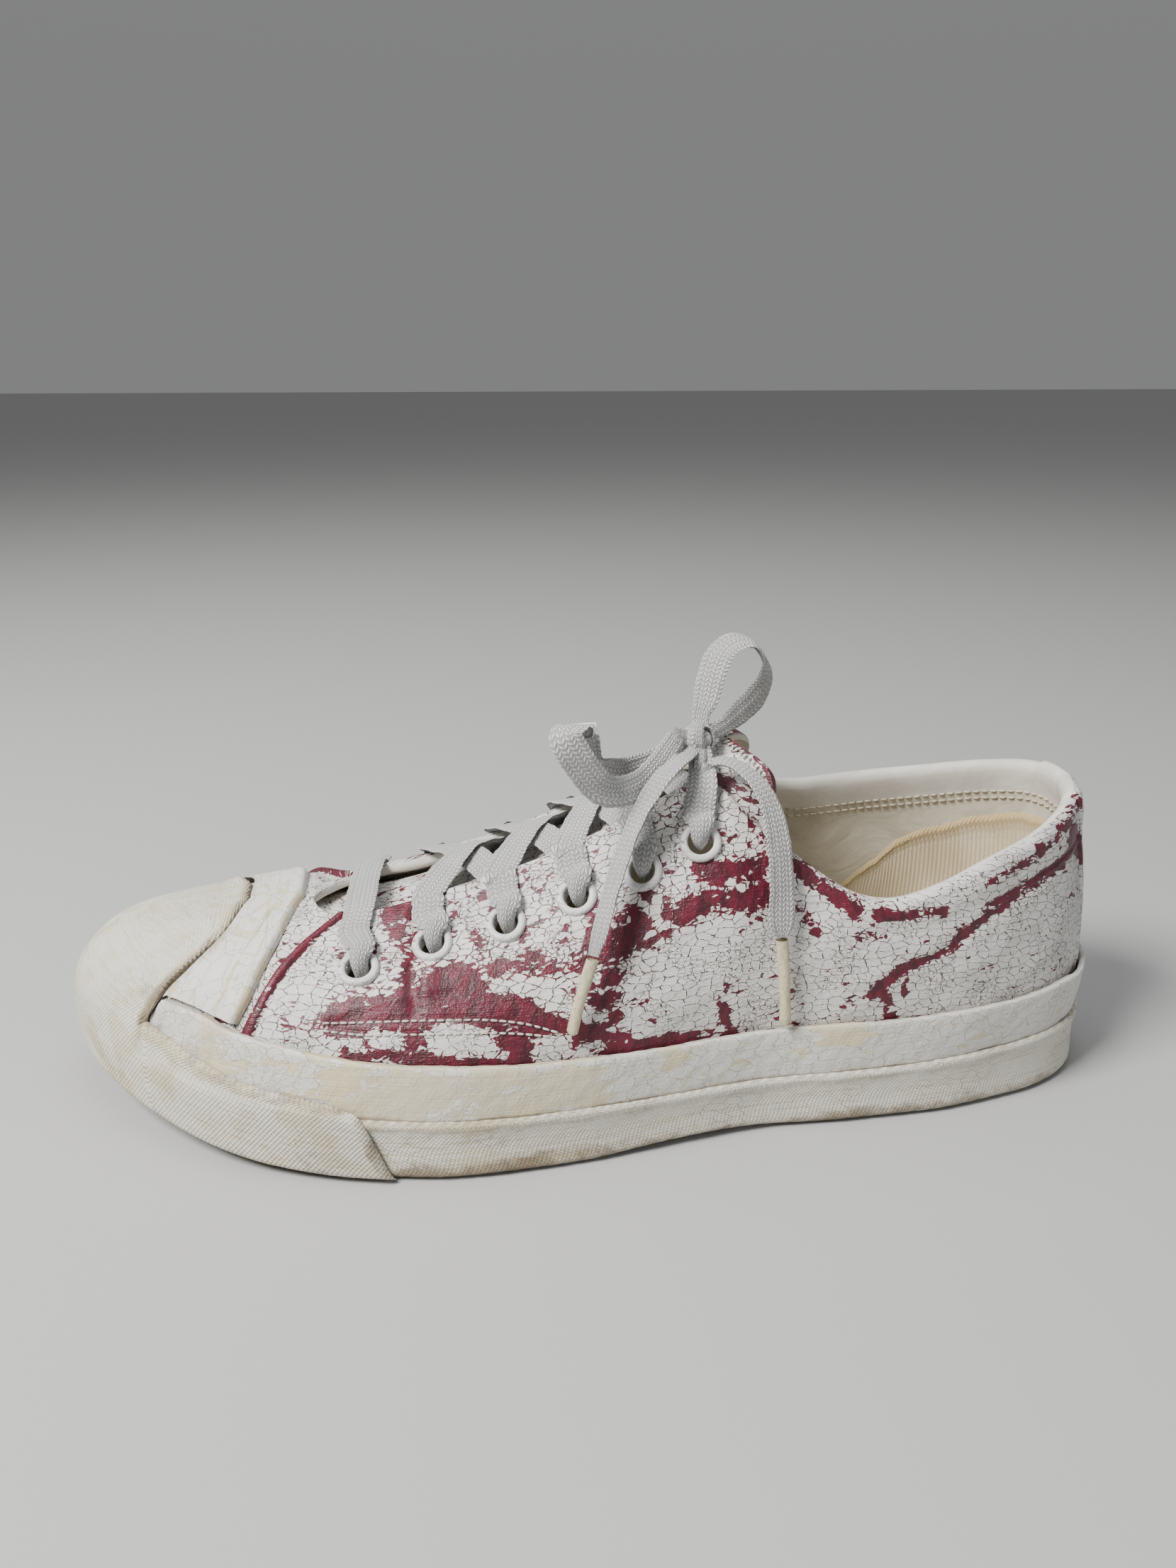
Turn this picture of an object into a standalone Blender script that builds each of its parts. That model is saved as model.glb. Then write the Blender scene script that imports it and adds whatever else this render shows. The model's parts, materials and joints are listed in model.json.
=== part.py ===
"""A worn low sneaker for the left foot, modelled as the pieces that a maker puts together.

Shoe axes: +X runs from heel to toe, +Y to the outer (lateral) side and +Z up, and the
floor is z = 0. The origin is the middle of the heel's flat spot. Every form follows from
the plan outline of the sole and from one surface, the last, which `last_point` gives.
"""
import bpy
import bmesh
import math
import numpy as np
from mathutils import Matrix, Vector

for old in list(bpy.data.objects):
    bpy.data.objects.remove(old, do_unlink=True)

MM = 0.001

# Driving sizes of the last and the sole
LENGTH = 288.0 * MM
BALL_WIDTH = 107.0 * MM
INSTEP = 87.0 * MM
TOE_SPRING = 12.0 * MM
HEEL_SEAT = 42.0 * MM
GAP = 0.3 * MM
SLACK = 0.6 * MM
TONGUE_SLACK = 1.9 * MM

# Walls and bands
WALL = 2.2 * MM
QUARTER_STEP = 1.2 * MM
BACKSTAY_STEP = 0.8 * MM
FEATHER_INSET = 5.2 * MM
BAND = 2.2 * MM
LIP = 1.2 * MM
RIM_ROLL = 1.3 * MM
INSOLE = 4.0 * MM
TONGUE = 3.0 * MM
CAP = 2.0 * MM
STRIP = 1.5 * MM

HALF_BALL = BALL_WIDTH / 2

# Plan outline at the sole's ridge: shares of LENGTH and of half the ball width,
# from the heel's back along the outer side to the toe, then back along the inner side
OUTLINE = [
    (0.000, -0.02), (0.010, 0.20), (0.032, 0.37), (0.072, 0.51), (0.120, 0.60),
    (0.185, 0.68), (0.262, 0.72), (0.332, 0.74), (0.380, 0.78), (0.450, 0.87),
    (0.515, 0.945), (0.580, 1.00), (0.640, 1.015), (0.700, 0.98), (0.760, 0.91),
    (0.815, 0.805), (0.870, 0.63), (0.920, 0.415), (0.958, 0.20), (0.985, -0.02),
    (0.998, -0.20), (0.9985, -0.33), (0.984, -0.47), (0.955, -0.60), (0.910, -0.735),
    (0.850, -0.87), (0.780, -0.955), (0.715, -0.965), (0.650, -0.92), (0.570, -0.81),
    (0.480, -0.68), (0.400, -0.60), (0.320, -0.59), (0.240, -0.63), (0.165, -0.65),
    (0.105, -0.59), (0.062, -0.51), (0.028, -0.38), (0.008, -0.21),
]

# Heights along the foot: shares of LENGTH, then real heights
PLATFORM = [(0.0, 13.5), (0.3, 11.5), (0.65, 10.5), (0.85, 13.0), (1.0, 18.0)]
RIDGE = [(0.0, 17.5), (0.3, 14.8), (0.6, 16.0), (0.8, 17.5), (1.0, 19.6)]
BAND_TOP = [(0.0, 31.5), (0.12, 29.8), (0.28, 28.5), (0.5, 28.3), (0.7, 31.0), (0.8, 34.5),
            (0.88, 37.0), (1.0, 36.0)]


def smooth(table, x):
    """Value at x of a smooth curve through the table's points."""
    keys = [row[0] for row in table]
    x = min(max(x, keys[0]), keys[-1])
    i = min(max(int(np.searchsorted(keys, x)) - 1, 0), len(keys) - 2)
    before, after = max(i - 1, 0), min(i + 2, len(keys) - 1)
    span = keys[i + 1] - keys[i]
    f = (x - keys[i]) / span
    a, b = table[i][1], table[i + 1][1]
    slope_a = (b - table[before][1]) / (keys[i + 1] - keys[before]) * span
    slope_b = (table[after][1] - a) / (keys[after] - keys[i]) * span
    return ((2 * f**3 - 3 * f**2 + 1) * a + (f**3 - 2 * f**2 + f) * slope_a
            + (3 * f**2 - 2 * f**3) * b + (f**3 - f**2) * slope_b)


def hermite(rows, k):
    """Row of values at the real-valued row number k, smooth through all rows."""
    rows = np.asarray(rows, float)
    last = len(rows) - 1
    i = min(max(int(math.floor(k)), 0), last - 1)
    f = k - i
    a, b = rows[i], rows[i + 1]
    slope_a = (b - rows[max(i - 1, 0)]) / (2 if i > 0 else 1)
    slope_b = (rows[min(i + 2, last)] - a) / (2 if i + 2 <= last else 1)
    return ((2 * f**3 - 3 * f**2 + 1) * a + (f**3 - 2 * f**2 + f) * slope_a
            + (3 * f**2 - 2 * f**3) * b + (f**3 - f**2) * slope_b)


def height(table, x):
    """Height in metres of a table at the distance x from the heel's back."""
    return smooth(table, x / LENGTH) * MM


def spring(x):
    """Rise of the sole's underside towards the toe."""
    return TOE_SPRING * max(0.0, (x / LENGTH - 0.68) / 0.32) ** 2


def closed_curve(points, steps):
    """Points along a closed smooth curve through the given points."""
    pts = np.asarray(points, float)
    out = []
    for i in range(len(pts)):
        p0, p1, p2, p3 = (pts[(i + j) % len(pts)] for j in (-1, 0, 1, 2))
        for f in np.arange(steps) / steps:
            out.append(0.5 * (2 * p1 + (p2 - p0) * f + (2 * p0 - 5 * p1 + 4 * p2 - p3) * f**2
                              + (3 * p1 - p0 - 3 * p2 + p3) * f**3))
    return np.array(out)


PLAN = closed_curve([(x * LENGTH, y * HALF_BALL) for x, y in OUTLINE], 12)


def side_table(points):
    """Arc length along one side, with its points, from heel to toe."""
    steps = np.r_[0, np.cumsum(np.linalg.norm(np.diff(points, axis=0), axis=1))]
    return steps / steps[-1], points


HEEL = int(np.argmin(PLAN[:, 0]))
RING = np.roll(PLAN, -HEEL, axis=0)
TIP = int(np.argmax(RING[:, 0]))
SIDES = {1: side_table(RING[:TIP + 1]),
         -1: side_table(np.vstack([RING[:1], RING[TIP:][::-1]]))}


def share_at(side, x):
    """Share of the half perimeter at which one side reaches x."""
    shares, points = SIDES[side]
    return float(np.interp(x, np.maximum.accumulate(points[:, 0]), shares))


def plan(side, share):
    """Plan point and inward normal at a share of one side's half perimeter."""
    shares, points = SIDES[side]

    def at(value):
        if value < 0:
            other_shares, other = SIDES[-side]
            return np.array([np.interp(-value, other_shares, other[:, i]) for i in (0, 1)])
        if value > 1:
            other_shares, other = SIDES[-side]
            return np.array([np.interp(2 - value, other_shares, other[:, i]) for i in (0, 1)])
        return np.array([np.interp(value, shares, points[:, i]) for i in (0, 1)])

    reach = 0.022
    along = at(share + reach) - at(share - reach)
    along /= np.linalg.norm(along)
    inward = np.array([along[1], -along[0]]) * side
    return at(share), inward


# The last: one row for each station. A row holds the station of the wall's foot as a share
# of LENGTH, the top edge's point as shares of LENGTH, of half the ball width and of INSTEP,
# the slope of the surface at that edge in degrees, and the wall's fullness low and high.
COLLAR_OUTER = [
    (0.000, 0.027, -0.075, 0.903, 78, 0.34, 0.30),
    (0.012, 0.036, 0.105, 0.892, 78, 0.34, 0.30),
    (0.034, 0.058, 0.265, 0.862, 78, 0.34, 0.30),
    (0.075, 0.098, 0.415, 0.817, 78, 0.34, 0.30),
    (0.138, 0.149, 0.525, 0.768, 78, 0.34, 0.30),
    (0.190, 0.190, 0.566, 0.712, 78, 0.34, 0.30),
    (0.240, 0.231, 0.583, 0.676, 78, 0.34, 0.30),
    (0.280, 0.267, 0.568, 0.692, 76, 0.34, 0.30),
    (0.313, 0.300, 0.520, 0.755, 72, 0.36, 0.30),
    (0.340, 0.331, 0.465, 0.830, 68, 0.38, 0.30),
    (0.361, 0.355, 0.415, 0.893, 62, 0.40, 0.30),
    (0.377, 0.374, 0.362, 0.963, 57, 0.42, 0.30),
    (0.391, 0.390, 0.318, 0.999, 53, 0.42, 0.30),
    (0.407, 0.406, 0.296, 1.003, 51, 0.42, 0.30),
    (0.430, 0.424, 0.283, 0.983, 49, 0.43, 0.30),
]
COLLAR_INNER = [
    (0.000, 0.027, -0.075, 0.903, 78, 0.34, 0.30),
    (0.012, 0.031, -0.235, 0.906, 78, 0.34, 0.30),
    (0.034, 0.047, -0.385, 0.896, 78, 0.34, 0.30),
    (0.075, 0.088, -0.505, 0.873, 78, 0.34, 0.30),
    (0.138, 0.143, -0.555, 0.850, 78, 0.34, 0.30),
    (0.190, 0.192, -0.562, 0.838, 78, 0.34, 0.30),
    (0.240, 0.240, -0.542, 0.828, 78, 0.34, 0.30),
    (0.280, 0.274, -0.512, 0.825, 74, 0.34, 0.30),
    (0.313, 0.305, -0.470, 0.840, 70, 0.36, 0.30),
    (0.340, 0.334, -0.422, 0.874, 66, 0.38, 0.30),
    (0.361, 0.358, -0.376, 0.922, 61, 0.40, 0.30),
    (0.377, 0.375, -0.338, 0.973, 57, 0.42, 0.30),
    (0.391, 0.390, -0.305, 0.998, 53, 0.42, 0.30),
    (0.407, 0.406, -0.288, 1.000, 51, 0.42, 0.30),
    (0.430, 0.424, -0.280, 0.982, 49, 0.43, 0.30),
]
THROAT = [
    (0.484, 0.477, 0.280, 0.884, 45, 0.45, 0.31),
    (0.553, 0.549, 0.272, 0.774, 40, 0.48, 0.32),
    (0.616, 0.614, 0.272, 0.703, 36, 0.52, 0.33),
    (0.668, 0.660, 0.280, 0.657, 32, 0.55, 0.34),
    (0.712, 0.700, 0.285, 0.626, 27, 0.58, 0.35),
    (0.745, 0.730, 0.235, 0.611, 18, 0.58, 0.36),
    (0.772, 0.750, 0.120, 0.609, 9, 0.58, 0.37),
]
# The ridge of the vamp: station on the outer side, on the inner side, then as above
TOE_RIDGE = [
    (0.796, 0.800, 0.762, -0.010, 0.608, 0.58, 0.38),
    (0.828, 0.836, 0.790, -0.030, 0.594, 0.58, 0.40),
    (0.862, 0.876, 0.824, -0.058, 0.577, 0.58, 0.43),
    (0.898, 0.915, 0.858, -0.092, 0.566, 0.57, 0.46),
    (0.932, 0.948, 0.890, -0.126, 0.552, 0.56, 0.48),
    (0.963, 0.972, 0.917, -0.156, 0.532, 0.55, 0.50),
    (0.986, 0.989, 0.936, -0.180, 0.510, 0.54, 0.51),
    (1.000, 1.000, 0.945, -0.195, 0.494, 0.53, 0.52),
]
FIRST_RIDGE_ROW = len(COLLAR_OUTER) + len(THROAT)
LAST_ROW = FIRST_RIDGE_ROW + len(TOE_RIDGE) - 1
LEAN = [(0.0, 9.0), (0.10, 9.0), (0.3, 3.0), (0.6, 7.0), (0.8, 9.0), (1.0, 6.0)]


def last_rows(side):
    """Rows of one side: share of the half perimeter, top point, slope and fullness."""
    rows = []
    collar = COLLAR_OUTER if side > 0 else COLLAR_INNER
    for foot, x, y, z, slope, low, high in collar:
        rows.append((share_at(side, foot * LENGTH), x * LENGTH, y * HALF_BALL, z * INSTEP,
                     slope, low, high))
    for foot, x, y, z, slope, low, high in THROAT:
        rows.append((share_at(side, foot * LENGTH), x * LENGTH, side * y * HALF_BALL,
                     z * INSTEP, slope, low, high))
    for outer, inner, x, y, z, low, high in TOE_RIDGE:
        foot = outer if side > 0 else inner
        rows.append((share_at(side, foot * LENGTH), x * LENGTH, y * HALF_BALL, z * INSTEP,
                     0.0, low, high))
    rows[-1] = (1.0,) + rows[-1][1:]
    rows[0] = (0.0,) + rows[0][1:]
    return np.array(rows)


ROWS = {1: last_rows(1), -1: last_rows(-1)}


def ridge_slope(k):
    """Rise of the vamp's ridge for each metre towards the toe."""
    a = hermite(ROWS[1], max(k - 0.5, FIRST_RIDGE_ROW))
    b = hermite(ROWS[1], min(k + 0.5, LAST_ROW))
    return (b[3] - a[3]) / (b[1] - a[1])


def last_point(side, k, t):
    """Point of the last's surface: side, row number k, and t from the foot up to the edge."""
    share, top_x, top_y, top_z, slope, low, high = hermite(ROWS[side], k)
    share = min(max(share, 0.0), 1.0)
    at, inward = plan(side, share)
    station = at[0]
    foot = np.array([*(at + inward * FEATHER_INSET), height(PLATFORM, station)])
    top = np.array([top_x, top_y, top_z])
    reach = np.linalg.norm(top - foot)
    lean = math.radians(smooth(LEAN, station / LENGTH))
    rise = np.array([*(-math.sin(lean) * inward), math.cos(lean)])
    if k >= FIRST_RIDGE_ROW:
        tilt = inward[0] * ridge_slope(k)
        into = np.array([*inward, tilt])
    else:
        near = min(max(k - (FIRST_RIDGE_ROW - 1), 0.0), 1.0)
        angle = math.radians(slope)
        into = np.array([*(math.cos(angle) * inward), math.sin(angle)])
        ridge_into = np.array([*inward, inward[0] * ridge_slope(FIRST_RIDGE_ROW)])
        into = into * (1 - near) + ridge_into * near
    into /= np.linalg.norm(into)
    p1 = foot + low * reach * rise
    p2 = top - high * reach * into
    return ((1 - t)**3 * foot + 3 * (1 - t)**2 * t * p1 + 3 * (1 - t) * t**2 * p2
            + t**3 * top)


def last_normal(side, k, t):
    """Outward normal of the last's surface."""
    dk, dt = 0.03, 0.01
    ka, kb = max(k - dk, 0.0), min(k + dk, LAST_ROW)
    ta, tb = max(t - dt, 0.0), min(t + dt, 1.0)
    along = last_point(side, kb, t) - last_point(side, ka, t)
    up = last_point(side, k, tb) - last_point(side, k, ta)
    if ka == 0.0:
        along = last_point(side, kb, t) - last_point(-side, kb, t)
    if kb == LAST_ROW:
        below = min(t, 0.96)
        along = last_point(-side, ka, below) - last_point(side, ka, below)
    normal = np.cross(up, along) * side
    return normal / np.linalg.norm(normal)


def last_offset(side, k, t, out):
    """Point at a distance outside (or, below zero, inside) the last's surface."""
    return last_point(side, k, t) + out * last_normal(side, k, t)


def level_t(side, k, z):
    """Parameter t at which a column reaches the height z."""
    low, high = 0.0, 1.0
    for _ in range(24):
        middle = (low + high) / 2
        if last_point(side, k, middle)[2] < z:
            low = middle
        else:
            high = middle
    return (low + high) / 2


def material(name, colour, roughness, metallic=0.0):
    """Plain material with the part's colour."""
    made = bpy.data.materials.new(name)
    made.use_nodes = True
    shader = made.node_tree.nodes["Principled BSDF"]
    shader.inputs["Base Color"].default_value = (*colour, 1)
    shader.inputs["Roughness"].default_value = roughness
    shader.inputs["Metallic"].default_value = metallic
    made.diffuse_color = (*colour, 1)
    return made


LEATHER = material("painted_leather", (0.78, 0.75, 0.72), 0.55)
LINING = material("lining", (0.72, 0.68, 0.58), 0.8)
RUBBER = material("rubber", (0.76, 0.71, 0.58), 0.6)
CAP_RUBBER = material("cap_rubber", (0.74, 0.69, 0.56), 0.7)
TREAD = material("tread", (0.45, 0.38, 0.28), 0.7)
METAL = material("eyelet_metal", (0.8, 0.79, 0.76), 0.4)
COTTON = material("cotton", (0.72, 0.71, 0.69), 0.9)
PLASTIC = material("lace_tip", (0.82, 0.78, 0.62), 0.25)


def add_object(name, bm, slot, smooth_angle=35):
    """Finish a mesh as a named piece in shoe axes, with the heel seat at the origin."""
    bmesh.ops.remove_doubles(bm, verts=bm.verts, dist=0.00002)
    bmesh.ops.translate(bm, vec=(-HEEL_SEAT, 0, 0), verts=bm.verts)
    bmesh.ops.recalc_face_normals(bm, faces=bm.faces)
    mesh = bpy.data.meshes.new(name)
    bm.to_mesh(mesh)
    bm.free()
    mesh.shade_smooth()
    mesh.set_sharp_from_angle(angle=math.radians(smooth_angle))
    mesh.materials.append(slot)
    made = bpy.data.objects.new(name, mesh)
    bpy.context.scene.collection.objects.link(made)
    return made


def ring_solid(name, sections, slot, closed=True):
    """Solid swept through sections: each is a closed loop of points."""
    bm = bmesh.new()
    loops = [[bm.verts.new(p) for p in section] for section in sections]
    count = len(loops)
    for i in range(count if closed else count - 1):
        a, b = loops[i], loops[(i + 1) % count]
        for j in range(len(a)):
            corners = (a[j], a[(j + 1) % len(a)], b[(j + 1) % len(a)], b[j])
            bm.faces.new(corners)
    if not closed:
        bm.faces.new(loops[0])
        bm.faces.new(loops[-1])
    return add_object(name, bm, slot)


# Stations of the columns round the shoe: row numbers, closer together at the corners
COLUMNS = sorted(set(np.round(np.r_[np.arange(0, 7, 1.0), np.arange(7, 14.1, 0.7),
                                    np.arange(14, 20, 0.75), np.arange(20, 28.9, 0.7),
                                    [LAST_ROW]], 3)))


def shell_solid(name, outer, inner, quads, slot):
    """Closed solid between two matching point lists: skins on both, walls on open edges."""
    keys = {}
    same = []
    for i, p in enumerate(outer):
        key = tuple(np.round(np.asarray(p) * 1e5).astype(int))
        same.append(keys.setdefault(key, i))
    bm = bmesh.new()
    used = sorted(set(same))
    top = {i: bm.verts.new(outer[i]) for i in used}
    low = {i: bm.verts.new(inner[i]) for i in used}
    edges = {}
    for quad in quads:
        loop = []
        for i in (same[j] for j in quad):
            if not loop or (i != loop[-1] and i != loop[0]):
                loop.append(i)
        if len(loop) < 3:
            continue
        bm.faces.new([top[i] for i in loop])
        bm.faces.new([low[i] for i in reversed(loop)])
        for a, b in zip(loop, loop[1:] + loop[:1]):
            edges[(a, b)] = True
    for a, b in edges:
        if (b, a) not in edges:
            bm.faces.new([top[b], top[a], low[a], low[b]])
    return add_object(name, bm, slot)


def grid_quads(columns, rows, wrap=False):
    """Corner indices of a grid's quads, column by column."""
    quads = []
    for c in range(columns if wrap else columns - 1):
        for r in range(rows - 1):
            a, b = c * rows + r, ((c + 1) % columns) * rows + r
            quads.append((a, b, b + 1, a + 1))
    return quads


def t_from_edge(side, k, distance):
    """Parameter t of the point that lies a distance below the top edge, along the wall."""
    steps = np.linspace(1.0, 0.0, 41)
    points = np.array([last_point(side, k, t) for t in steps])
    gone = np.r_[0, np.cumsum(np.linalg.norm(np.diff(points, axis=0), axis=1))]
    return float(np.interp(distance, gone, steps))


def offset_point(side, k, t, out):
    """As last_offset, with both sides meeting on the ridge of the vamp."""
    normal = last_normal(side, k, t)
    if (t == 1.0 and k >= FIRST_RIDGE_ROW) or k in (0.0, float(LAST_ROW)):
        normal = last_normal(1, k, t) + last_normal(-1, k, t)
        side = 1
    if t == 0.0:
        normal[2] = 0.0
    return last_point(side, k, t) + out * normal / np.linalg.norm(normal)


# The quarters lie over the vamp. Their front edge runs from the throat's end down to the
# band, and the columns beside it lean with it.
EDGE_TOP = 19.9
EDGE_FOOT = 23.3
EDGE_CURVE = 0.95
LEAN_FROM = 14.0
BACKSTAY_ROWS = 1.3


def edge_row(t):
    """Row number of the quarters' front edge at the height t."""
    return EDGE_TOP + (EDGE_FOOT - EDGE_TOP) * (1 - t) ** EDGE_CURVE


def leaning(k, t):
    """Row number at t of the column that has the row number k at the top edge."""
    if k <= LEAN_FROM:
        return k
    if k <= EDGE_TOP:
        part = (k - LEAN_FROM) / (EDGE_TOP - LEAN_FROM)
    else:
        part = (LAST_ROW - k) / (LAST_ROW - EDGE_TOP)
    return k + (edge_row(t) - EDGE_TOP) * part


def outer_step(k):
    """Thickness laid over the last's surface in the column k: backstay, quarter, vamp."""
    if k <= BACKSTAY_ROWS:
        return QUARTER_STEP + BACKSTAY_STEP
    return QUARTER_STEP if k <= EDGE_TOP else 0.0


def make_upper():
    """Hollow upper, open at the collar and throat and underneath."""
    heights = [0.0, 0.14, 0.28, 0.42, 0.56, 0.7, 0.84, 0.95, 1.0]
    steps = [BACKSTAY_ROWS, BACKSTAY_ROWS + 0.08, EDGE_TOP, EDGE_TOP + 0.07]
    rows = sorted(set(list(COLUMNS) + steps))
    rows = [k for k in rows if k in steps or min(abs(k - s) for s in steps) > 0.2]
    ring = [(1, k) for k in rows] + [(-1, k) for k in reversed(rows[1:-1])]
    outer, inner = [], []
    for side, k in ring:
        rolled = RIM_ROLL if k < 11.5 else 0.0
        for t in heights:
            row = leaning(k, t)
            roll = rolled * min(max((t - 0.84) / 0.1, 0.0), 1.0)
            out, into = outer_step(k) + roll * 0.6, -WALL - roll * 0.4
            if t == 1.0 and k < FIRST_RIDGE_ROW:
                out, into = out - 0.3 * (out - into), into + 0.3 * (out - into)
            outer.append(offset_point(side, row, t, out))
            inner.append(offset_point(side, row, t, into))
    return shell_solid("upper", outer, inner, grid_quads(len(ring), len(heights), True),
                       LEATHER)


def section_grid(name, rows, across, low_z, top_z, low_inset, top_inset, slot):
    """Plate that fills the outline, with its own height curves below and above."""
    below, above = [], []
    for k in rows:
        ends = []
        for inset in (low_inset, top_inset):
            pair = []
            for side in (1, -1):
                at, inward = plan(side, hermite(ROWS[side], k)[0])
                pair.append(at + inward * inset)
            if k in (0.0, float(LAST_ROW)):
                pair[0] = pair[1] = (pair[0] + pair[1]) / 2
            ends.append(pair)
        for w in np.linspace(0, 1, across):
            a = ends[0][0] * (1 - w) + ends[0][1] * w
            b = ends[1][0] * (1 - w) + ends[1][1] * w
            below.append(np.array([*a, low_z(a[0], w)]))
            above.append(np.array([*b, top_z(b[0], w)]))
    return shell_solid(name, below, above, grid_quads(len(rows), across), slot)


ARCH_LIFT = 1.2 * MM
BAND_LIFT = 0.4 * MM
SOLE_INSET = 3.9 * MM
SOLE_CHAMFER = 0.9 * MM


def underside(x):
    """Height of the sole's underside: flat heel and ball, raised waist and toe."""
    share = x / LENGTH
    arch = math.sin(math.pi * min(max((share - 0.30) / 0.22, 0.0), 1.0)) ** 2
    return spring(x) + ARCH_LIFT * arch


def make_outsole():
    """Rubber outsole and its filler, inside the bands."""
    return section_grid("outsole", COLUMNS, 3, lambda x, w: underside(x),
                        lambda x, w: height(PLATFORM, x) - GAP,
                        SOLE_INSET + SOLE_CHAMFER, SOLE_INSET, TREAD)


def make_insole():
    """Footbed, inside the upper and on the sole's platform."""
    inset = FEATHER_INSET + WALL + 2.5 * GAP

    def dished(x, w):
        return height(PLATFORM, x) + INSOLE - 0.8 * MM * math.sin(math.pi * w)

    return section_grid("insole", COLUMNS, 4, lambda x, w: height(PLATFORM, x),
                        dished, inset, inset, LINING)


def upper_at(side, k, z, out):
    """Point outside the upper's painted wall at a height, for what is wrapped round it."""
    t = level_t(side, k, z)
    thick = QUARTER_STEP if k < edge_row(t) + 0.8 else 0.0
    if k < BACKSTAY_ROWS + 0.8:
        thick += BACKSTAY_STEP
    at = last_point(side, k, t)
    normal = last_normal(side, k, t)
    if k in (0.0, float(LAST_ROW)):
        normal = normal + last_normal(-side, k, t)
    flat = np.array([normal[0], normal[1], 0.0])
    return at + (thick + out) * flat / np.linalg.norm(flat)


def outline_at(side, k, inset, z):
    """Point at an inset from the sole's outline, at a height."""
    at, inward = plan(side, hermite(ROWS[side], k)[0])
    p = at + inward * inset
    if k in (0.0, float(LAST_ROW)):
        other, back = plan(-side, hermite(ROWS[-side], k)[0])
        p = (p + other + back * inset) / 2
    return np.array([p[0], p[1], z])


def band_columns(last_row=LAST_ROW):
    """Columns of the bands, from the inner side round the heel to the outer side."""
    rows = [k for k in COLUMNS if k <= last_row]
    if rows[-1] < last_row:
        rows.append(last_row)
    return [(-1, k) for k in reversed(rows)] + [(1, k) for k in rows[1:]]


def lowered(point, z):
    """The point moved straight to another height."""
    return np.array([point[0], point[1], z])


def make_lower_band():
    """Lower tier of the rubber side, which turns under the shoe's edge."""
    columns = band_columns()[:-1]
    sections = []
    for side, k in columns:
        x = plan(side, hermite(ROWS[side], k)[0])[0][0]
        base, lip = underside(x) + BAND_LIFT, height(RIDGE, x)
        platform = height(PLATFORM, x)
        sections.append([
            outline_at(side, k, SOLE_INSET - GAP + SOLE_CHAMFER, base),
            outline_at(side, k, 1.5 * MM, base),
            outline_at(side, k, 0.4 * MM, base + 1.8 * MM),
            outline_at(side, k, 0.5 * MM, (base + lip) / 2),
            outline_at(side, k, 0.0, lip - 1.6 * MM),
            outline_at(side, k, 0.5 * MM, lip),
            upper_at(side, k, lip, SLACK),
            lowered(upper_at(side, k, platform + GAP, SLACK), platform - GAP),
            outline_at(side, k, SOLE_INSET - GAP, platform - GAP),
        ])
    return ring_solid("foxing_lower", sections, RUBBER)


BAND_DIP_ROW = 24.6
BAND_DIP = 12.0 * MM


def band_crest(k, x):
    """Height of the upper tier's top edge, which sinks under the toe cap."""
    return height(BAND_TOP, x) - BAND_DIP * max(0.0, k - BAND_DIP_ROW)


def upper_band_section(side, k, spread=0.0):
    """Outer points of the upper tier, low to high, moved out by spread."""
    x = plan(side, hermite(ROWS[side], k)[0])[0][0]
    lip, crest = height(RIDGE, x) + GAP, band_crest(k, x)
    rim = upper_at(side, k, crest - 0.8 * MM, BAND + spread)
    foot = outline_at(side, k, LIP - spread, lip)
    middle = (foot + rim) / 2 + 0.25 * MM * (foot - outline_at(side, k, LIP + 1, lip))
    return foot, middle, rim


UPPER_BAND_END = 25.15


def make_upper_band():
    """Upper tier of the rubber side, open under the toe cap."""
    sections = []
    for side, k in band_columns(UPPER_BAND_END):
        x = plan(side, hermite(ROWS[side], k)[0])[0][0]
        lip, crest = height(RIDGE, x) + GAP, band_crest(k, x)
        foot, middle, rim = upper_band_section(side, k)
        sections.append([
            foot, middle, rim,
            upper_at(side, k, crest, 0.6 * BAND),
            upper_at(side, k, crest - 0.3 * MM, SLACK + GAP),
            upper_at(side, k, (lip + crest) / 2, SLACK),
            upper_at(side, k, lip, SLACK),
        ])
    return ring_solid("foxing_upper", sections, RUBBER, closed=False)


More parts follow.
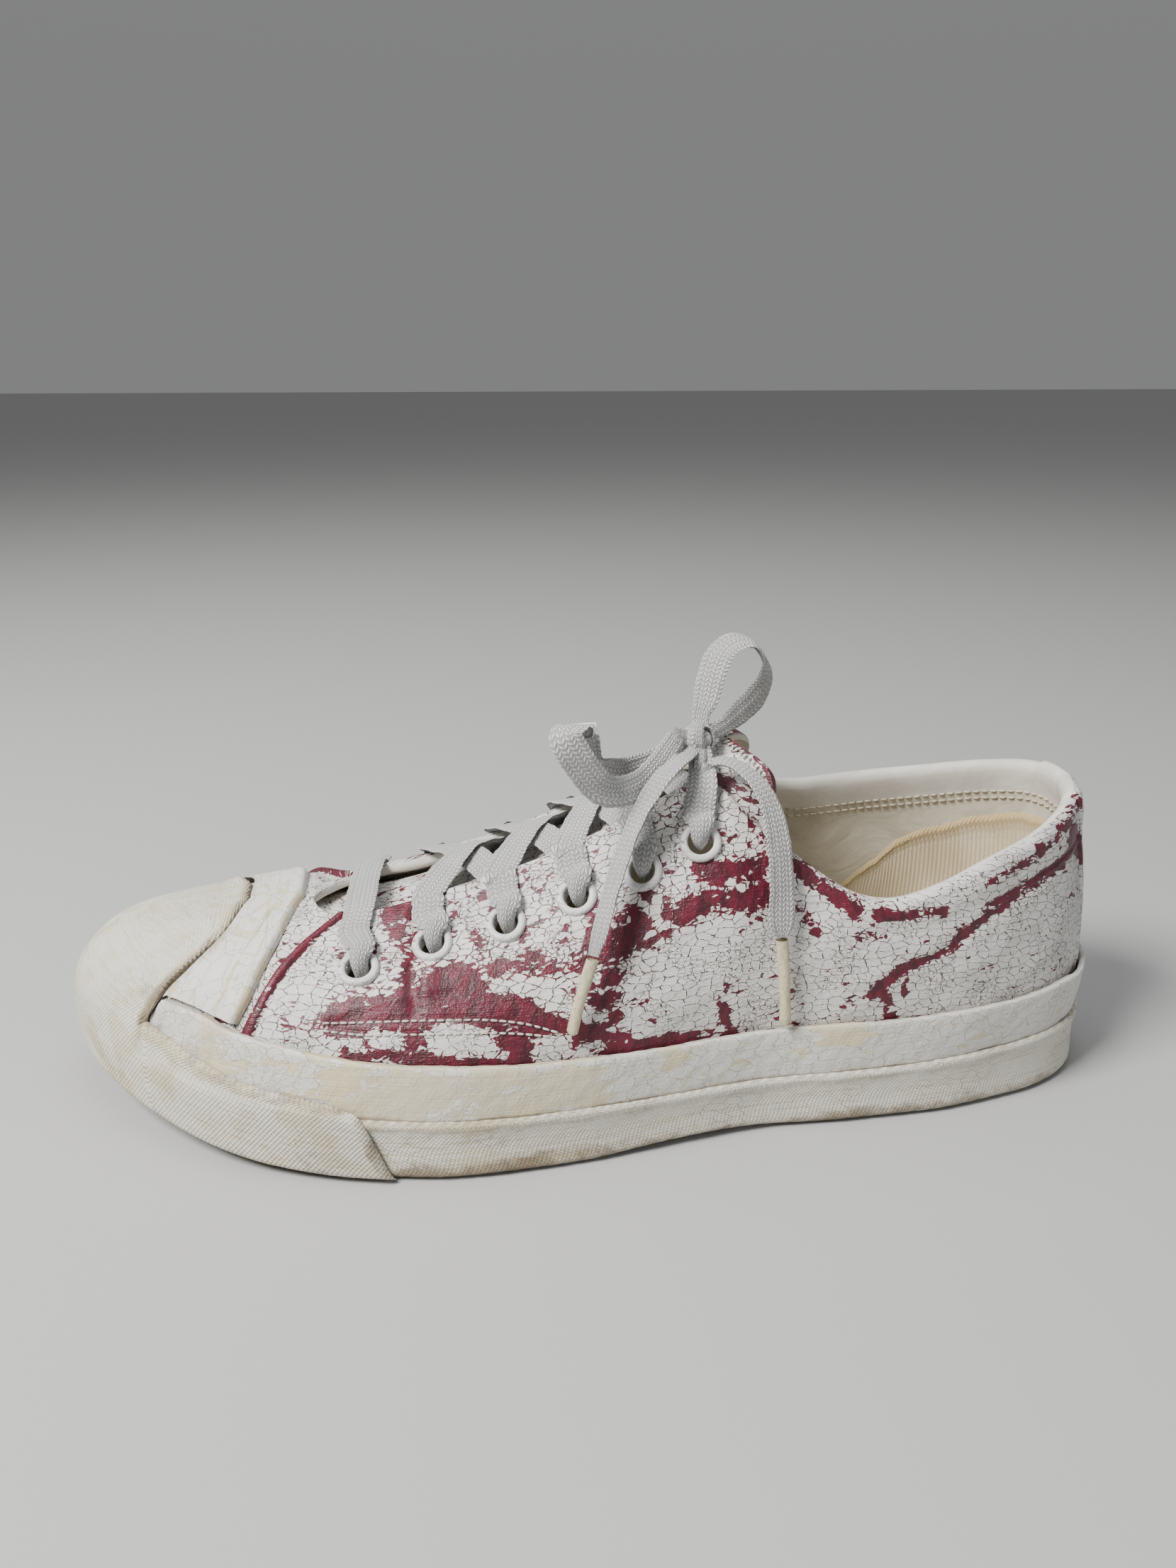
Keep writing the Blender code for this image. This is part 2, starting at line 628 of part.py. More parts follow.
def tongue_rows():
    """Sections of the tongue: edge, shoulder, crown, shoulder, edge."""
    under = -(WALL + TONGUE_SLACK)
    rows = []

    def wall_point(side, k, distance, out):
        return last_offset(side, k, t_from_edge(side, k, distance), out)

    for k, edge, shoulder in ((23.0, 17, 8), (22.0, 17, 8)):
        crown = offset_point(1, k, 1.0, under)
        rows.append([wall_point(1, k, edge * MM, under), wall_point(1, k, shoulder * MM, under),
                     crown, wall_point(-1, k, shoulder * MM, under),
                     wall_point(-1, k, edge * MM, under)])
    for k, edge, shoulder, crest in ((20.6, 12, 3, -0.5), (19.6, 10, 1, 0.8), (18, 9, 0.5, 2.0),
                                     (16, 8, 0.5, 2.6), (14.4, 8, 0.5, 3.2),
                                     (13.2, 8, 0.5, 4.0)):
        left, right = (wall_point(s, k, shoulder * MM, under) for s in (1, -1))
        crown = (left + right) / 2 + np.array([0, 0, crest * MM])
        rows.append([wall_point(1, k, edge * MM, under), left, crown, right,
                     wall_point(-1, k, edge * MM, under)])
    inside = under - 1.1 * RIM_ROLL
    for k, edge, shoulder, crown in ((11.6, 9, (0.392, 0.262, 0.985), (0.404, 0.0, 1.050)),
                                     (10.4, 8, (0.368, 0.285, 1.005), (0.390, 0.0, 1.082)),
                                     (9.4, 3, (0.346, 0.318, 1.020), (0.372, 0.0, 1.106))):
        points = [wall_point(1, k, edge * MM, inside)]
        for side, (x, y, z) in ((1, shoulder), (1, crown), (-1, shoulder)):
            points.append(np.array([x * LENGTH, side * y * HALF_BALL, z * INSTEP]))
        points.append(wall_point(-1, k, edge * MM, inside))
        rows.append(points)
    return rows


def make_tongue():
    """Tongue, sewn under the vamp and standing above the top eyelets."""
    control = np.array(tongue_rows())
    lengthwise = np.linspace(0, len(control) - 1, 15)
    across = np.linspace(0, 4, 9)
    top = np.array([[hermite(hermite(control.reshape(len(control), -1), v).reshape(5, 3), w)
                     for w in across] for v in lengthwise])
    low = np.empty_like(top)
    for i in range(len(lengthwise)):
        for j in range(len(across)):
            a, b = top[max(i - 1, 0), j], top[min(i + 1, len(top) - 1), j]
            c, d = top[i, max(j - 1, 0)], top[i, min(j + 1, len(across) - 1)]
            normal = np.cross(b - a, d - c)
            normal /= np.linalg.norm(normal)
            if normal[2] < 0:
                normal = -normal
            low[i, j] = top[i, j] - TONGUE * normal
    return shell_solid("tongue", top.reshape(-1, 3), low.reshape(-1, 3),
                       grid_quads(len(lengthwise), len(across)), LEATHER)


# Edges of the toe pieces, as row numbers at heights on the last's surface
CAP_EDGE = [(0.0, 25.0), (0.30, 24.85), (0.40, 24.6), (0.52, 24.1), (0.68, 23.65),
            (0.8, 23.6), (1.0, 23.9)]
STRIP_EDGE = [(0.2, 22.95), (0.3, 22.6), (0.42, 22.25), (0.62, 21.95), (0.75, 21.9),
              (1.0, 22.2)]
# The bumper's tail: distances from the heel's back as shares of LENGTH, for each of its
# rows from low to high, and the height of its top edge
TAIL = [0.676, 0.682, 0.703, 0.716, 0.723]
BUMPER_TOP = [(0.72, 19.6), (0.753, 21.5), (0.793, 22.8), (0.83, 24.7), (0.866, 27.6),
              (0.885, 31.0)]
BUMPER_PROUD = 1.8 * MM
CAP_BLEND = 0.78
CAP_COLUMNS = 10
TAIL_COLUMNS = 7


def row_at(side, x):
    """Row number of the column whose foot stands at the distance x from the heel."""
    low, high = 0.0, float(LAST_ROW)
    for _ in range(24):
        middle = (low + high) / 2
        if plan(side, hermite(ROWS[side], middle)[0])[0][0] < x:
            low = middle
        else:
            high = middle
    return (low + high) / 2


def bumper_row(side, k, r):
    """Outer and inner point of the bumper's row r (0 low to 4 high) in the column k."""
    x = plan(side, hermite(ROWS[side], k)[0])[0][0]
    base, lip = underside(x) + BAND_LIFT + 0.3 * MM, height(RIDGE, x)
    top = height(BUMPER_TOP, x)
    if r == 0:
        return outline_at(side, k, -1.0 * MM, base), outline_at(side, k, -GAP, base)
    if r == 1:
        z = base + 2.4 * MM
        return outline_at(side, k, -0.9 * BUMPER_PROUD, z), outline_at(side, k, -GAP, z)
    if r == 2:
        z = lip + 0.3 * MM
        return outline_at(side, k, -BUMPER_PROUD, z), outline_at(side, k, -GAP, z)
    z = (lip + top) / 2 + 0.6 * MM if r == 3 else top
    inner = band_face(side, k, z, SLACK)
    proud = BUMPER_PROUD if r == 3 else 0.8 * BUMPER_PROUD
    return band_face(side, k, z, SLACK + proud), inner


def band_face(side, k, z, out):
    """Point outside the upper tier's face at the height z."""
    foot, middle, rim = upper_band_section(side, k, out)
    if z <= middle[2]:
        f = (z - foot[2]) / (middle[2] - foot[2])
        p = foot * (1 - f) + middle * f
    else:
        f = (z - middle[2]) / (rim[2] - middle[2])
        p = middle * (1 - f) + rim * f
    return np.array([p[0], p[1], z])


def cap_column(side, f):
    """Outer and inner points of the toe cap in one column, f from its edge to the tip."""
    def row(t):
        return min(smooth(CAP_EDGE, t) * (1 - f) + LAST_ROW * f, float(LAST_ROW))

    foot = row(0.0)
    points = [bumper_row(side, foot, r) for r in (0, 1, 2)]
    if f == 0.0:
        points += [bumper_row(side, foot, r) for r in (3, 4)]
        notch = row(0.33)
        z = band_crest(notch, notch_x(side, notch)) - 0.2 * MM
        points.append((upper_at(side, notch, z, BAND + SLACK + 1.0 * MM),
                       upper_at(side, notch, z, BAND + SLACK)))
        for t in (0.42, 0.60):
            points.append((offset_point(side, row(t), t, CAP + 0.8 * MM),
                           offset_point(side, row(t), t, SLACK + 0.3 * MM)))
    else:
        x = plan(side, hermite(ROWS[side], foot)[0])[0][0]
        start = outline_at(side, foot, -0.9 * BUMPER_PROUD, height(RIDGE, x) + 3 * MM)
        end = cap_point(side, row(CAP_BLEND), CAP_BLEND, CAP)
        below = cap_point(side, row(CAP_BLEND - 0.05), CAP_BLEND - 0.05, CAP)
        into = (end - below) / np.linalg.norm(end - below)
        reach = np.linalg.norm(end - start)
        p1 = start + np.array([0, 0, 0.40 * reach])
        p2 = end - 0.33 * reach * into
        low = level_t(side, foot, start[2])
        for g in (0.0, 0.22, 0.45, 0.7, 1.0):
            outer = ((1 - g)**3 * start + 3 * (1 - g)**2 * g * p1 + 3 * (1 - g) * g**2 * p2
                     + g**3 * end)
            points.append((outer, cap_seat(side, foot, low + (CAP_BLEND - low) * g, row)))
    low = 0.60 if f == 0.0 else CAP_BLEND
    for g in (0.25, 0.5, 0.75, 1.0):
        t = low + (1.0 - low) * g
        k = LAST_ROW if f == 1.0 else row(t)
        points.append((cap_point(side, k, t, CAP), cap_point(side, k, t, SLACK)))
    return points


def notch_x(side, k):
    """Distance of a column's foot from the heel's back."""
    return plan(side, hermite(ROWS[side], k)[0])[0][0]


def cap_point(side, k, t, out):
    """Offset point, which is the same from both sides on the ridge."""
    return offset_point(side, float(k), 1.0 if t > 0.9999 else t, out)


def cap_seat(side, foot, t, row):
    """Inner point of the cap at t: outside the upper tier's end, or the upper itself."""
    p = cap_point(side, min(row(t), float(LAST_ROW)), t, SLACK + 0.2 * MM)
    crest = band_crest(UPPER_BAND_END, notch_x(side, UPPER_BAND_END)) + 1.5 * MM
    if foot < UPPER_BAND_END + 0.5 and p[2] < crest:
        return band_face(side, foot, p[2], SLACK)
    return p


def make_toe_cap():
    """Moulded toe cap with its bumper, whose tails run back along both sides."""
    columns = [cap_column(1, c / CAP_COLUMNS) for c in range(CAP_COLUMNS + 1)]
    columns += [cap_column(-1, c / CAP_COLUMNS) for c in reversed(range(CAP_COLUMNS))]
    outer = [pair[0] for column in columns for pair in column]
    inner = [pair[1] for column in columns for pair in column]
    rows = len(columns[0])
    quads = grid_quads(len(columns), rows)
    for side, first in ((1, 0), (-1, (len(columns) - 1) * rows)):
        start = len(outer)
        for c in range(TAIL_COLUMNS):
            for r in range(5):
                tail = row_at(side, TAIL[r] * LENGTH)
                k = tail + (CAP_EDGE[0][1] - tail) * c / TAIL_COLUMNS
                pair = bumper_row(side, k, r)
                outer.append(pair[0])
                inner.append(pair[1])
        for c in range(TAIL_COLUMNS):
            for r in range(4):
                a = start + c * 5 + r
                b = a + 5 if c < TAIL_COLUMNS - 1 else first + r
                quads.append((a, b, b + 1, a + 1) if side > 0 else (b, a, a + 1, b + 1))
    return shell_solid("toe_cap", outer, inner, quads, CAP_RUBBER)


def make_toe_strip():
    """Strip across the vamp behind the cap, tucked down to the upper tier."""
    columns = 4
    outer, inner, across = [], [], 0
    for side in (1, -1):
        heights = np.linspace(0, 1, 9)
        for g in (heights if side > 0 else heights[-2::-1]):
            for c in range(columns):
                f = c / (columns - 1)
                foot = smooth(STRIP_EDGE, 0.3) * (1 - f) + (smooth(CAP_EDGE, 0.3) - 0.2) * f
                x = notch_x(side, foot)
                low = level_t(side, foot, band_crest(foot, x) + GAP)
                t = low + (1 - low) * g
                gap = 0.09 + 0.1 * max(0.0, 0.5 - t)
                k = smooth(STRIP_EDGE, t) * (1 - f) + (smooth(CAP_EDGE, t) - gap) * f
                outer.append(cap_point(side, k, t, SLACK + STRIP))
                inner.append(cap_point(side, k, t, SLACK))
            across += 1
    return shell_solid("toe_strip", outer, inner, grid_quads(across, columns), RUBBER)


# Eyelets: distance from the heel's back as a share of LENGTH, and from the throat's edge
EYELETS = [(0.705, 18.0), (0.641, 15.3), (0.576, 15.0), (0.513, 14.4), (0.455, 15.3),
           (0.404, 14.5)]
EYELET_HOLE = 3.2 * MM
EYELET_BARREL = 0.7 * MM
EYELET_FLANGE = 5.2 * MM
EYELET_SIDES = 8
HOLE_DEPTH = 12.0 * MM          # through the wall, with room for the turn of the quarter
FLANGE_LIFT = 0.85 * MM


def eyelet_frame(side, share, inset):
    """Place of an eyelet on the quarter's face, with Z along the outward normal."""
    low, high = 12.0, 20.5
    for _ in range(24):
        k = (low + high) / 2
        t = t_from_edge(side, k, inset * MM)
        if last_point(side, k, t)[0] < share * LENGTH:
            low = k
        else:
            high = k
    at = last_offset(side, k, t, QUARTER_STEP)
    normal = last_normal(side, k, t)
    along = np.cross(normal, (0, 0, 1))
    along /= np.linalg.norm(along)
    up = np.cross(normal, along)
    frame = Matrix.Identity(4)
    for i in range(3):
        frame[i][0], frame[i][1], frame[i][2], frame[i][3] = along[i], up[i], normal[i], at[i]
    return frame


def make_eyelet(name, frame):
    """Rolled ring with a short barrel through the quarter."""
    wall = EYELET_HOLE + EYELET_BARREL
    depth = WALL + QUARTER_STEP - GAP
    profile = [(EYELET_HOLE, -depth), (wall, -depth), (wall, FLANGE_LIFT),
               (EYELET_FLANGE, FLANGE_LIFT), (EYELET_FLANGE - 0.5 * MM, 1.3 * MM),
               (wall, 1.5 * MM)]
    sections = []
    for i in range(EYELET_SIDES):
        turn = 2 * math.pi * i / EYELET_SIDES
        sections.append([frame @ Vector((r * math.cos(turn), r * math.sin(turn), z))
                         for r, z in profile])
    return ring_solid(name, sections, METAL)


def cut_eyelet_holes(upper, frames):
    """Cut one hole through the quarters for each eyelet."""
    bm = bmesh.new()
    radius = EYELET_HOLE + EYELET_BARREL + GAP
    for frame in frames:
        bmesh.ops.create_cone(bm, cap_ends=True, segments=EYELET_SIDES, radius1=radius,
                              radius2=radius, depth=HOLE_DEPTH, matrix=frame)
    cutter = add_object("eyelet_cutter", bm, METAL)
    cutter.hide_render = True
    cutter.display_type = 'WIRE'
    cut = upper.modifiers.new("eyelets", 'BOOLEAN')
    cut.operation = 'DIFFERENCE'
    cut.solver = 'EXACT'
    cut.object = cutter


upper = make_upper()
outsole = make_outsole()
insole = make_insole()
foxing_lower = make_lower_band()
foxing_upper = make_upper_band()
tongue = make_tongue()
toe_cap = make_toe_cap()
toe_strip = make_toe_strip()
frames = {(side, i): eyelet_frame(side, *place)
          for side in (1, -1) for i, place in enumerate(EYELETS)}
for (side, i), frame in frames.items():
    where = "outer" if side > 0 else "inner"
    make_eyelet(f"eyelet_{where}_{i + 1}", frame)
cut_eyelet_holes(upper, frames.values())

# Laces: a flat woven lace, in its own width and thickness
LACE_WIDTH = 8.4 * MM
LACE_THICK = 1.4 * MM
LACE_AT_HOLE = 5.6 * MM
RING_TOP = 1.5 * MM
OVER = 1.0 * MM
LACE_RISE = 3.4 * MM
LACE_DIVE = 0.5 * MM


def strap_mesh(bm, points, normals, widths):
    """Flat strip of the lace along a path, with its face along the normals."""
    rings = []
    count = len(points)
    for i, (at, normal, width) in enumerate(zip(points, normals, widths)):
        along = points[min(i + 1, count - 1)] - points[max(i - 1, 0)]
        across = np.cross(along, normal)
        across /= np.linalg.norm(across)
        face = np.cross(across, along)
        face /= np.linalg.norm(face)
        rings.append([bm.verts.new(at + across * a * width / 2 + face * b * LACE_THICK / 2)
                      for a, b in ((-1, -1), (1, -1), (1, 1), (-1, 1))])
    for a, b in zip(rings, rings[1:]):
        for j in range(4):
            bm.faces.new((a[j], a[(j + 1) % 4], b[(j + 1) % 4], b[j]))
    bm.faces.new(rings[0])
    bm.faces.new(rings[-1])


def at_station(x):
    """Row number of the throat's edge at the distance x from the heel's back."""
    low, high = 13.0, 20.0
    for _ in range(24):
        k = (low + high) / 2
        if hermite(ROWS[1], k)[1] < x:
            low = k
        else:
            high = k
    return k


def from_hole(side, i):
    """Path of a lace out of an eyelet, up to the throat's edge: points, normals, widths."""
    frame = frames[(side, i)]
    start = np.array(frame @ Vector((0, 0, RING_TOP + GAP + 1.3 * LACE_THICK)))
    normal = np.array([frame[r][2] for r in range(3)])
    k = at_station(start[0] + 0.5 * MM)
    lift = QUARTER_STEP + GAP + LACE_THICK
    low = last_offset(side, k, t_from_edge(side, k, 7.0 * MM), lift)
    edge = last_offset(side, k, 1.0, lift - 0.2 * MM)
    return ([start, low, edge],
            [normal, last_normal(side, k, 0.9), last_normal(side, k, 1.0)],
            [LACE_AT_HOLE, LACE_WIDTH, LACE_WIDTH])


def throat_middle(x, rise):
    """Middle of the throat above the tongue, and the way up from it."""
    k = at_station(x)
    top = hermite(ROWS[1], k)
    after = hermite(ROWS[1], k + 0.5)
    slope = (after[3] - top[3]) / (after[1] - top[1])
    up = np.array([-slope, 0.0, 1.0]) / math.hypot(slope, 1.0)
    return np.array([top[1], 0.0, top[3]]) + up * rise, up


def smooth_path(points, normals, widths, steps):
    """Denser path through the points, with its normals and widths."""
    rows = np.array([[*p, *n, w] for p, n, w in zip(points, normals, widths)])
    dense = [hermite(rows, k) for k in np.linspace(0, len(rows) - 1, steps)]
    return [r[:3] for r in dense], [r[3:6] for r in dense], [r[6] for r in dense]


def crossing_path(side, i, rise):
    """Path of the lace from one eyelet, over the tongue, to the far quarter's edge."""
    points, normals, widths = from_hole(side, i)
    x_near, x_far = points[0][0], frames[(-side, i + 1)][0][3]
    middle, up = throat_middle((x_near + x_far) / 2, rise)
    far_k = at_station(x_far + 3.0 * MM)
    edge = last_point(-side, far_k, 1.0)
    end = np.array([edge[0], edge[1] * (1 - 4.2 * MM / abs(edge[1])), edge[2]])
    end = end + up * LACE_DIVE
    points += [middle, end]
    normals += [up, up]
    widths += [LACE_WIDTH, LACE_WIDTH * 0.9]
    return smooth_path(points, normals, widths, 9)


def make_crossing(i):
    """Two laces that cross between a pair of eyelets and the next, as one piece."""
    low_bm = bmesh.new()
    strap_mesh(low_bm, *crossing_path(-1, i, LACE_RISE))
    low = add_object(f"lace_under_{i + 1}", low_bm, COTTON)
    low.hide_render = True
    low.display_type = 'WIRE'
    bm = bmesh.new()
    strap_mesh(bm, *crossing_path(1, i, LACE_RISE + OVER))
    made = add_object(f"lace_crossing_{i + 1}", bm, COTTON)
    join = made.modifiers.new("crossing", 'BOOLEAN')
    join.operation = 'UNION'
    join.solver = 'EXACT'
    join.object = low


def make_bar():
    """First lace, straight across from eyelet to eyelet."""
    points, normals, widths = from_hole(1, 0)
    back = from_hole(-1, 0)
    middle, up = throat_middle(points[0][0] + 0.5 * MM, LACE_RISE)
    points = points + [middle] + back[0][::-1]
    normals = normals + [up] + back[1][::-1]
    widths = widths + [LACE_WIDTH] + back[2][::-1]
    bm = bmesh.new()
    strap_mesh(bm, *smooth_path(points, normals, widths, 11))
    add_object("lace_bar", bm, COTTON)


# The bow: routes in millimetres from the heel's back, the middle line and the floor
KNOT = (115.0, 9.0, 98.0)
KNOT_SIZE = (5.6, 5.0, 4.6)
LOOP_FRONT = [(121.2, 12.6, 100.4), (126.2, 17.0, 94.6), (131.2, 21.0, 90.8),
              (137.0, 25.0, 90.1), (142.0, 28.0, 92.2), (146.0, 30.0, 97.4),
              (149.4, 31.0, 103.2), (150.8, 30.0, 106.8), (148.4, 26.0, 107.3),
              (145.3, 22.0, 103.5), (143.0, 19.0, 97.0), (137.3, 16.0, 92.4),
              (130.2, 12.5, 92.4), (122.8, 9.5, 95.2)]
LOOP_BACK = [(113.8, 5.5, 104.6), (112.4, 4.0, 107.6), (110.9, 2.0, 113.0),
             (108.3, 0.0, 118.7), (104.1, -2.0, 121.4), (99.3, -4.0, 120.5),
             (95.6, -5.0, 116.1), (95.0, -4.0, 111.1), (97.9, -2.0, 106.3),
             (102.6, 1.0, 103.0), (107.6, 5.0, 100.6)]
END_FRONT = [(118.8, 14.8, 95.8), (122.5, 20.0, 95.0), (126.3, 24.0, 93.0),
             (130.6, 26.4, 87.8), (134.1, 28.4, 81.3), (137.4, 32.0, 74.4),
             (140.2, 36.0, 67.7), (142.7, 40.0, 61.2), (145.1, 43.4, 54.5)]
END_REAR = [(112.2, 16.2, 95.7), (110.2, 17.2, 96.4), (106.7, 19.6, 95.8),
            (103.3, 22.5, 93.3), (100.5, 25.5, 89.0), (98.8, 28.5, 83.1),
            (97.7, 31.0, 75.5), (97.3, 33.5, 66.9), (97.3, 35.6, 58.3),
            (97.2, 36.4, 54.3)]
TIP_FRONT = [(145.4, 43.8, 53.8), (150.9, 47.4, 35.4)]
TIP_REAR = [(97.1, 36.6, 53.6), (95.6, 38.8, 30.4)]
CORD_RADIUS = 2.0 * MM
TIP_RADIUS = 1.6 * MM
TIP_SPACING = 20.0              # in row millimetres: more than a tip's length, so it stays one run
# The laces that rise to the knot: shares of LENGTH, of half the ball width and of INSTEP
RISE = {1: [(0.3993, 0.329, 1.0322), (0.3986, 0.2374, 1.0644)],
        -1: [(0.4007, -0.3888, 1.0069), (0.3979, -0.2897, 1.0552),
             (0.3931, -0.1495, 1.0874), (0.3910, 0.0187, 1.1011)]}


def cord_object(name, route, radius, slot, spacing=9.0):
    """Round tube through a route, as the lace's plain solid."""
    rows = np.array(route, float)
    dense = np.array([hermite(rows, k) for k in np.linspace(0, len(rows) - 1, 200)])
    gone = np.r_[0, np.cumsum(np.linalg.norm(np.diff(dense, axis=0), axis=1))]
    count = max(2, int(round(gone[-1] / spacing)) + 1)
    curve = bpy.data.curves.new(name, 'CURVE')
    curve.dimensions = '3D'
    spline = curve.splines.new('POLY')
    spline.points.add(count - 1)
    for i, reach in enumerate(np.linspace(0, gone[-1], count)):
        at = [np.interp(reach, gone, dense[:, axis]) * MM for axis in range(3)]
        spline.points[i].co = (at[0] - HEEL_SEAT, at[1], at[2], 1.0)
    curve.bevel_depth = radius
    curve.bevel_resolution = 2
    curve.use_fill_caps = True
    curve.materials.append(slot)
    made = bpy.data.objects.new(name, curve)
    bpy.context.scene.collection.objects.link(made)


def make_knot():
    """Knot of the bow, above the tongue."""
    bm = bmesh.new()
    size = Matrix.Diagonal((*[v * MM for v in KNOT_SIZE], 1))
    bmesh.ops.create_icosphere(bm, subdivisions=2, radius=1.0,
                               matrix=Matrix.Translation([v * MM for v in KNOT]) @ size)
    add_object("lace_knot", bm, COTTON)


def make_top_laces():
    """The two laces that rise from the top eyelets to the knot."""
    for side, name in ((1, "lace_rise_outer"), (-1, "lace_rise_inner")):
        points, normals, widths = (row[:1] for row in from_hole(side, len(EYELETS) - 1))
        for x, y, z in RISE[side]:
            points.append(np.array([x * LENGTH, y * HALF_BALL, z * INSTEP]))
            normals.append(np.array([0.35, 0.2 * side, 1.0]))
            widths.append(LACE_WIDTH * 0.75)
        bm = bmesh.new()
        strap_mesh(bm, *smooth_path(points, normals, widths, 8))
        add_object(name, bm, COTTON)


make_bar()
for i in range(1, len(EYELETS) - 1):
    make_crossing(i)
make_top_laces()
make_knot()
cord_object("lace_loop_front", LOOP_FRONT, CORD_RADIUS, COTTON)
cord_object("lace_loop_back", LOOP_BACK, CORD_RADIUS, COTTON)
cord_object("lace_end_front", END_FRONT, CORD_RADIUS, COTTON)
cord_object("lace_end_rear", END_REAR, CORD_RADIUS, COTTON)
cord_object("lace_tip_front", TIP_FRONT, TIP_RADIUS, PLASTIC, spacing=TIP_SPACING)
cord_object("lace_tip_rear", TIP_REAR, TIP_RADIUS, PLASTIC, spacing=TIP_SPACING)
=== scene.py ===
"""A worn low sneaker on a pale floor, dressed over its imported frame.

The shoe's own surface functions are repeated here, so that each piece is rebuilt finer on
the same form: +X runs to the toe, +Y to the outer side and +Z up, from the heel's seat.
"""
import json
import math

import bmesh
import bpy
import numpy as np
from mathutils import Matrix, Vector
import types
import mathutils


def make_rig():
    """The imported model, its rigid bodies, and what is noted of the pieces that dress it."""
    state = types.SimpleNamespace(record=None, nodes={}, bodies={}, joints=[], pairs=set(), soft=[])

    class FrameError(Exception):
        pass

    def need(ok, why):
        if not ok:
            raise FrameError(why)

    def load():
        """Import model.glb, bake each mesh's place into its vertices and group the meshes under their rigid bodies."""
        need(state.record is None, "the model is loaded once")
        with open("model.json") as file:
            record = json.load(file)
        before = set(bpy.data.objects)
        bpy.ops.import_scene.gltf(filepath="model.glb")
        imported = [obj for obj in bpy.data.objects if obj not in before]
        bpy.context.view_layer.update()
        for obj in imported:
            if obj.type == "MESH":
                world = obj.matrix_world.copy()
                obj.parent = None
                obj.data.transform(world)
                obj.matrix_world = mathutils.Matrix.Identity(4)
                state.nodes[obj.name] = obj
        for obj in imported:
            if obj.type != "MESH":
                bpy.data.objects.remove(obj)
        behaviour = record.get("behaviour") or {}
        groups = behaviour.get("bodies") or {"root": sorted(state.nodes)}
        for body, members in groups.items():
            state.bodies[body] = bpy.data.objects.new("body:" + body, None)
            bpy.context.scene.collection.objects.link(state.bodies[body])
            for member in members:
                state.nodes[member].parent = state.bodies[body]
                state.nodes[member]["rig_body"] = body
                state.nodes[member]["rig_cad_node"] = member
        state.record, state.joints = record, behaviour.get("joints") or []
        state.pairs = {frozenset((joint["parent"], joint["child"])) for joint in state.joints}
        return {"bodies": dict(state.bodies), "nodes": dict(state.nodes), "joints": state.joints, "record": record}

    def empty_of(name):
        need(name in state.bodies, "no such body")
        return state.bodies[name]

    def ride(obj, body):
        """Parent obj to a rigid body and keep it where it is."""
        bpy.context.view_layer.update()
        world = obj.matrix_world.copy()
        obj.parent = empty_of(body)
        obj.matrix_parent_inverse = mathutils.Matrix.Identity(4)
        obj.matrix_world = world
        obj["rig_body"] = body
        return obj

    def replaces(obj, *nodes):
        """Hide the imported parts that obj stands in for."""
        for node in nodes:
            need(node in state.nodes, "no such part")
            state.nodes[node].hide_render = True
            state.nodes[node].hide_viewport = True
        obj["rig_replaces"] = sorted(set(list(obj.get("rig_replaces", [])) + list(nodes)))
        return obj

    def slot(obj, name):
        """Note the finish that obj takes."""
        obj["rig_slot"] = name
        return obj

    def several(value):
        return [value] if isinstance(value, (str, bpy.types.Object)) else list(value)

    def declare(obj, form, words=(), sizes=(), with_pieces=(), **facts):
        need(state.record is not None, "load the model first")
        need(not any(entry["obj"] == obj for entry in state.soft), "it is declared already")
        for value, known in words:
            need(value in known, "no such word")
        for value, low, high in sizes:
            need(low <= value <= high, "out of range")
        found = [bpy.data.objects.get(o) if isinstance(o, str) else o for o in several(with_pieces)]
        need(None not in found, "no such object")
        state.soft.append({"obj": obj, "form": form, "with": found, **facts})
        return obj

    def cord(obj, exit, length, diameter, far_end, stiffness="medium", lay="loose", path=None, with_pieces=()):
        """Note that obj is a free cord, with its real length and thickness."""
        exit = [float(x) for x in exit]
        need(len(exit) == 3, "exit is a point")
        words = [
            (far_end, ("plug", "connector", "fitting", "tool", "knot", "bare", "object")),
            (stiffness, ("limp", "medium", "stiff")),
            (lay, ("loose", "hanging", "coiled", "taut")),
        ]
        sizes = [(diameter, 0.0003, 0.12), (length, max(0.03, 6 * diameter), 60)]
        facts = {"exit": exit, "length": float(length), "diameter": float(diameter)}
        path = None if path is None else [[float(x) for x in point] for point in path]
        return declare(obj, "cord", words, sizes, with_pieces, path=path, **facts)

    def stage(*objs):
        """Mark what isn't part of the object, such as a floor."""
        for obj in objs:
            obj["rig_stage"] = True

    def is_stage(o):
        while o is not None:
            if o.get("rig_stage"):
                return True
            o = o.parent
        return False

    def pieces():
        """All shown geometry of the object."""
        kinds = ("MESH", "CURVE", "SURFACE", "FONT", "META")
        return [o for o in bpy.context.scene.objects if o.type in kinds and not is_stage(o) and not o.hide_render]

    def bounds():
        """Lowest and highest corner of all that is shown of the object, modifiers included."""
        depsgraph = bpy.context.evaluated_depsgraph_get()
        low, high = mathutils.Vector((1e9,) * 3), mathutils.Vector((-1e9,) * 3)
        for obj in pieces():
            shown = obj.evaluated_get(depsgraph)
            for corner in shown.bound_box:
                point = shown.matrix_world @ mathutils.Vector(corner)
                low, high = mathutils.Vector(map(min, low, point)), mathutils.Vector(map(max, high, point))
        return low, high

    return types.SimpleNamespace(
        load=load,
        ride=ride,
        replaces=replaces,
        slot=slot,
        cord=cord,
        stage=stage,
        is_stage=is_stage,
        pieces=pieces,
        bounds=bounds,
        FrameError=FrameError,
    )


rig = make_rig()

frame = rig.load()
cad_box = [list(corner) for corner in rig.bounds()]
for shown in frame["nodes"].values():
    shown.select_set(False)

MM = 0.001
HEEL_SEAT = 42.0 * MM


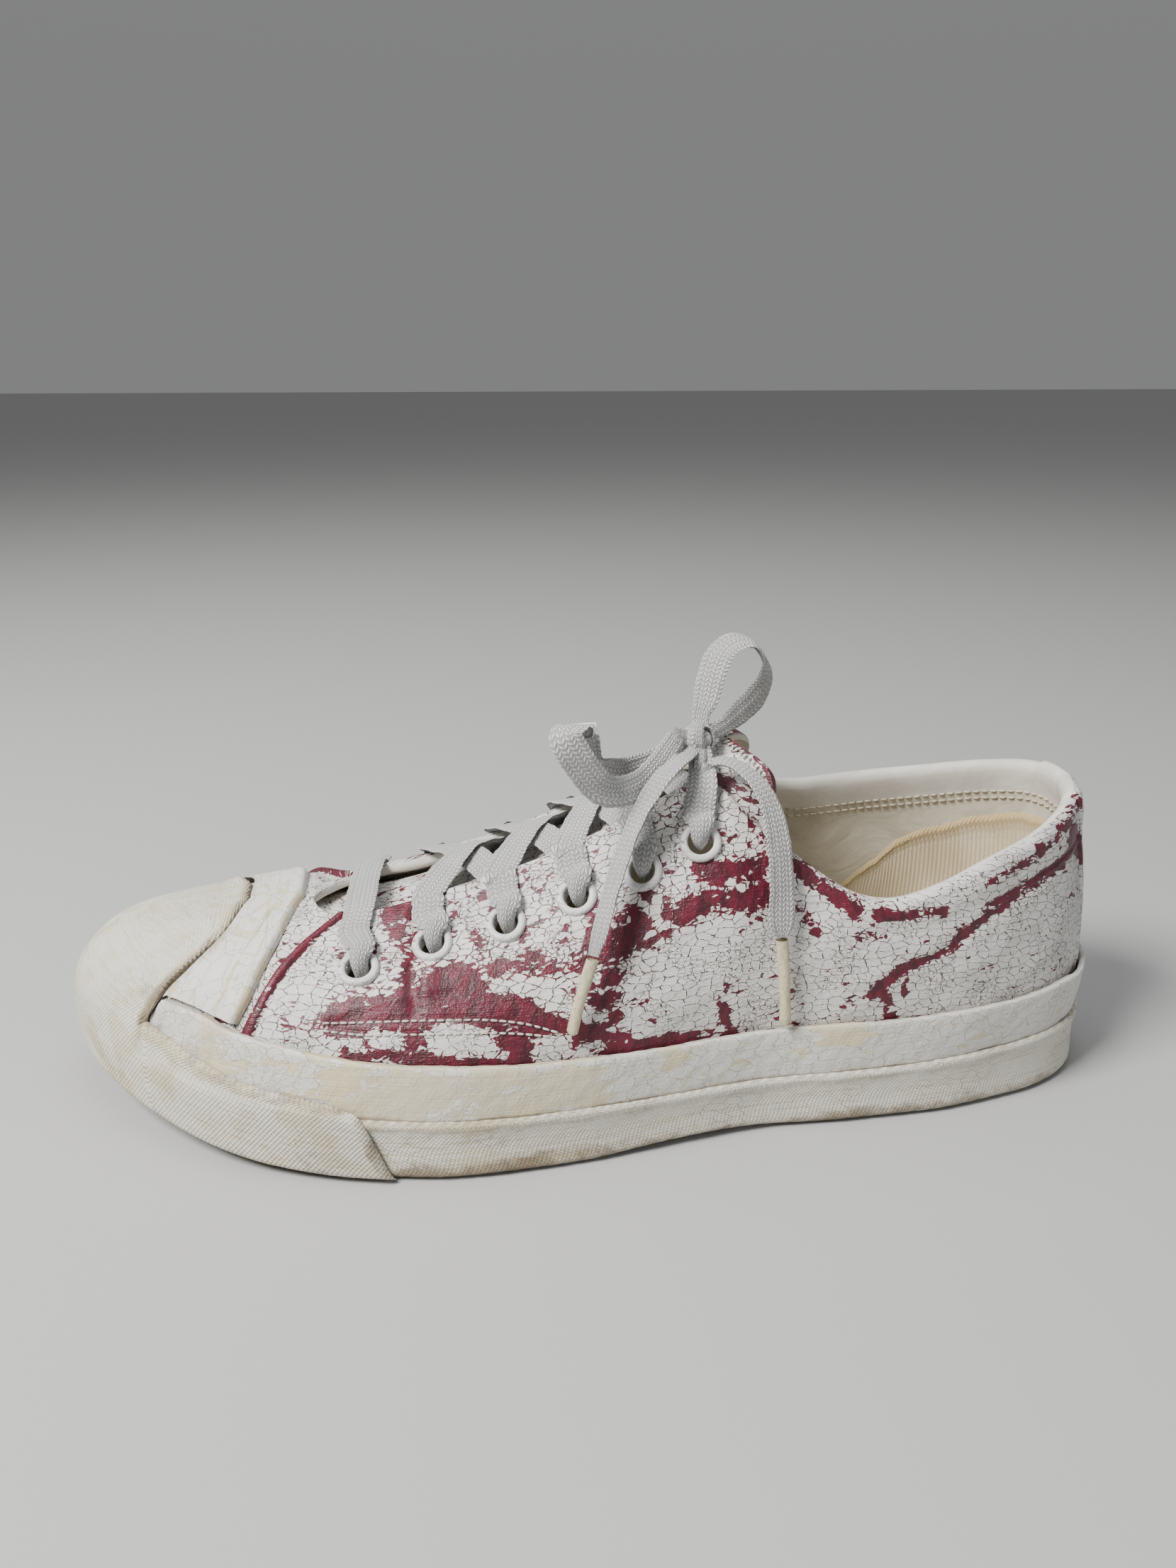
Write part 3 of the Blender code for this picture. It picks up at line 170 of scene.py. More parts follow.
# Camera: a hand-held camera at the shoe's outer side, a little above it. Its place and lens
# were worked out from the sole's outline in the photograph.
CAMERA_PLACE = (0.12413, 0.29902, 0.18849)
CAMERA_YAW, CAMERA_PITCH, CAMERA_ROLL = -0.0770, 0.3364, -0.0026
LENS = 27.11


def frame_at(x, y, z, place):
    """Matrix of a frame with the given axes at a place."""
    return Matrix([(*row, at) for row, at in zip(np.c_[x, y, z], place)] + [(0, 0, 0, 1)])


def make_camera():
    """Camera at the photograph's place."""
    yaw, pitch, roll = CAMERA_YAW, CAMERA_PITCH, CAMERA_ROLL
    forward = np.array([math.cos(pitch) * math.sin(yaw), -math.cos(pitch) * math.cos(yaw),
                        -math.sin(pitch)])
    right = np.cross(forward, (0, 0, 1.0))
    right /= np.linalg.norm(right)
    up = np.cross(right, forward)
    turned = math.cos(roll) * right + math.sin(roll) * up
    upward = math.cos(roll) * up - math.sin(roll) * right
    data = bpy.data.cameras.new("camera")
    data.lens = LENS
    data.sensor_width = 36.0
    data.clip_start, data.clip_end = 0.01, 20.0
    made = bpy.data.objects.new("camera", data)
    made.matrix_world = frame_at(turned, upward, -forward, CAMERA_PLACE)
    bpy.context.scene.collection.objects.link(made)
    bpy.context.scene.camera = made


make_camera()


# The shoe's form, as its solids have it: tables and curves of the sole and the last.
# Distances run from the back of the heel; make_mesh moves each piece to the heel's seat.
# Driving sizes of the last and the sole
LENGTH = 288.0 * MM
BALL_WIDTH = 107.0 * MM
INSTEP = 87.0 * MM
TOE_SPRING = 12.0 * MM
GAP = 0.3 * MM
SLACK = 0.6 * MM
TONGUE_SLACK = 1.9 * MM

# Walls and bands
WALL = 2.2 * MM
QUARTER_STEP = 1.2 * MM
BACKSTAY_STEP = 0.8 * MM
FEATHER_INSET = 5.2 * MM
BAND = 2.2 * MM
LIP = 1.2 * MM
RIM_ROLL = 1.3 * MM
INSOLE = 4.0 * MM
TONGUE = 3.0 * MM
CAP = 2.0 * MM
STRIP = 1.5 * MM

HALF_BALL = BALL_WIDTH / 2

# Plan outline at the sole's ridge: shares of LENGTH and of half the ball width,
# from the heel's back along the outer side to the toe, then back along the inner side
OUTLINE = [
    (0.000, -0.02), (0.010, 0.20), (0.032, 0.37), (0.072, 0.51), (0.120, 0.60),
    (0.185, 0.68), (0.262, 0.72), (0.332, 0.74), (0.380, 0.78), (0.450, 0.87),
    (0.515, 0.945), (0.580, 1.00), (0.640, 1.015), (0.700, 0.98), (0.760, 0.91),
    (0.815, 0.805), (0.870, 0.63), (0.920, 0.415), (0.958, 0.20), (0.985, -0.02),
    (0.998, -0.20), (0.9985, -0.33), (0.984, -0.47), (0.955, -0.60), (0.910, -0.735),
    (0.850, -0.87), (0.780, -0.955), (0.715, -0.965), (0.650, -0.92), (0.570, -0.81),
    (0.480, -0.68), (0.400, -0.60), (0.320, -0.59), (0.240, -0.63), (0.165, -0.65),
    (0.105, -0.59), (0.062, -0.51), (0.028, -0.38), (0.008, -0.21),
]

# Heights along the foot: shares of LENGTH, then real heights
PLATFORM = [(0.0, 13.5), (0.3, 11.5), (0.65, 10.5), (0.85, 13.0), (1.0, 18.0)]
RIDGE = [(0.0, 17.5), (0.3, 14.8), (0.6, 16.0), (0.8, 17.5), (1.0, 19.6)]
BAND_TOP = [(0.0, 31.5), (0.12, 29.8), (0.28, 28.5), (0.5, 28.3), (0.7, 31.0), (0.8, 34.5),
            (0.88, 37.0), (1.0, 36.0)]


def smooth(table, x):
    """Value at x of a smooth curve through the table's points."""
    keys, values = zip(*table)
    x = min(max(x, keys[0]), keys[-1])
    i = min(max(int(np.searchsorted(keys, x)) - 1, 0), len(keys) - 2)
    before, after = max(i - 1, 0), min(i + 2, len(keys) - 1)
    span = keys[i + 1] - keys[i]
    f = (x - keys[i]) / span
    a, b = values[i], values[i + 1]
    slope_a = (b - values[before]) / (keys[i + 1] - keys[before]) * span
    slope_b = (values[after] - a) / (keys[after] - keys[i]) * span
    return ((2 * f**3 - 3 * f**2 + 1) * a + (f**3 - 2 * f**2 + f) * slope_a
            + (3 * f**2 - 2 * f**3) * b + (f**3 - f**2) * slope_b)


def spline(table, at):
    """Rows of a table at real-valued row numbers, smooth through all of them."""
    table, at = np.asarray(table, float), np.asarray(at, float)
    last = len(table) - 1
    i = np.clip(np.floor(at).astype(int), 0, last - 1)
    grown = (slice(None),) + (None,) * (table.ndim - 1)
    f = (at - i)[grown]
    a, b = table[i], table[i + 1]
    slope_a = (b - table[np.maximum(i - 1, 0)]) / np.where(i > 0, 2, 1)[grown]
    slope_b = (table[np.minimum(i + 2, last)] - a) / np.where(i + 2 <= last, 2, 1)[grown]
    return ((2 * f**3 - 3 * f**2 + 1) * a + (f**3 - 2 * f**2 + f) * slope_a
            + (3 * f**2 - 2 * f**3) * b + (f**3 - f**2) * slope_b)


def hermite(rows, k):
    """Row of values at the real-valued row number k, smooth through all rows."""
    return spline(rows, [k])[0]


def height(table, x):
    """Height in metres of a table at the distance x from the heel's back."""
    return smooth(table, x / LENGTH) * MM


def spring(x):
    """Rise of the sole's underside towards the toe."""
    return TOE_SPRING * max(0.0, (x / LENGTH - 0.68) / 0.32) ** 2


def closed_curve(points, steps):
    """Points along a closed smooth curve through the given points."""
    pts = np.asarray(points, float)
    out = []
    for i in range(len(pts)):
        p0, p1, p2, p3 = (pts[(i + j) % len(pts)] for j in (-1, 0, 1, 2))
        for f in np.arange(steps) / steps:
            out.append(0.5 * (2 * p1 + (p2 - p0) * f + (2 * p0 - 5 * p1 + 4 * p2 - p3) * f**2
                              + (3 * p1 - p0 - 3 * p2 + p3) * f**3))
    return np.array(out)


PLAN = closed_curve([(x * LENGTH, y * HALF_BALL) for x, y in OUTLINE], 12)


def side_table(points):
    """Arc length along one side, with its points, from heel to toe."""
    steps = np.r_[0, np.cumsum(np.linalg.norm(np.diff(points, axis=0), axis=1))]
    return steps / steps[-1], points


HEEL = int(np.argmin(PLAN[:, 0]))
RING = np.roll(PLAN, -HEEL, axis=0)
TIP = int(np.argmax(RING[:, 0]))
SIDES = {1: side_table(RING[:TIP + 1]),
         -1: side_table(np.vstack([RING[:1], RING[TIP:][::-1]]))}


def share_at(side, x):
    """Share of the half perimeter at which one side reaches x."""
    shares, points = SIDES[side]
    return float(np.interp(x, np.maximum.accumulate(points[:, 0]), shares))


def plan(side, share):
    """Plan point and inward normal at a share of one side's half perimeter."""
    def at(value):
        beyond = value < 0 or value > 1
        shares, points = SIDES[-side if beyond else side]
        if beyond:
            value = -value if value < 0 else 2 - value
        return np.array([np.interp(value, shares, points[:, i]) for i in (0, 1)])

    reach = 0.022
    along = at(share + reach) - at(share - reach)
    along /= np.linalg.norm(along)
    inward = np.array([along[1], -along[0]]) * side
    return at(share), inward


# The last: one row for each station. A row holds the station of the wall's foot as a share
# of LENGTH, the top edge's point as shares of LENGTH, of half the ball width and of INSTEP,
# the slope of the surface at that edge in degrees, and the wall's fullness low and high.
COLLAR_OUTER = [
    (0.000, 0.027, -0.075, 0.903, 78, 0.34, 0.30),
    (0.012, 0.036, 0.105, 0.892, 78, 0.34, 0.30),
    (0.034, 0.058, 0.265, 0.862, 78, 0.34, 0.30),
    (0.075, 0.098, 0.415, 0.817, 78, 0.34, 0.30),
    (0.138, 0.149, 0.525, 0.768, 78, 0.34, 0.30),
    (0.190, 0.190, 0.566, 0.712, 78, 0.34, 0.30),
    (0.240, 0.231, 0.583, 0.676, 78, 0.34, 0.30),
    (0.280, 0.267, 0.568, 0.692, 76, 0.34, 0.30),
    (0.313, 0.300, 0.520, 0.755, 72, 0.36, 0.30),
    (0.340, 0.331, 0.465, 0.830, 68, 0.38, 0.30),
    (0.361, 0.355, 0.415, 0.893, 62, 0.40, 0.30),
    (0.377, 0.374, 0.362, 0.963, 57, 0.42, 0.30),
    (0.391, 0.390, 0.318, 0.999, 53, 0.42, 0.30),
    (0.407, 0.406, 0.296, 1.003, 51, 0.42, 0.30),
    (0.430, 0.424, 0.283, 0.983, 49, 0.43, 0.30),
]
COLLAR_INNER = [
    (0.000, 0.027, -0.075, 0.903, 78, 0.34, 0.30),
    (0.012, 0.031, -0.235, 0.906, 78, 0.34, 0.30),
    (0.034, 0.047, -0.385, 0.896, 78, 0.34, 0.30),
    (0.075, 0.088, -0.505, 0.873, 78, 0.34, 0.30),
    (0.138, 0.143, -0.555, 0.850, 78, 0.34, 0.30),
    (0.190, 0.192, -0.562, 0.838, 78, 0.34, 0.30),
    (0.240, 0.240, -0.542, 0.828, 78, 0.34, 0.30),
    (0.280, 0.274, -0.512, 0.825, 74, 0.34, 0.30),
    (0.313, 0.305, -0.470, 0.840, 70, 0.36, 0.30),
    (0.340, 0.334, -0.422, 0.874, 66, 0.38, 0.30),
    (0.361, 0.358, -0.376, 0.922, 61, 0.40, 0.30),
    (0.377, 0.375, -0.338, 0.973, 57, 0.42, 0.30),
    (0.391, 0.390, -0.305, 0.998, 53, 0.42, 0.30),
    (0.407, 0.406, -0.288, 1.000, 51, 0.42, 0.30),
    (0.430, 0.424, -0.280, 0.982, 49, 0.43, 0.30),
]
THROAT = [
    (0.484, 0.477, 0.280, 0.884, 45, 0.45, 0.31),
    (0.553, 0.549, 0.272, 0.774, 40, 0.48, 0.32),
    (0.616, 0.614, 0.272, 0.703, 36, 0.52, 0.33),
    (0.668, 0.660, 0.280, 0.657, 32, 0.55, 0.34),
    (0.712, 0.700, 0.285, 0.626, 27, 0.58, 0.35),
    (0.745, 0.730, 0.235, 0.611, 18, 0.58, 0.36),
    (0.772, 0.750, 0.120, 0.609, 9, 0.58, 0.37),
]
# The ridge of the vamp: station on the outer side, on the inner side, then as above
TOE_RIDGE = [
    (0.796, 0.800, 0.762, -0.010, 0.608, 0.58, 0.38),
    (0.828, 0.836, 0.790, -0.030, 0.594, 0.58, 0.40),
    (0.862, 0.876, 0.824, -0.058, 0.577, 0.58, 0.43),
    (0.898, 0.915, 0.858, -0.092, 0.566, 0.57, 0.46),
    (0.932, 0.948, 0.890, -0.126, 0.552, 0.56, 0.48),
    (0.963, 0.972, 0.917, -0.156, 0.532, 0.55, 0.50),
    (0.986, 0.989, 0.936, -0.180, 0.510, 0.54, 0.51),
    (1.000, 1.000, 0.945, -0.195, 0.494, 0.53, 0.52),
]
FIRST_RIDGE_ROW = len(COLLAR_OUTER) + len(THROAT)
LAST_ROW = FIRST_RIDGE_ROW + len(TOE_RIDGE) - 1.0
LEAN = [(0.0, 9.0), (0.10, 9.0), (0.3, 3.0), (0.6, 7.0), (0.8, 9.0), (1.0, 6.0)]


def last_rows(side):
    """Rows of one side: share of the half perimeter, top point, slope and fullness."""
    rows = []
    collar = COLLAR_OUTER if side > 0 else COLLAR_INNER
    for foot, x, y, z, slope, low, high in collar:
        rows.append((share_at(side, foot * LENGTH), x * LENGTH, y * HALF_BALL, z * INSTEP,
                     slope, low, high))
    for foot, x, y, z, slope, low, high in THROAT:
        rows.append((share_at(side, foot * LENGTH), x * LENGTH, side * y * HALF_BALL,
                     z * INSTEP, slope, low, high))
    for outer, inner, x, y, z, low, high in TOE_RIDGE:
        foot = outer if side > 0 else inner
        rows.append((share_at(side, foot * LENGTH), x * LENGTH, y * HALF_BALL, z * INSTEP,
                     0.0, low, high))
    rows[-1] = (1.0,) + rows[-1][1:]
    rows[0] = (0.0,) + rows[0][1:]
    return np.array(rows)


ROWS = {1: last_rows(1), -1: last_rows(-1)}


def ridge_slope(k):
    """Rise of the vamp's ridge for each metre towards the toe."""
    a = hermite(ROWS[1], max(k - 0.5, FIRST_RIDGE_ROW))
    b = hermite(ROWS[1], min(k + 0.5, LAST_ROW))
    return (b[3] - a[3]) / (b[1] - a[1])


# The last as a surface: k counts its rows from heel to toe, t runs up the wall from its
# foot at 0 to its top edge or the vamp's ridge at 1. Arrays go in and come out.
DENSE = 0.01


def control_rows(side):
    """Bezier points of the wall's section at evenly spaced row numbers."""
    out = []
    for k in np.arange(0, LAST_ROW + DENSE / 2, DENSE):
        share, top_x, top_y, top_z, slope, low, high = hermite(ROWS[side], k)
        at, inward = plan(side, min(max(share, 0.0), 1.0))
        foot = np.array([*(at + inward * FEATHER_INSET), height(PLATFORM, at[0])])
        top = np.array([top_x, top_y, top_z])
        reach = np.linalg.norm(top - foot)
        lean = math.radians(smooth(LEAN, at[0] / LENGTH))
        rise = np.array([*(-math.sin(lean) * inward), math.cos(lean)])
        if k >= FIRST_RIDGE_ROW:
            into = np.array([*inward, inward[0] * ridge_slope(k)])
        else:
            near = min(max(k - (FIRST_RIDGE_ROW - 1), 0.0), 1.0)
            angle = math.radians(slope)
            into = np.array([*(math.cos(angle) * inward), math.sin(angle)])
            ridge = np.array([*inward, inward[0] * ridge_slope(FIRST_RIDGE_ROW)])
            into = into * (1 - near) + ridge * near
        into /= np.linalg.norm(into)
        out.append(np.r_[foot, foot + low * reach * rise, top - high * reach * into, top])
    return np.array(out)


CONTROL = {side: control_rows(side) for side in (1, -1)}


def surface(side, k, t):
    """Points of the last."""
    k, t = np.broadcast_arrays(np.asarray(k, float), np.asarray(t, float))
    table = CONTROL[side]
    at = np.clip(k, 0, LAST_ROW) / DENSE
    i = np.minimum(at.astype(int), len(table) - 2)
    f = (at - i)[..., None]
    rows = table[i] * (1 - f) + table[i + 1] * f
    t = t[..., None]
    return ((1 - t)**3 * rows[..., 0:3] + 3 * (1 - t)**2 * t * rows[..., 3:6]
            + 3 * (1 - t) * t**2 * rows[..., 6:9] + t**3 * rows[..., 9:12])


def unit(v):
    """Vectors of length one."""
    return v / np.maximum(np.linalg.norm(v, axis=-1, keepdims=True), 1e-12)


def normals(side, k, t):
    """Outward normals of the last."""
    k, t = np.broadcast_arrays(np.asarray(k, float), np.asarray(t, float))
    ka, kb = np.maximum(k - 0.03, 0.0), np.minimum(k + 0.03, LAST_ROW)
    ta, tb = np.maximum(t - 0.01, 0.0), np.minimum(t + 0.01, 1.0)
    along = surface(side, kb, t) - surface(side, ka, t)
    up = surface(side, k, tb) - surface(side, k, ta)
    heel = (ka == 0.0)[..., None]
    along = np.where(heel, surface(side, kb, t) - surface(-side, kb, t), along)
    tip = (kb == LAST_ROW)[..., None]
    below = np.minimum(t, 0.96)
    along = np.where(tip, surface(-side, ka, below) - surface(side, ka, below), along)
    return unit(np.cross(up, along) * side)


def offset(side, k, t, out, flat_foot=False):
    """Points at a distance outside the last; both sides meet on the ridge and at the ends."""
    k, t, out = np.broadcast_arrays(np.asarray(k, float), np.asarray(t, float),
                                    np.asarray(out, float))
    own = normals(side, k, t)
    both = unit(normals(1, k, t) + normals(-1, k, t))
    seam = ((t >= 1.0) & (k >= FIRST_RIDGE_ROW)) | (k <= 0.0) | (k >= LAST_ROW)
    normal = np.where(seam[..., None], both, own)
    if flat_foot:
        normal = np.where((t <= 0.0)[..., None], normal * [1, 1, 0], normal)
        normal = unit(normal)
    return surface(side, k, t) + out[..., None] * normal


def t_at_distance(side, k, distance):
    """Parameter t of the point that lies a distance below the top edge, along the wall."""
    steps = np.linspace(1.0, 0.0, 81)
    points = surface(side, np.full(81, float(k)), steps)
    gone = np.r_[0, np.cumsum(np.linalg.norm(np.diff(points, axis=0), axis=1))]
    return float(np.interp(distance, gone, steps))


def t_at_height(side, k, z):
    """Parameter t at which the column k reaches the height z."""
    steps = np.linspace(0.0, 1.0, 161)
    points = surface(side, np.full(161, float(k)), steps)
    return float(np.interp(z, np.maximum.accumulate(points[:, 2]), steps))


def find_row(low, high, ahead):
    """Row number between low and high up to which ahead(k) holds."""
    for _ in range(30):
        k = (low + high) / 2
        low, high = (k, high) if ahead(k) else (low, k)
    return k


def even_rows(side, t, count, low=0.0, high=None, extra=()):
    """Row numbers that are evenly spaced along the last at t, with some more of them."""
    high = LAST_ROW if high is None else high
    dense = np.linspace(low, high, 1500)
    points = surface(side, dense, np.full(1500, t))
    gone = np.r_[0, np.cumsum(np.linalg.norm(np.diff(points, axis=0), axis=1))]
    rows = np.interp(np.linspace(0, gone[-1], count), gone, dense)
    rows = [k for k in rows if not extra or min(abs(k - e) for e in extra) > 0.04]
    return np.array(sorted(set(rows) | set(extra)))


def ramp(value, low, high):
    """Smooth step from 0 at low to 1 at high."""
    f = np.clip((value - low) / (high - low), 0.0, 1.0)
    return f * f * (3 - 2 * f)


def fall(value, low, high):
    """Smooth step from 1 at low to 0 at high."""
    return 1 - ramp(value, low, high)


def near_line(x, z, line):
    """Distance in millimetres from points to a line of (x, z) places."""
    best = np.full(np.shape(x), 1e9)
    for (ax, az), (bx, bz) in zip(line, line[1:]):
        dx, dz = bx - ax, bz - az
        f = np.clip(((x - ax) * dx + (z - az) * dz) / (dx * dx + dz * dz + 1e-9), 0, 1)
        best = np.minimum(best, np.hypot(x - ax - f * dx, z - az - f * dz))
    return best


# Meshes from grids: points by column and row, coordinates along the surface in metres for
# the patterns, and named values for wear and dirt.
def arc_coordinates(grid, middle=0):
    """Distances along the rows and the columns of a grid of points."""
    across = np.linalg.norm(np.diff(grid, axis=0), axis=2)
    u = np.vstack([np.zeros((1, grid.shape[1])), np.cumsum(across, axis=0)])
    u = u - u[middle]
    up = np.linalg.norm(np.diff(grid, axis=1), axis=2)
    v = np.hstack([np.zeros((grid.shape[0], 1)), np.cumsum(up, axis=1)])
    return np.stack([u, v], axis=-1)


def grid_faces(columns, rows, closed=False):
    """Corner numbers of a grid's faces."""
    last = columns if closed else columns - 1
    c, r = np.meshgrid(np.arange(last), np.arange(rows - 1), indexing="ij")
    a = (c * rows + r).ravel()
    b = (((c + 1) % columns) * rows + r).ravel()
    return np.stack([a, b, b + 1, a + 1], axis=1)


def make_mesh(name, points, faces, uv, materials, values=None, which=None, merge=0.0,
              angle=50):
    """Object in row axes from shoe-axis points, with coordinates, values and slots."""
    mesh = bpy.data.meshes.new(name)
    moved = np.asarray(points, float).reshape(-1, 3) - (HEEL_SEAT, 0, 0)
    mesh.from_pydata(moved.tolist(), [], [list(map(int, f)) for f in faces])
    layer = mesh.uv_layers.new(name="along")
    corners = np.zeros(len(mesh.loops), int)
    mesh.loops.foreach_get("vertex_index", corners)
    layer.data.foreach_set("uv", np.asarray(uv, float).reshape(-1, 2)[corners].ravel())
    for key, value in (values or {}).items():
        made = mesh.attributes.new(key, 'FLOAT', 'POINT')
        made.data.foreach_set("value", np.asarray(value, float).ravel())
    for slot in materials:
        mesh.materials.append(slot)
    if which is not None:
        mesh.polygons.foreach_set("material_index", np.asarray(which, int))
    bm = bmesh.new()
    bm.from_mesh(mesh)
    if merge:
        bmesh.ops.remove_doubles(bm, verts=bm.verts, dist=merge)
    bmesh.ops.recalc_face_normals(bm, faces=bm.faces)
    bm.to_mesh(mesh)
    bm.free()
    mesh.shade_smooth()
    mesh.set_sharp_from_angle(angle=math.radians(angle))
    made = bpy.data.objects.new(name, mesh)
    bpy.context.scene.collection.objects.link(made)
    return made


def skin_piece(name, grid, uv, material, slot, *nodes, merge=0.0, **values):
    """Piece from a grid of points, with its values, dressed over its solids."""
    piece = make_mesh(name, grid, grid_faces(*grid.shape[:2]), uv, [material], values,
                      merge=merge)
    return dressed(piece, slot, *nodes)


def dressed(piece, slot, *nodes):
    """Let a piece ride on the shoe, take a finish slot and stand for its solids."""
    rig.ride(piece, "root")
    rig.slot(piece, slot)
    if nodes:
        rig.replaces(piece, *nodes)
    return piece


# Upper: low quarters and a vamp of grained maroon leather, sewn over the last and painted
# white by hand, with a piped front edge, a padded collar and a pale leather lining. Dry paint
# has cracked and come off at the bends. Wear, creases and seams lie in row millimetres.
class Signal:
    """A node's output; sums and products of signals are math nodes of their tree."""

    def __init__(self, tree, made, place=0):
        self.tree, self.socket = tree, made.outputs[place]

    def __add__(self, other):
        return calc('ADD', self, other)

    def __sub__(self, other):
        return calc('SUBTRACT', self, other)

    def __mul__(self, other):
        return calc('MULTIPLY', self, other)

    def __truediv__(self, other):
        return calc('DIVIDE', self, other)

    def __rsub__(self, other):
        return calc('SUBTRACT', other, self)

    def __rtruediv__(self, other):
        return calc('DIVIDE', other, self)

    __radd__, __rmul__ = __add__, __mul__


def feed(tree, socket, value):
    """Link a signal to an input, or set its value."""
    if isinstance(value, Signal):
        tree.links.new(value.socket, socket)
    else:
        socket.default_value = value


def add_node(tree, kind, settings=None, **inputs):
    """New node with its settings, and values or signals for its inputs; i2 is input 2."""
    made = tree.nodes.new(kind)
    for key, value in (settings or {}).items():
        setattr(made, key, value)
    for key, value in inputs.items():
        feed(tree, made.inputs[int(key[1:]) if key[1:].isdigit() else key], value)
    return made


def calc(operation, *values):
    """Result of a math node on signals and numbers."""
    tree = next(value.tree for value in values if isinstance(value, Signal))
    inputs = {f"i{n}": value for n, value in enumerate(values)}
    return Signal(tree, add_node(tree, "ShaderNodeMath", {"operation": operation}, **inputs))


def blend(factor, a, b):
    """Mix of two colours."""
    colours = [(*v, 1) if isinstance(v, tuple) else v for v in (a, b)]
    return Signal(factor.tree, add_node(factor.tree, "ShaderNodeMix", {"data_type": 'RGBA'},
                                        i0=factor, i6=colours[0], i7=colours[1]), 2)


def between(value, low, high, a=0.0, b=1.0):
    """Value mapped smoothly from low..high to a..b."""
    return Signal(value.tree, add_node(
        value.tree, "ShaderNodeMapRange", {"interpolation_type": 'SMOOTHSTEP'},
        i0=value, i1=low, i2=high, i3=a, i4=b))


def stretched(vector, across, along):
    """Coordinates scaled by two numbers, as a pattern's own space."""
    return Signal(vector.tree, add_node(vector.tree, "ShaderNodeVectorMath", {
        "operation": 'MULTIPLY'}, i0=vector, i1=(across, along, 1.0)))


def noise(vector, scale=1.0, detail=2.0, rough=0.5, distort=0.0):
    """Fractal noise, mostly between 0.3 and 0.7."""
    return Signal(vector.tree, add_node(
        vector.tree, "ShaderNodeTexNoise", Vector=vector, Scale=scale, Detail=detail,
        Roughness=rough, Distortion=distort), "Fac")


def cells(vector, scale, randomness, edges=True, flat=True):
    """Distance to the edges of random cells, or else each cell's random number."""
    settings = {"voronoi_dimensions": '2D' if flat else '3D'}
    if edges:
        settings["feature"] = 'DISTANCE_TO_EDGE'
    made = add_node(vector.tree, "ShaderNodeTexVoronoi", settings, Vector=vector, Scale=scale,
                    Randomness=randomness)
    if edges:
        return Signal(vector.tree, made, "Distance")
    colour = Signal(vector.tree, made, "Color")
    return Signal(vector.tree, add_node(vector.tree, "ShaderNodeSeparateColor", Color=colour))


def new_group(name, inputs, outputs):
    """Node group with a Place and named numbers as inputs, and what fills its outputs."""
    tree = bpy.data.node_groups.new(name, 'ShaderNodeTree')
    tree.interface.new_socket(name="Place", in_out='INPUT', socket_type='NodeSocketVector')
    for label, value in inputs.items():
        made = tree.interface.new_socket(name=label, in_out='INPUT', socket_type='NodeSocketFloat')
        made.default_value = value
    for label in outputs:
        tree.interface.new_socket(name=label, in_out='OUTPUT', socket_type='NodeSocketFloat')
    given, made = tree.nodes.new("NodeGroupInput"), tree.nodes.new("NodeGroupOutput")
    signals = [Signal(tree, given, label) for label in ("Place", *inputs)]

    def close(*values):
        for label, value in zip(outputs, values):
            tree.links.new(value.socket, made.inputs[label])
        return tree

    return (close, *signals)


def flaking_group():
    """Dry paint in cracked polygons, which come off where Wear is high."""
    close, place, wear, cell, crack = new_group(
        "flaking_paint", {"Wear": 0.2, "Cell": 0.003, "Crack": 0.00009},
        ("Paint", "Line", "Edge"))
    tree = place.tree
    warp = add_node(tree, "ShaderNodeTexNoise", Vector=place, Scale=420.0, Detail=2.0)
    bent = add_node(tree, "ShaderNodeVectorMath", {"operation": 'MULTIPLY_ADD'},
                    i0=Signal(tree, warp, "Color"), i1=(0.0011, 0.0011, 0.0), i2=place)
    polygons = add_node(tree, "ShaderNodeVectorMath", {"operation": 'SCALE'},
                        i0=Signal(tree, bent), Scale=1.0 / cell)
    polygons = stretched(Signal(tree, polygons), 0.80, 1.28)
    total, lines = 0.0, []
    for scale, weight in ((0.42, 0.30), (1.0, 0.36), (2.1, 0.34)):
        total = cells(polygons, scale, 0.8, edges=False) * weight + total
        lines.append(cells(polygons, scale, 0.8) * (cell / scale))
    broad = noise(stretched(place, 120.0, 340.0), 1.0, 3.0, 0.6)
    level = wear * 0.80 + 0.10 + (broad * 0.62 - 0.31)
    present = between(total - level, -0.006, 0.006)
    ragged = crack * (wear * 3.2 + 0.55) * between(noise(place, 900.0), 0.35, 0.65, 0.3, 1.6)
    line = 1.0 - between(lines[1] / ragged, 0.5, 1.2)
    some = between(noise(place, 120.0), 0.48, 0.58)
    thin = some * (1.0 - between(lines[2] / ragged, 0.3, 0.9))
    cracks = calc('MAXIMUM', line, thin)
    return close(present * (1.0 - cracks), cracks, between(lines[1], 0.0, 0.0006, 1.0, 0.0))


def brush_group():
    """Fine ridges that the brush left along the shoe."""
    close, place = new_group("brush_lines", {}, ("Ridge",))
    fine = noise(stretched(place, 40.0, 2600.0), 1.0, 2.0, 0.6)
    broad = noise(stretched(place, 25.0, 800.0), 1.0, 2.0, 0.6)
    return close(between(fine * 0.6 + broad * 0.4, 0.3, 0.7))


def grime_and_shade_group():
    """Dirt, and painted shade along edges, in patches where that input is high."""
    close, place, dirt = new_group("grime", {"Dirt": 0.2}, ("Stain_and_shade", "Speck"))
    mixed = noise(place, 45.0, 5.0, 0.62) * 0.65 + noise(place, 260.0, 4.0, 0.65) * 0.35
    low = dirt * -0.38 + 0.70
    stain_and_shade = between(mixed, low, low + 0.22) * between(dirt, 0.0, 0.15)
    return close(stain_and_shade, between(noise(place, 1500.0, 1.0), 0.66, 0.74) * dirt)


FLAKING, BRUSH, GRIME_AND_SHADE = flaking_group(), brush_group(), grime_and_shade_group()
# Brown of the dirt, which also stands for painted shade along the cap's and the strip's edges.
DIRT_AND_SHADE_BROWN = (0.20, 0.145, 0.085)


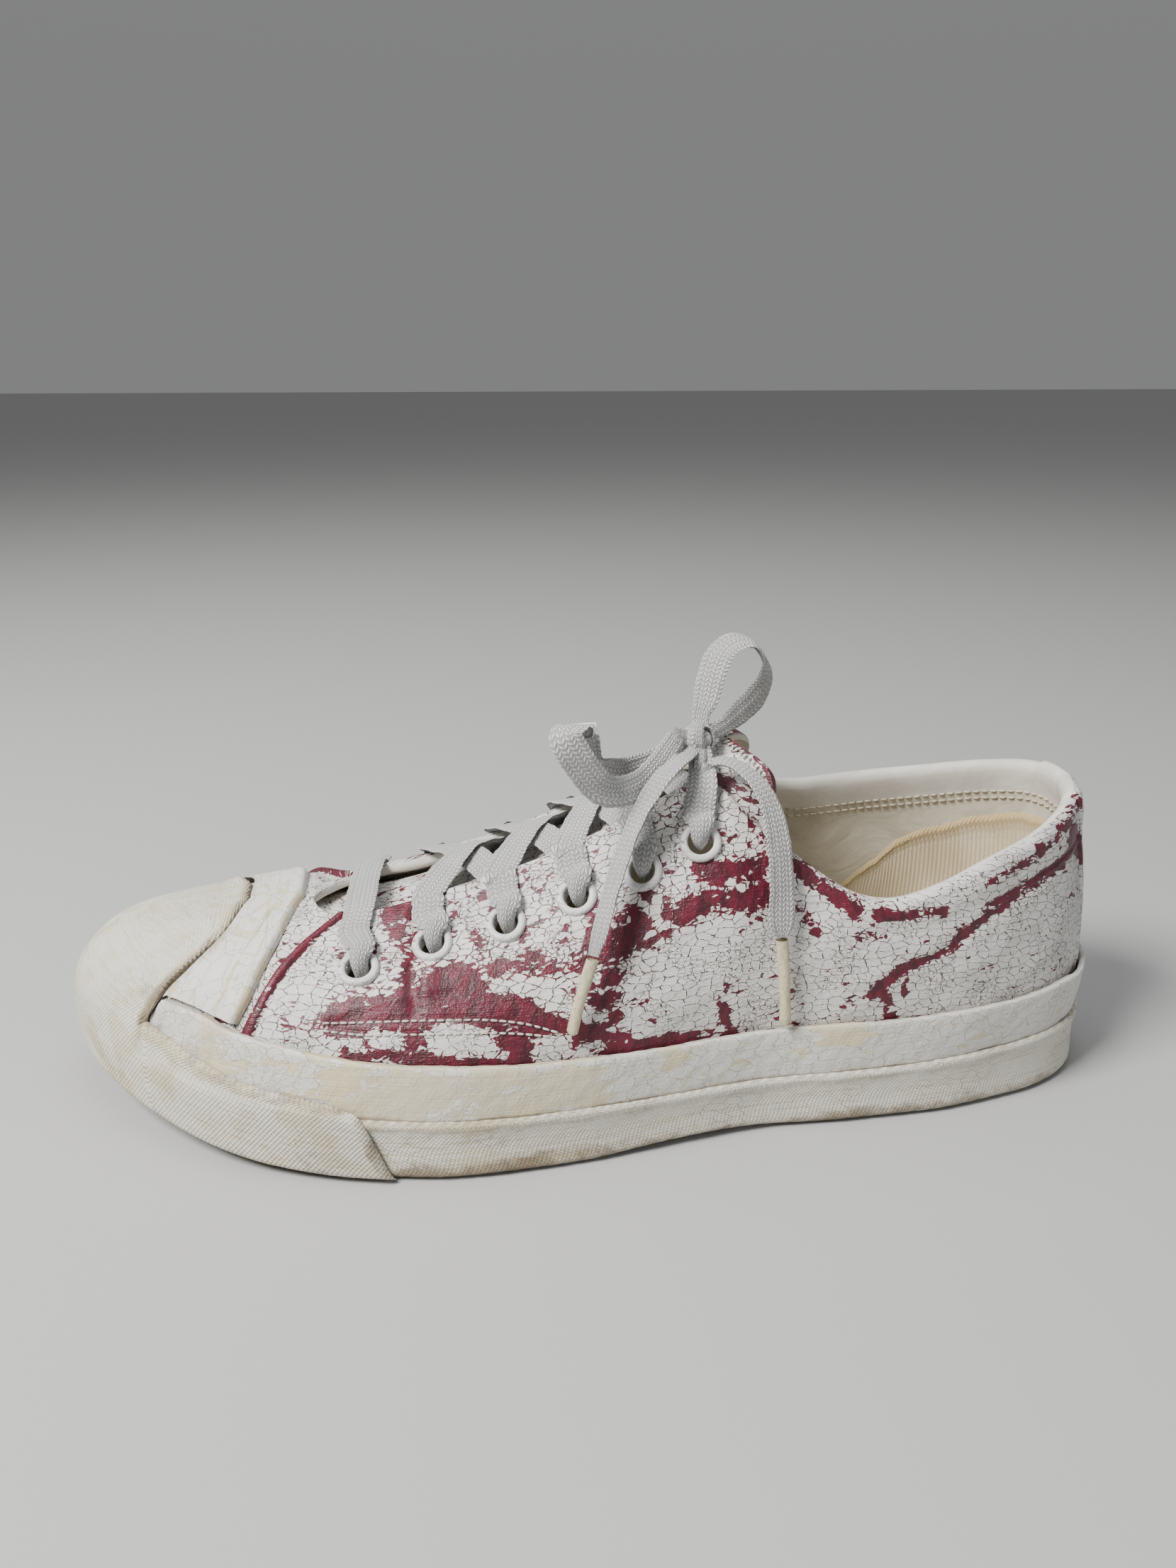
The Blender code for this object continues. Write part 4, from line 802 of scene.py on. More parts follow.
def start_material(name):
    """New material, its coordinates along the piece, and the mesh's wear and its dirt with painted shade."""
    made = bpy.data.materials.new(name)
    made.use_nodes = True
    tree = made.node_tree
    place = Signal(tree, add_node(tree, "ShaderNodeUVMap", {"uv_map": "along"}))
    wear, dirt = (Signal(tree, add_node(tree, "ShaderNodeAttribute", {"attribute_name": key}),
                         "Fac") for key in ("wear", "dirt"))
    return made, place, wear, dirt


def grouped(group, place, **inputs):
    """Signals of a node group placed in a material, by name."""
    made = add_node(place.tree, "ShaderNodeGroup", {"node_tree": group}, Place=place, **inputs)
    return {out.name: Signal(place.tree, made, out.name) for out in made.outputs}


def soiled_and_shaded(place, dirt, colour, *marks):
    """Colour under stains of dirt and painted shade, and under specks, each given as its strength and colour."""
    grime = grouped(GRIME_AND_SHADE, place, Dirt=dirt)
    for kind, (strength, tone) in zip(("Stain_and_shade", "Speck"), marks):
        colour = blend(grime[kind] * strength, colour, tone)
    return colour


def finish(made, colour, rough, *heights, **more):
    """Feed the shader its colour, its roughness and a bump from (signal, metres) pairs."""
    tree = made.node_tree
    total = sum(signal * metres for signal, metres in heights)
    bump = add_node(tree, "ShaderNodeBump", Strength=1.0, Distance=1.0, Height=total)
    inputs = {"Base Color": colour, "Roughness": rough, "Normal": Signal(tree, bump), **more}
    for key, value in inputs.items():
        feed(tree, tree.nodes["Principled BSDF"].inputs[key], value)
    return made


def painted_leather():
    """Brushed white paint, cracked and lost over grained maroon leather."""
    made, place, wear, dirt = start_material("painted_leather_worn")
    flakes = grouped(FLAKING, place, Wear=wear, Cell=0.0027, Crack=0.00010)
    ridge = grouped(BRUSH, place)["Ridge"]
    cloud = noise(place, 70.0, 3.0)
    paint = blend(between(cloud, 0.35, 0.65), (0.74, 0.715, 0.685), (0.62, 0.60, 0.575))
    paint = blend(ridge * 0.55, paint, (0.56, 0.54, 0.515))
    paint = soiled_and_shaded(place, dirt, paint, (0.45, (0.40, 0.36, 0.30)), (0.5, (0.2, 0.15, 0.13)))
    grain = cells(place, 1100.0, 1.0, flat=False)
    fold = noise(stretched(place, 420.0, 170.0), 1.0, 3.0, 0.6, 0.6)
    leather = blend(between(fold, 0.35, 0.62), (0.055, 0.006, 0.013), (0.135, 0.0075, 0.024))
    leather = blend(between(grain, 0.0, 0.12, 0.35, 0.0), leather, (0.03, 0.004, 0.008))
    leather = blend(flakes["Line"] * between(wear, 0.1, 0.45, 0.85, 0.1), leather,
                    (0.05, 0.035, 0.035))
    return finish(made, blend(flakes["Paint"], leather, paint), flakes["Paint"] * 0.20 + 0.40,
                  (flakes["Paint"], 0.00016), (ridge, 0.00008), (flakes["Edge"], 0.00004),
                  (between(grain, 0.0, 0.15), 0.00003), (fold, 0.00016))


def lining_leather(name, light, dark, crease):
    """Soft pale lining with fine wrinkles and stains."""
    made, place, wear, dirt = start_material(name)
    fold = noise(stretched(place, 60.0, 110.0), 1.0, 4.0, 0.6, 0.8)
    colour = blend(between(fold, 0.35, 0.65), light, dark)
    colour = soiled_and_shaded(place, dirt, colour, (0.55, (0.36, 0.24, 0.11)))
    return finish(made, colour, 0.7, (fold, crease), (noise(place, 1600.0, 2.0), 0.00003))


LEATHER = painted_leather()
LINING = lining_leather("lining_leather", (0.60, 0.555, 0.455), (0.48, 0.44, 0.35), 0.0006)
RIM_LINING = lining_leather("rim_leather", (0.66, 0.63, 0.57), (0.57, 0.54, 0.48), 0.0003)


# Row numbers of the quarters' front edge at the top and at the foot, with its curve, and where
# the columns start to lean to it, the backstay ends and the open collar ends
EDGE_TOP, EDGE_FOOT, EDGE_CURVE = 19.9, 23.3, 0.95
LEAN_FROM = 14.0
BACKSTAY_ROWS = 1.3
OPEN_COLLAR_ROW = 11.5

# Marks of lost paint: a line of (x, z) places, its width and how much is gone along it.
# PAINT_LEFT holds boxes where paint stayed on, from (x, z) to (x, z).
WEAR_OUTER = [
    ([(154, 54.6), (144, 57.3)], 1.8, 0.90), ([(151, 53), (147, 50), (147.5, 41)], 3.0, 0.72),
    ([(117, 50.2), (111, 47.5), (104.6, 48)], 1.6, 0.80), ([(92.7, 55.8), (100.4, 51.7)], 4.0, 0.95),
    ([(97.2, 50.2), (84.1, 55)], 1.8, 0.80), ([(80, 58.8), (75, 61.3), (59, 62.7)], 2.7, 0.88),
    ([(73.8, 70.4), (70.1, 68.4), (59.5, 69.6)], 3.0, 0.84), ([(60, 79), (55.5, 75)], 2.4, 0.80),
    ([(50.6, 69.9), (45.5, 66.1), (39.6, 61.8), (35.8, 59)], 2.2, 0.92),
    ([(29.8, 57.6), (22.4, 57.0), (12.5, 57.8)], 1.3, 0.85),
    ([(0.6, 63.9), (-7.4, 66.6), (-18.8, 70.5), (-30.6, 76.9)], 1.3, 0.74),
    ([(10.4, 48.2), (3.4, 53.3), (-7.4, 58.6), (-15.5, 61.3), (-27.3, 65.7)], 1.2, 0.86),
    ([(0.7, 57.3), (-9.6, 61.1), (-25.4, 65.5), (-28.8, 71.5)], 1.1, 0.86),
    ([(30.7, 35.7), (25.4, 40.7), (17.3, 44.5), (8.8, 48.1)], 1.3, 0.88),
    ([(28.1, 38.6), (24.4, 29)], 1.6, 0.88), ([(21.1, 39.6), (21.6, 35.9)], 1.1, 0.85),
    ([(80, 26.6), (51.8, 26.0), (32.9, 27.0), (15.7, 27.8)], 0.9, 0.9),
    ([(69.7, 35.3), (68.7, 26.7)], 1.6, 0.9), ([(50.2, 60.4), (45, 53.7)], 1.6, 0.74),
    ([(34.8, 52.4), (28, 51.5)], 0.9, 0.8), ([(-27.3, 70.4), (-34, 61.1)], 1.9, 0.9),
    ([(167, 37.1), (158.4, 39.3), (145.6, 40.9), (131.4, 39.7), (118.7, 37.7), (107.6, 33.3),
      (94.4, 29), (82.5, 26.1), (66.7, 26.2)], 3.2, 0.98),
    ([(163, 31.9), (145.8, 29.9), (128.5, 27.8), (110.9, 27.5)], 2.6, 0.95),
    ([(148, 40.9), (147.2, 34.9), (146.6, 30)], 2.6, 0.95), ([(123.6, 34.8), (122.1, 28.1)], 4.0, 0.95),
    ([(141.6, 44.3), (134.5, 44.9), (132.1, 42)], 3.8, 0.95),
    ([(131.9, 52.7), (127.2, 47.3), (112.7, 47.9)], 1.6, 0.78),
    ([(118.2, 49.7), (110.3, 46.6)], 1.7, 0.76),
    ([(98.1, 46.8), (98.4, 36.9)], 2.2, 0.80), ([(107.3, 42.3), (99.2, 40.2)], 2.2, 0.78),
    ([(70.6, 36.6), (67.7, 27)], 1.2, 0.9), ([(179.2, 36.8), (172.6, 36.5), (167.9, 38.1)], 1.2, 0.75),
    ([(167.2, 42.2), (164, 41.1)], 1.2, 0.75), ([(128, 58), (120, 54)], 1.6, 0.74),
    ([(109, 62), (101, 57)], 1.4, 0.72), ([(88, 63), (84, 70)], 1.4, 0.70),
]
PAINT_LEFT = [(159, 31.8, 167.5, 35.2), (150, 32.7, 157.3, 36.2), (132, 31.5, 142, 38.0),
              (128.3, 30.2, 131, 33.2), (108.8, 27.5, 118.5, 34.2), (100.5, 27.0, 107.4, 32.0),
              (84, 30.5, 93, 34.0)]
WEAR_INNER = [
    ([(150, 56), (140, 58)], 2.5, 0.9), ([(148, 54), (146, 40)], 3.5, 0.85),
    ([(170, 34), (150, 38), (128, 39), (104, 34), (80, 28)], 3.8, 0.95),
    ([(125, 56), (108, 49), (96, 48)], 2.2, 0.8), ([(95, 60), (70, 63)], 2.4, 0.85),
    ([(60, 74), (48, 66), (30, 66)], 2.0, 0.85), ([(12, 50), (-8, 60), (-27, 66)], 1.5, 0.85),
    ([(60, 40), (40, 48), (22, 50)], 1.4, 0.78),
]

# Creases: a line of (x, z) places, on the vamp (x, y), its width and its height in millimetres
CREASES = [
    ([(146.6, 57.5), (146.4, 52), (147.9, 46.4), (147.0, 40.6)], 1.6, -1.0),
    ([(143.2, 57.5), (143.0, 51), (144.0, 45)], 2.4, 0.55), ([(150.6, 54), (151.2, 47)], 2.4, 0.45),
    ([(135.5, 56), (136.5, 49)], 1.5, -0.35), ([(159, 51), (158, 44)], 1.4, -0.35),
    ([(168.3, 38.8), (162.7, 40.3), (151.3, 42.1), (140.9, 44.2), (135.7, 45.2)], 0.7, 0.35),
    ([(168, 37.9), (158.2, 38.2), (144.4, 38.6), (130.6, 38.4), (120.3, 37.1), (109.9, 33.9)],
     0.55, -0.30),
    ([(168, 36.9), (158.2, 35.7), (144.4, 35.9), (130.7, 35.8), (120.3, 35.0), (109.9, 33.9)],
     0.55, -0.30),
    ([(30.7, 35.7), (25.4, 40.7), (17.3, 44.5), (8.8, 48.1), (-6, 57.2)], 0.9, -0.30),
    ([(0.7, 57.5), (-9.6, 61.3), (-25.4, 65.8), (-33, 69)], 0.6, -0.28),
    ([(3, 55.0), (-9.6, 59.0), (-25.4, 63.3), (-33, 66)], 0.6, -0.28),
    ([(60, 60), (40, 47), (28, 38)], 7.0, 0.7), ([(98, 46), (97.6, 30)], 3.0, -0.4),
]
VAMP_CREASES = [
    ([(178, 10), (172, -6), (174, -22)], 2.4, -0.5), ([(170, 16), (166, 0), (168, -16)], 2.0, 0.4),
    ([(182, 22), (176, 30)], 2.0, -0.4), ([(163, 26), (160, 34)], 1.6, -0.4),
]


def place_in_row(grid):
    """Row-frame x, y and z of a grid in millimetres."""
    return ((grid - (HEEL_SEAT, 0, 0)) / MM)[..., 0], grid[..., 1] / MM, grid[..., 2] / MM


def edge_row(t):
    """Row number of the quarters' front edge at the height t."""
    return EDGE_TOP + (EDGE_FOOT - EDGE_TOP) * (1 - t) ** EDGE_CURVE


def leaning(k, t):
    """Row number at t of the column that has the row number k at the top edge."""
    part = np.where(k <= EDGE_TOP, (k - LEAN_FROM) / (EDGE_TOP - LEAN_FROM),
                    (LAST_ROW - k) / (LAST_ROW - EDGE_TOP))
    return k + (edge_row(t) - EDGE_TOP) * np.clip(part, 0.0, 1.0)


def sum_of_lines(x, z, lines):
    """Height of soft troughs and ridges along lines."""
    total = np.zeros(np.shape(x))
    for line, width, depth in lines:
        total = total + depth * np.exp(-(near_line(x, z, line) / width) ** 2)
    return total


def wear_at(side, x, z, up, k):
    """How much of the paint is gone at places of the painted skin."""
    marks = WEAR_OUTER if side > 0 else WEAR_INNER
    wear = 0.08 + 0.11 * ramp(x, 70, 105) * fall(x, 160, 176) * ramp(z, 36, 44)
    wear = wear + 0.10 * ramp(x, 40, 58) * ramp(z, 56, 66) * fall(x, 84, 110)
    for line, width, strength in marks:
        own = strength - 0.22 * ramp(0.95 - strength, 0.04, 0.2)
        gone = own * fall(near_line(x, z, line), 0.3 * width, 1.9 * width)
        wear = np.maximum(wear, gone)
    if side > 0:
        for x0, z0, x1, z1 in PAINT_LEFT:
            inside = np.minimum(np.minimum(x - x0, x1 - x), np.minimum(z - z0, z1 - z))
            wear = wear * (1 - 0.85 * ramp(inside, -0.6, 0.9))
    vamp = ramp(k, EDGE_TOP + 0.04, EDGE_TOP + 0.12)
    wear = wear * (1 - vamp) + (0.13 + 0.15 * ramp(z, 52, 58)) * vamp
    bead = ramp(k, EDGE_TOP - 0.30, EDGE_TOP - 0.2) * fall(k, EDGE_TOP + 0.02, EDGE_TOP + 0.08)
    scuffed = 0.96 - 0.34 * ramp(np.sin(z * 2.9) * np.sin(z * 0.83 + 1), 0.35, 0.8)
    wear = np.maximum(wear, scuffed * bead)
    return np.clip(wear, 0, 1)


def quarter_step(k):
    """Thickness laid over the last: backstay, quarter with its piped front edge, vamp."""
    back = BACKSTAY_STEP * fall(k, BACKSTAY_ROWS - 0.05, BACKSTAY_ROWS + 0.03)
    quarter = QUARTER_STEP * fall(k, EDGE_TOP - 0.01, EDGE_TOP + 0.06)
    bead = np.clip(1 - ((k - (EDGE_TOP - 0.10)) / 0.12) ** 2, 0, 1) ** 0.5
    groove = np.exp(-((k - (EDGE_TOP - 0.27)) / 0.035) ** 2)
    return back + quarter + (0.65 * bead - 0.35 * groove) * MM


def make_upper():
    """Outer skin, rim and lining in one mesh, with the eyelets' holes left open."""
    extra = tuple(EDGE_TOP + d for d in (-0.34, -0.30, -0.27, -0.24, -0.20, -0.16, -0.12, -0.08,
                                         -0.04, 0.0, 0.03, 0.06, 0.1, 0.16))
    extra += tuple(BACKSTAY_ROWS + d for d in (-0.05, -0.01, 0.03))
    columns = even_rows(1, 0.6, 300, extra=extra)
    heights = np.r_[np.linspace(0, 0.80, 58)[:-1], np.linspace(0.80, 1.0, 24)]
    low_heights = np.linspace(1.0, 0.0, 26)
    arcs = np.linspace(0, 1, 6)[1:-1]
    points, coordinates, wears, dirt_and_shade_parts, faces, slots = [], [], [], [], [], []
    start = 0
    for side in (1, -1):
        k = leaning(columns[:, None], heights[None, :])
        t = np.broadcast_to(heights, k.shape)
        open_rim = (columns < OPEN_COLLAR_ROW)[:, None]
        roll = np.where(open_rim, RIM_ROLL, 0.0) * np.clip((t - 0.84) / 0.1, 0, 1)
        x, y, z = place_in_row(surface(side, k, t))
        bumps = sum_of_lines(x, z, CREASES) * (1.0 if side > 0 else 0.8)
        bumps = bumps * fall(columns, EDGE_TOP - 0.4, EDGE_TOP)[:, None]
        on_vamp = ramp(columns, EDGE_TOP + 0.1, EDGE_TOP + 0.4)[:, None]
        bumps = bumps + sum_of_lines(x, y, VAMP_CREASES) * on_vamp
        lumps = (np.sin(x * 0.21 + 1.0) * np.sin(z * 0.33 + x * 0.05)
                 + 0.6 * np.sin(x * 0.47 + z * 0.29 + 2.0) * np.sin(z * 0.61))
        bumps = (bumps + 0.16 * lumps) * ramp(t, 0.05, 0.2) * fall(t, 0.95, 1.0)
        rib = quarter_step(columns)[:, None] * np.ones_like(t)
        outer = offset(side, k, t, rib + 0.6 * roll + bumps * MM, flat_foot=True)
        low_t = np.broadcast_to(low_heights, (len(columns), len(low_heights)))
        low_k = leaning(columns[:, None], low_heights[None, :])
        low_roll = np.where(open_rim, RIM_ROLL, 0.0) * np.clip((low_t - 0.84) / 0.1, 0, 1)
        inner = offset(side, low_k, low_t, -WALL - 0.4 * low_roll)
        across = outer[:, -1] - inner[:, 0]
        rise = unit(surface(side, columns, np.ones(len(columns)))
                    - surface(side, columns, np.full(len(columns), 0.97)))
        thick = np.linalg.norm(across, axis=1, keepdims=True)
        crown = np.where(open_rim, 0.55, 0.22)
        rim = np.stack([inner[:, 0] + across * (0.5 + 0.5 * math.cos(math.pi * a))
                        + rise * thick * crown * math.sin(math.pi * a) for a in arcs], axis=1)
        grid = np.concatenate([outer, rim, inner], axis=1)
        rows = grid.shape[1]
        uv = arc_coordinates(grid)
        uv[..., 1] += 0.5 * (side < 0)
        quads = grid_faces(len(columns), rows)
        column_of, row_of = quads[:, 0] // rows, quads[:, 0] % rows
        rim_row = (row_of >= len(heights) - 1) & (row_of < len(heights) + len(arcs))
        closed = columns[np.minimum(column_of + 1, len(columns) - 1)] > FIRST_RIDGE_ROW + 0.001
        keep = ~(rim_row & closed)
        wear = wear_at(side, x, z, t, columns[:, None] * np.ones_like(t))
        worn_rim = np.repeat(wear[:, -1:] * 0.5, rows - len(heights), axis=1)
        wears.append(np.concatenate([wear, worn_rim], axis=1))
        # Darker on the vamp near the throat, low down along the band's crest, and towards the toe.
        dirt = 0.16 + 0.35 * on_vamp * ramp(z, 48, 54) + 0.5 * fall(z, 27, 33)
        dirt = dirt + 0.3 * ramp(x, 150, 180)
        inside = 0.25 + 0.6 * fall(low_t, 0.2, 0.6)
        rim_dirt = np.full((len(columns), len(arcs)), 0.2)
        dirt_and_shade_parts.append(np.concatenate([dirt, rim_dirt, inside], axis=1))
        slot = np.where(row_of < len(heights) + 1, 0, np.where(row_of < len(heights) + 7, 2, 1))
        if side < 0:
            quads = quads[:, ::-1]
        faces.append(quads[keep] + start)
        slots.append(slot[keep])
        points.append(grid.reshape(-1, 3))
        coordinates.append(uv.reshape(-1, 2))
        start += grid.shape[0] * rows
    points, faces = np.concatenate(points), np.concatenate(faces)
    centres = points[faces].mean(axis=1)
    keep = np.ones(len(faces), bool)
    for place in EYELET_FRAMES.values():
        at = np.array(place.translation)
        axis = np.array(place.col[2][:3])
        away = centres - at
        depth = away @ axis
        radius = np.linalg.norm(away - depth[:, None] * axis, axis=1)
        keep &= ~((radius < EYELET_HOLE + 0.35 * MM) & (np.abs(depth) < 8 * MM))
    values = {"wear": np.concatenate([w.ravel() for w in wears]),
              "dirt": np.concatenate([d.ravel() for d in dirt_and_shade_parts])}
    piece = make_mesh("upper_skin", points, faces[keep], np.concatenate(coordinates),
                      [LEATHER, LINING, RIM_LINING], values, np.concatenate(slots)[keep],
                      merge=0.02 * MM)
    return dressed(piece, "painted_leather", "upper")


# Eyelets: two rows of six pressed metal rings, brushed over with the shoe's white paint.
# Each is a tube rolled out over the quarter's face, where the solids have theirs. Its place is
# a share of LENGTH and a distance below the throat's edge in millimetres.
EYELETS = [(0.705, 18.0), (0.641, 15.3), (0.576, 15.0), (0.513, 14.4), (0.455, 15.3),
           (0.404, 14.5)]
EYELET_HOLE = 3.2 * MM


def painted_metal():
    """Eyelet ring under brushed white paint."""
    made, place, wear, dirt = start_material("painted_eyelet")
    ridge = noise(stretched(place, 120.0, 3000.0), 1.0, 2.0)
    flakes = grouped(FLAKING, place, Wear=wear, Cell=0.0030, Crack=0.00005)
    colour = blend(between(ridge, 0.35, 0.65), (0.70, 0.695, 0.685), (0.55, 0.54, 0.53))
    colour = blend(flakes["Paint"], (0.26, 0.24, 0.23), colour)
    return finish(made, colour, 0.42, (flakes["Paint"], 0.00005), (ridge, 0.00006))


EYELET_METAL = painted_metal()


def eyelet_frame(side, share, inset):
    """Place of an eyelet on the quarter's face, with Z along the outward normal."""
    k = find_row(12.0, 20.5, lambda k: surface(
        side, k, t_at_distance(side, k, inset * MM))[0] < share * LENGTH)
    t = t_at_distance(side, k, inset * MM)
    normal = normals(side, k, t)
    at = surface(side, k, t) + QUARTER_STEP * normal
    along = unit(np.cross(normal, (0, 0, 1)))
    up = np.cross(normal, along)
    return frame_at(along, up, normal, at)


EYELET_FRAMES = {(side, i): eyelet_frame(side, *place)
                 for side in (1, -1) for i, place in enumerate(EYELETS)}


def make_eyelets():
    """Painted rings: a bore, a rolled lip and a flange that presses into the leather."""
    profile = [(3.2, -3.0), (3.2, -1.0), (3.22, 0.3), (3.34, 0.8), (3.55, 1.08), (3.9, 1.2),
               (4.4, 1.16), (4.85, 1.0), (5.1, 0.75), (5.22, 0.4), (5.26, 0.05), (5.2, -0.5)]
    turns = 40
    for (side, i), place in EYELET_FRAMES.items():
        grid = np.zeros((turns, len(profile), 3))
        squash = 1 + 0.02 * math.sin(2.4 * i + side)
        for c in range(turns):
            a = 2 * math.pi * c / turns
            for r, (radius, z) in enumerate(profile):
                wave = 1 + 0.012 * math.sin(3 * a + i)
                grid[c, r] = place @ Vector((radius * MM * math.cos(a) * squash * wave,
                                             radius * MM * math.sin(a) / squash * wave, z * MM))
        uv = arc_coordinates(np.concatenate([grid, grid[:1]], axis=0))[:-1]
        wear = np.full(grid.shape[:2], 0.16)
        where = "outer" if side > 0 else "inner"
        piece = make_mesh(f"ring_{where}_{i + 1}", grid,
                          grid_faces(turns, len(profile), closed=True), uv, [EYELET_METAL],
                          {"wear": wear, "dirt": wear})
        dressed(piece, "eyelet_metal", f"eyelet_{where}_{i + 1}")


make_upper()
make_eyelets()


# Rubber side: two tiers of cream band, a textured toe cap with its bumper and a strip behind
# it, glued round the upper and vulcanised, then brushed with the same white paint. Sections
# are those of the solids with rounded edges; wear and dirt lie by x and z in the row, and
# painted shade darkens the edges of the cap and the strip.
def painted_rubber(name, cell, ripple, dirt_and_shade_gain):
    """Cream rubber with brushed white paint that has cracked and come off in sheets."""
    made, place, wear, dirt = start_material(name)
    flakes = grouped(FLAKING, place, Wear=wear, Cell=cell, Crack=0.00007)
    ridge = grouped(BRUSH, place)["Ridge"]
    paint = blend(ridge * 0.3, (0.68, 0.66, 0.62), (0.56, 0.54, 0.49))
    yellow = between(noise(place, 38.0, 3.0), 0.35, 0.65)
    rubber = blend(yellow, (0.66, 0.585, 0.385), (0.60, 0.55, 0.42))
    waves = noise(stretched(place, 1500.0, 520.0), 1.0, 2.0, 0.5, 0.1)
    rubber = blend(between(waves, 0.4, 0.65, 0.0, 0.16), rubber, (0.45, 0.38, 0.24))
    base = blend(flakes["Paint"], rubber, paint)
    dark = flakes["Line"] * between(wear, 0.2, 0.6, 0.35, 0.0)
    base = blend(dark, base, (0.33, 0.28, 0.21))
    base = soiled_and_shaded(place, dirt, base, (dirt_and_shade_gain, DIRT_AND_SHADE_BROWN), (0.5, (0.13, 0.10, 0.07)))
    return finish(made, base, 0.62, (flakes["Paint"], 0.00012), (ridge, 0.00006),
                  (flakes["Edge"], 0.00002), (waves, ripple))


def axis_of(place, axis):
    """One coordinate of a place."""
    return Signal(place.tree, add_node(place.tree, "ShaderNodeSeparateXYZ", Vector=place), axis)


def wave(distance, pitch):
    """Sine wave along a distance."""
    return calc('SINE', distance * (2 * math.pi / pitch))


def woven(place, pitch, turn):
    """Height of small raised dots in crossing rows, between -1 and 1."""
    spun = Signal(place.tree, add_node(place.tree, "ShaderNodeVectorRotate",
                                       {"rotation_type": 'Z_AXIS'}, Vector=place, Angle=turn))
    return wave(axis_of(spun, 0), pitch) * wave(axis_of(spun, 1), pitch)


def textured_rubber(name, pitch, turn, dirt_and_shade_gain, streaks, dot_depth_and_shade):
    """Cream rubber moulded with fine crossing dots, painted thinly, with dirt and painted shade between them."""
    made, place, wear, dirt = start_material(name)
    dots = woven(place, pitch, turn)
    ridge = grouped(BRUSH, place)["Ridge"]
    cloud = noise(place, 55.0, 4.0, 0.6)
    bare = blend(between(cloud, 0.35, 0.68), (0.64, 0.59, 0.44), (0.53, 0.465, 0.32))
    thin = ridge * streaks + between(noise(place, 90.0, 3.0), 0.42, 0.60) * 0.6
    colour = blend(between(thin - wear, -0.15, 0.4) * 0.85, bare, (0.70, 0.68, 0.62))
    long = noise(stretched(place, 60.0, 1100.0), 1.0, 3.0, 0.65)
    colour = blend(between(long, 0.50, 0.66) * (streaks * 0.55), colour, (0.42, 0.36, 0.25))
    crack = between(cells(stretched(place, 210.0, 560.0), 1.0, 0.9), 0.02, 0.06, 1.0, 0.0)
    crack = crack * between(noise(place, 60.0, 2.0), 0.46, 0.60) * (streaks * 0.6)
    colour = blend(crack, colour, (0.33, 0.26, 0.16))
    # The hollows between the dots are painted darker: painted shade, deepened by dirt.
    hollow_dirt_and_shade = between(dots, -0.9, 0.1, 1.0, 0.0) * (dirt * 0.35 + dot_depth_and_shade)
    colour = blend(hollow_dirt_and_shade, colour, (0.30, 0.24, 0.15))
    colour = soiled_and_shaded(place, dirt, colour, (dirt_and_shade_gain, DIRT_AND_SHADE_BROWN), (0.4, (0.12, 0.09, 0.06)))
    return finish(made, colour, 0.66, (dots, 0.00045 * dot_depth_and_shade), (ridge, 0.00005),
                  (cloud, 0.0004), (crack, -0.00008))


SIDE_RUBBER = painted_rubber("side_rubber", 0.0040, 0.00014, 0.45)
LOWER_RUBBER = textured_rubber("lower_side_rubber", 0.00125, 0.2, 0.85, 0.9, 0.16)
CAP_RUBBER = textured_rubber("toe_cap_rubber", 0.00135, 0.12, 0.75, 0.55, 0.28)
STRIP_RUBBER = painted_rubber("toe_strip_rubber", 0.0070, 0.00016, 0.5)
ARCH_LIFT, BAND_LIFT, SOLE_INSET, SOLE_CHAMFER = 1.2 * MM, 0.4 * MM, 3.9 * MM, 0.9 * MM
BAND_DIP_ROW, BAND_DIP, UPPER_BAND_END = 24.6, 12.0 * MM, 25.15
BUMPER_PROUD = 1.8 * MM

# Rear edges of the cap and of the strip, as (t, row number), the ends of the bumper's five rows
# as shares of LENGTH, and the bumper's top as (share of LENGTH, millimetres)
CAP_EDGE = [(0.0, 25.0), (0.30, 24.85), (0.40, 24.6), (0.52, 24.1), (0.68, 23.65),
            (0.8, 23.6), (1.0, 23.9)]
STRIP_EDGE = [(0.2, 22.95), (0.3, 22.6), (0.42, 22.25), (0.62, 21.95), (0.75, 21.9),
              (1.0, 22.2)]
TAIL = [0.676, 0.682, 0.703, 0.716, 0.723]
BUMPER_TOP = [(0.72, 19.6), (0.753, 21.5), (0.793, 22.8), (0.83, 24.7), (0.866, 27.6),
              (0.885, 31.0)]
CAP_BLEND, CAP_COLUMNS, TAIL_COLUMNS = 0.78, 10, 7

# Wear along the two tiers, as (x in row millimetres, value)
LOWER_WHITE = [(-43, -0.35), (40, -0.32), (70, -0.15), (86, 0.10), (92, -0.05), (117, 0.0),
               (121, 0.35), (134, 0.42), (138, 0.08), (155, 0.10), (160, 0.5), (250, 0.5)]
UPPER_WORN = [(-43, 0.10), (20, 0.12), (31, 0.15), (33.5, 0.80), (43, 0.80), (45.5, 0.15),
              (79, 0.14), (81, 0.86), (85, 0.86), (87, 0.18), (100, 0.26), (104.5, 0.93),
              (120, 0.86), (127, 0.97), (150, 0.82), (168, 0.84), (172, 0.22), (193, 0.16),
              (195.5, 0.95), (200.5, 0.95), (202, 0.12), (250, 0.12)]


def underside(x):
    """Height of the sole's underside: flat heel and ball, raised waist and toe."""
    share = x / LENGTH
    arch = math.sin(math.pi * min(max((share - 0.30) / 0.22, 0.0), 1.0)) ** 2
    return spring(x) + ARCH_LIFT * arch


def station(side, k):
    """Distance of a column's foot from the heel's back."""
    return plan(side, hermite(ROWS[side], k)[0])[0][0]


def outline_at(side, k, inset, z):
    """Point at an inset from the sole's outline, at a height."""
    at, inward = plan(side, hermite(ROWS[side], k)[0])
    p = at + inward * inset
    if k in (0.0, LAST_ROW):
        other, back = plan(-side, hermite(ROWS[-side], k)[0])
        p = (p + other + back * inset) / 2
    return np.array([p[0], p[1], z])


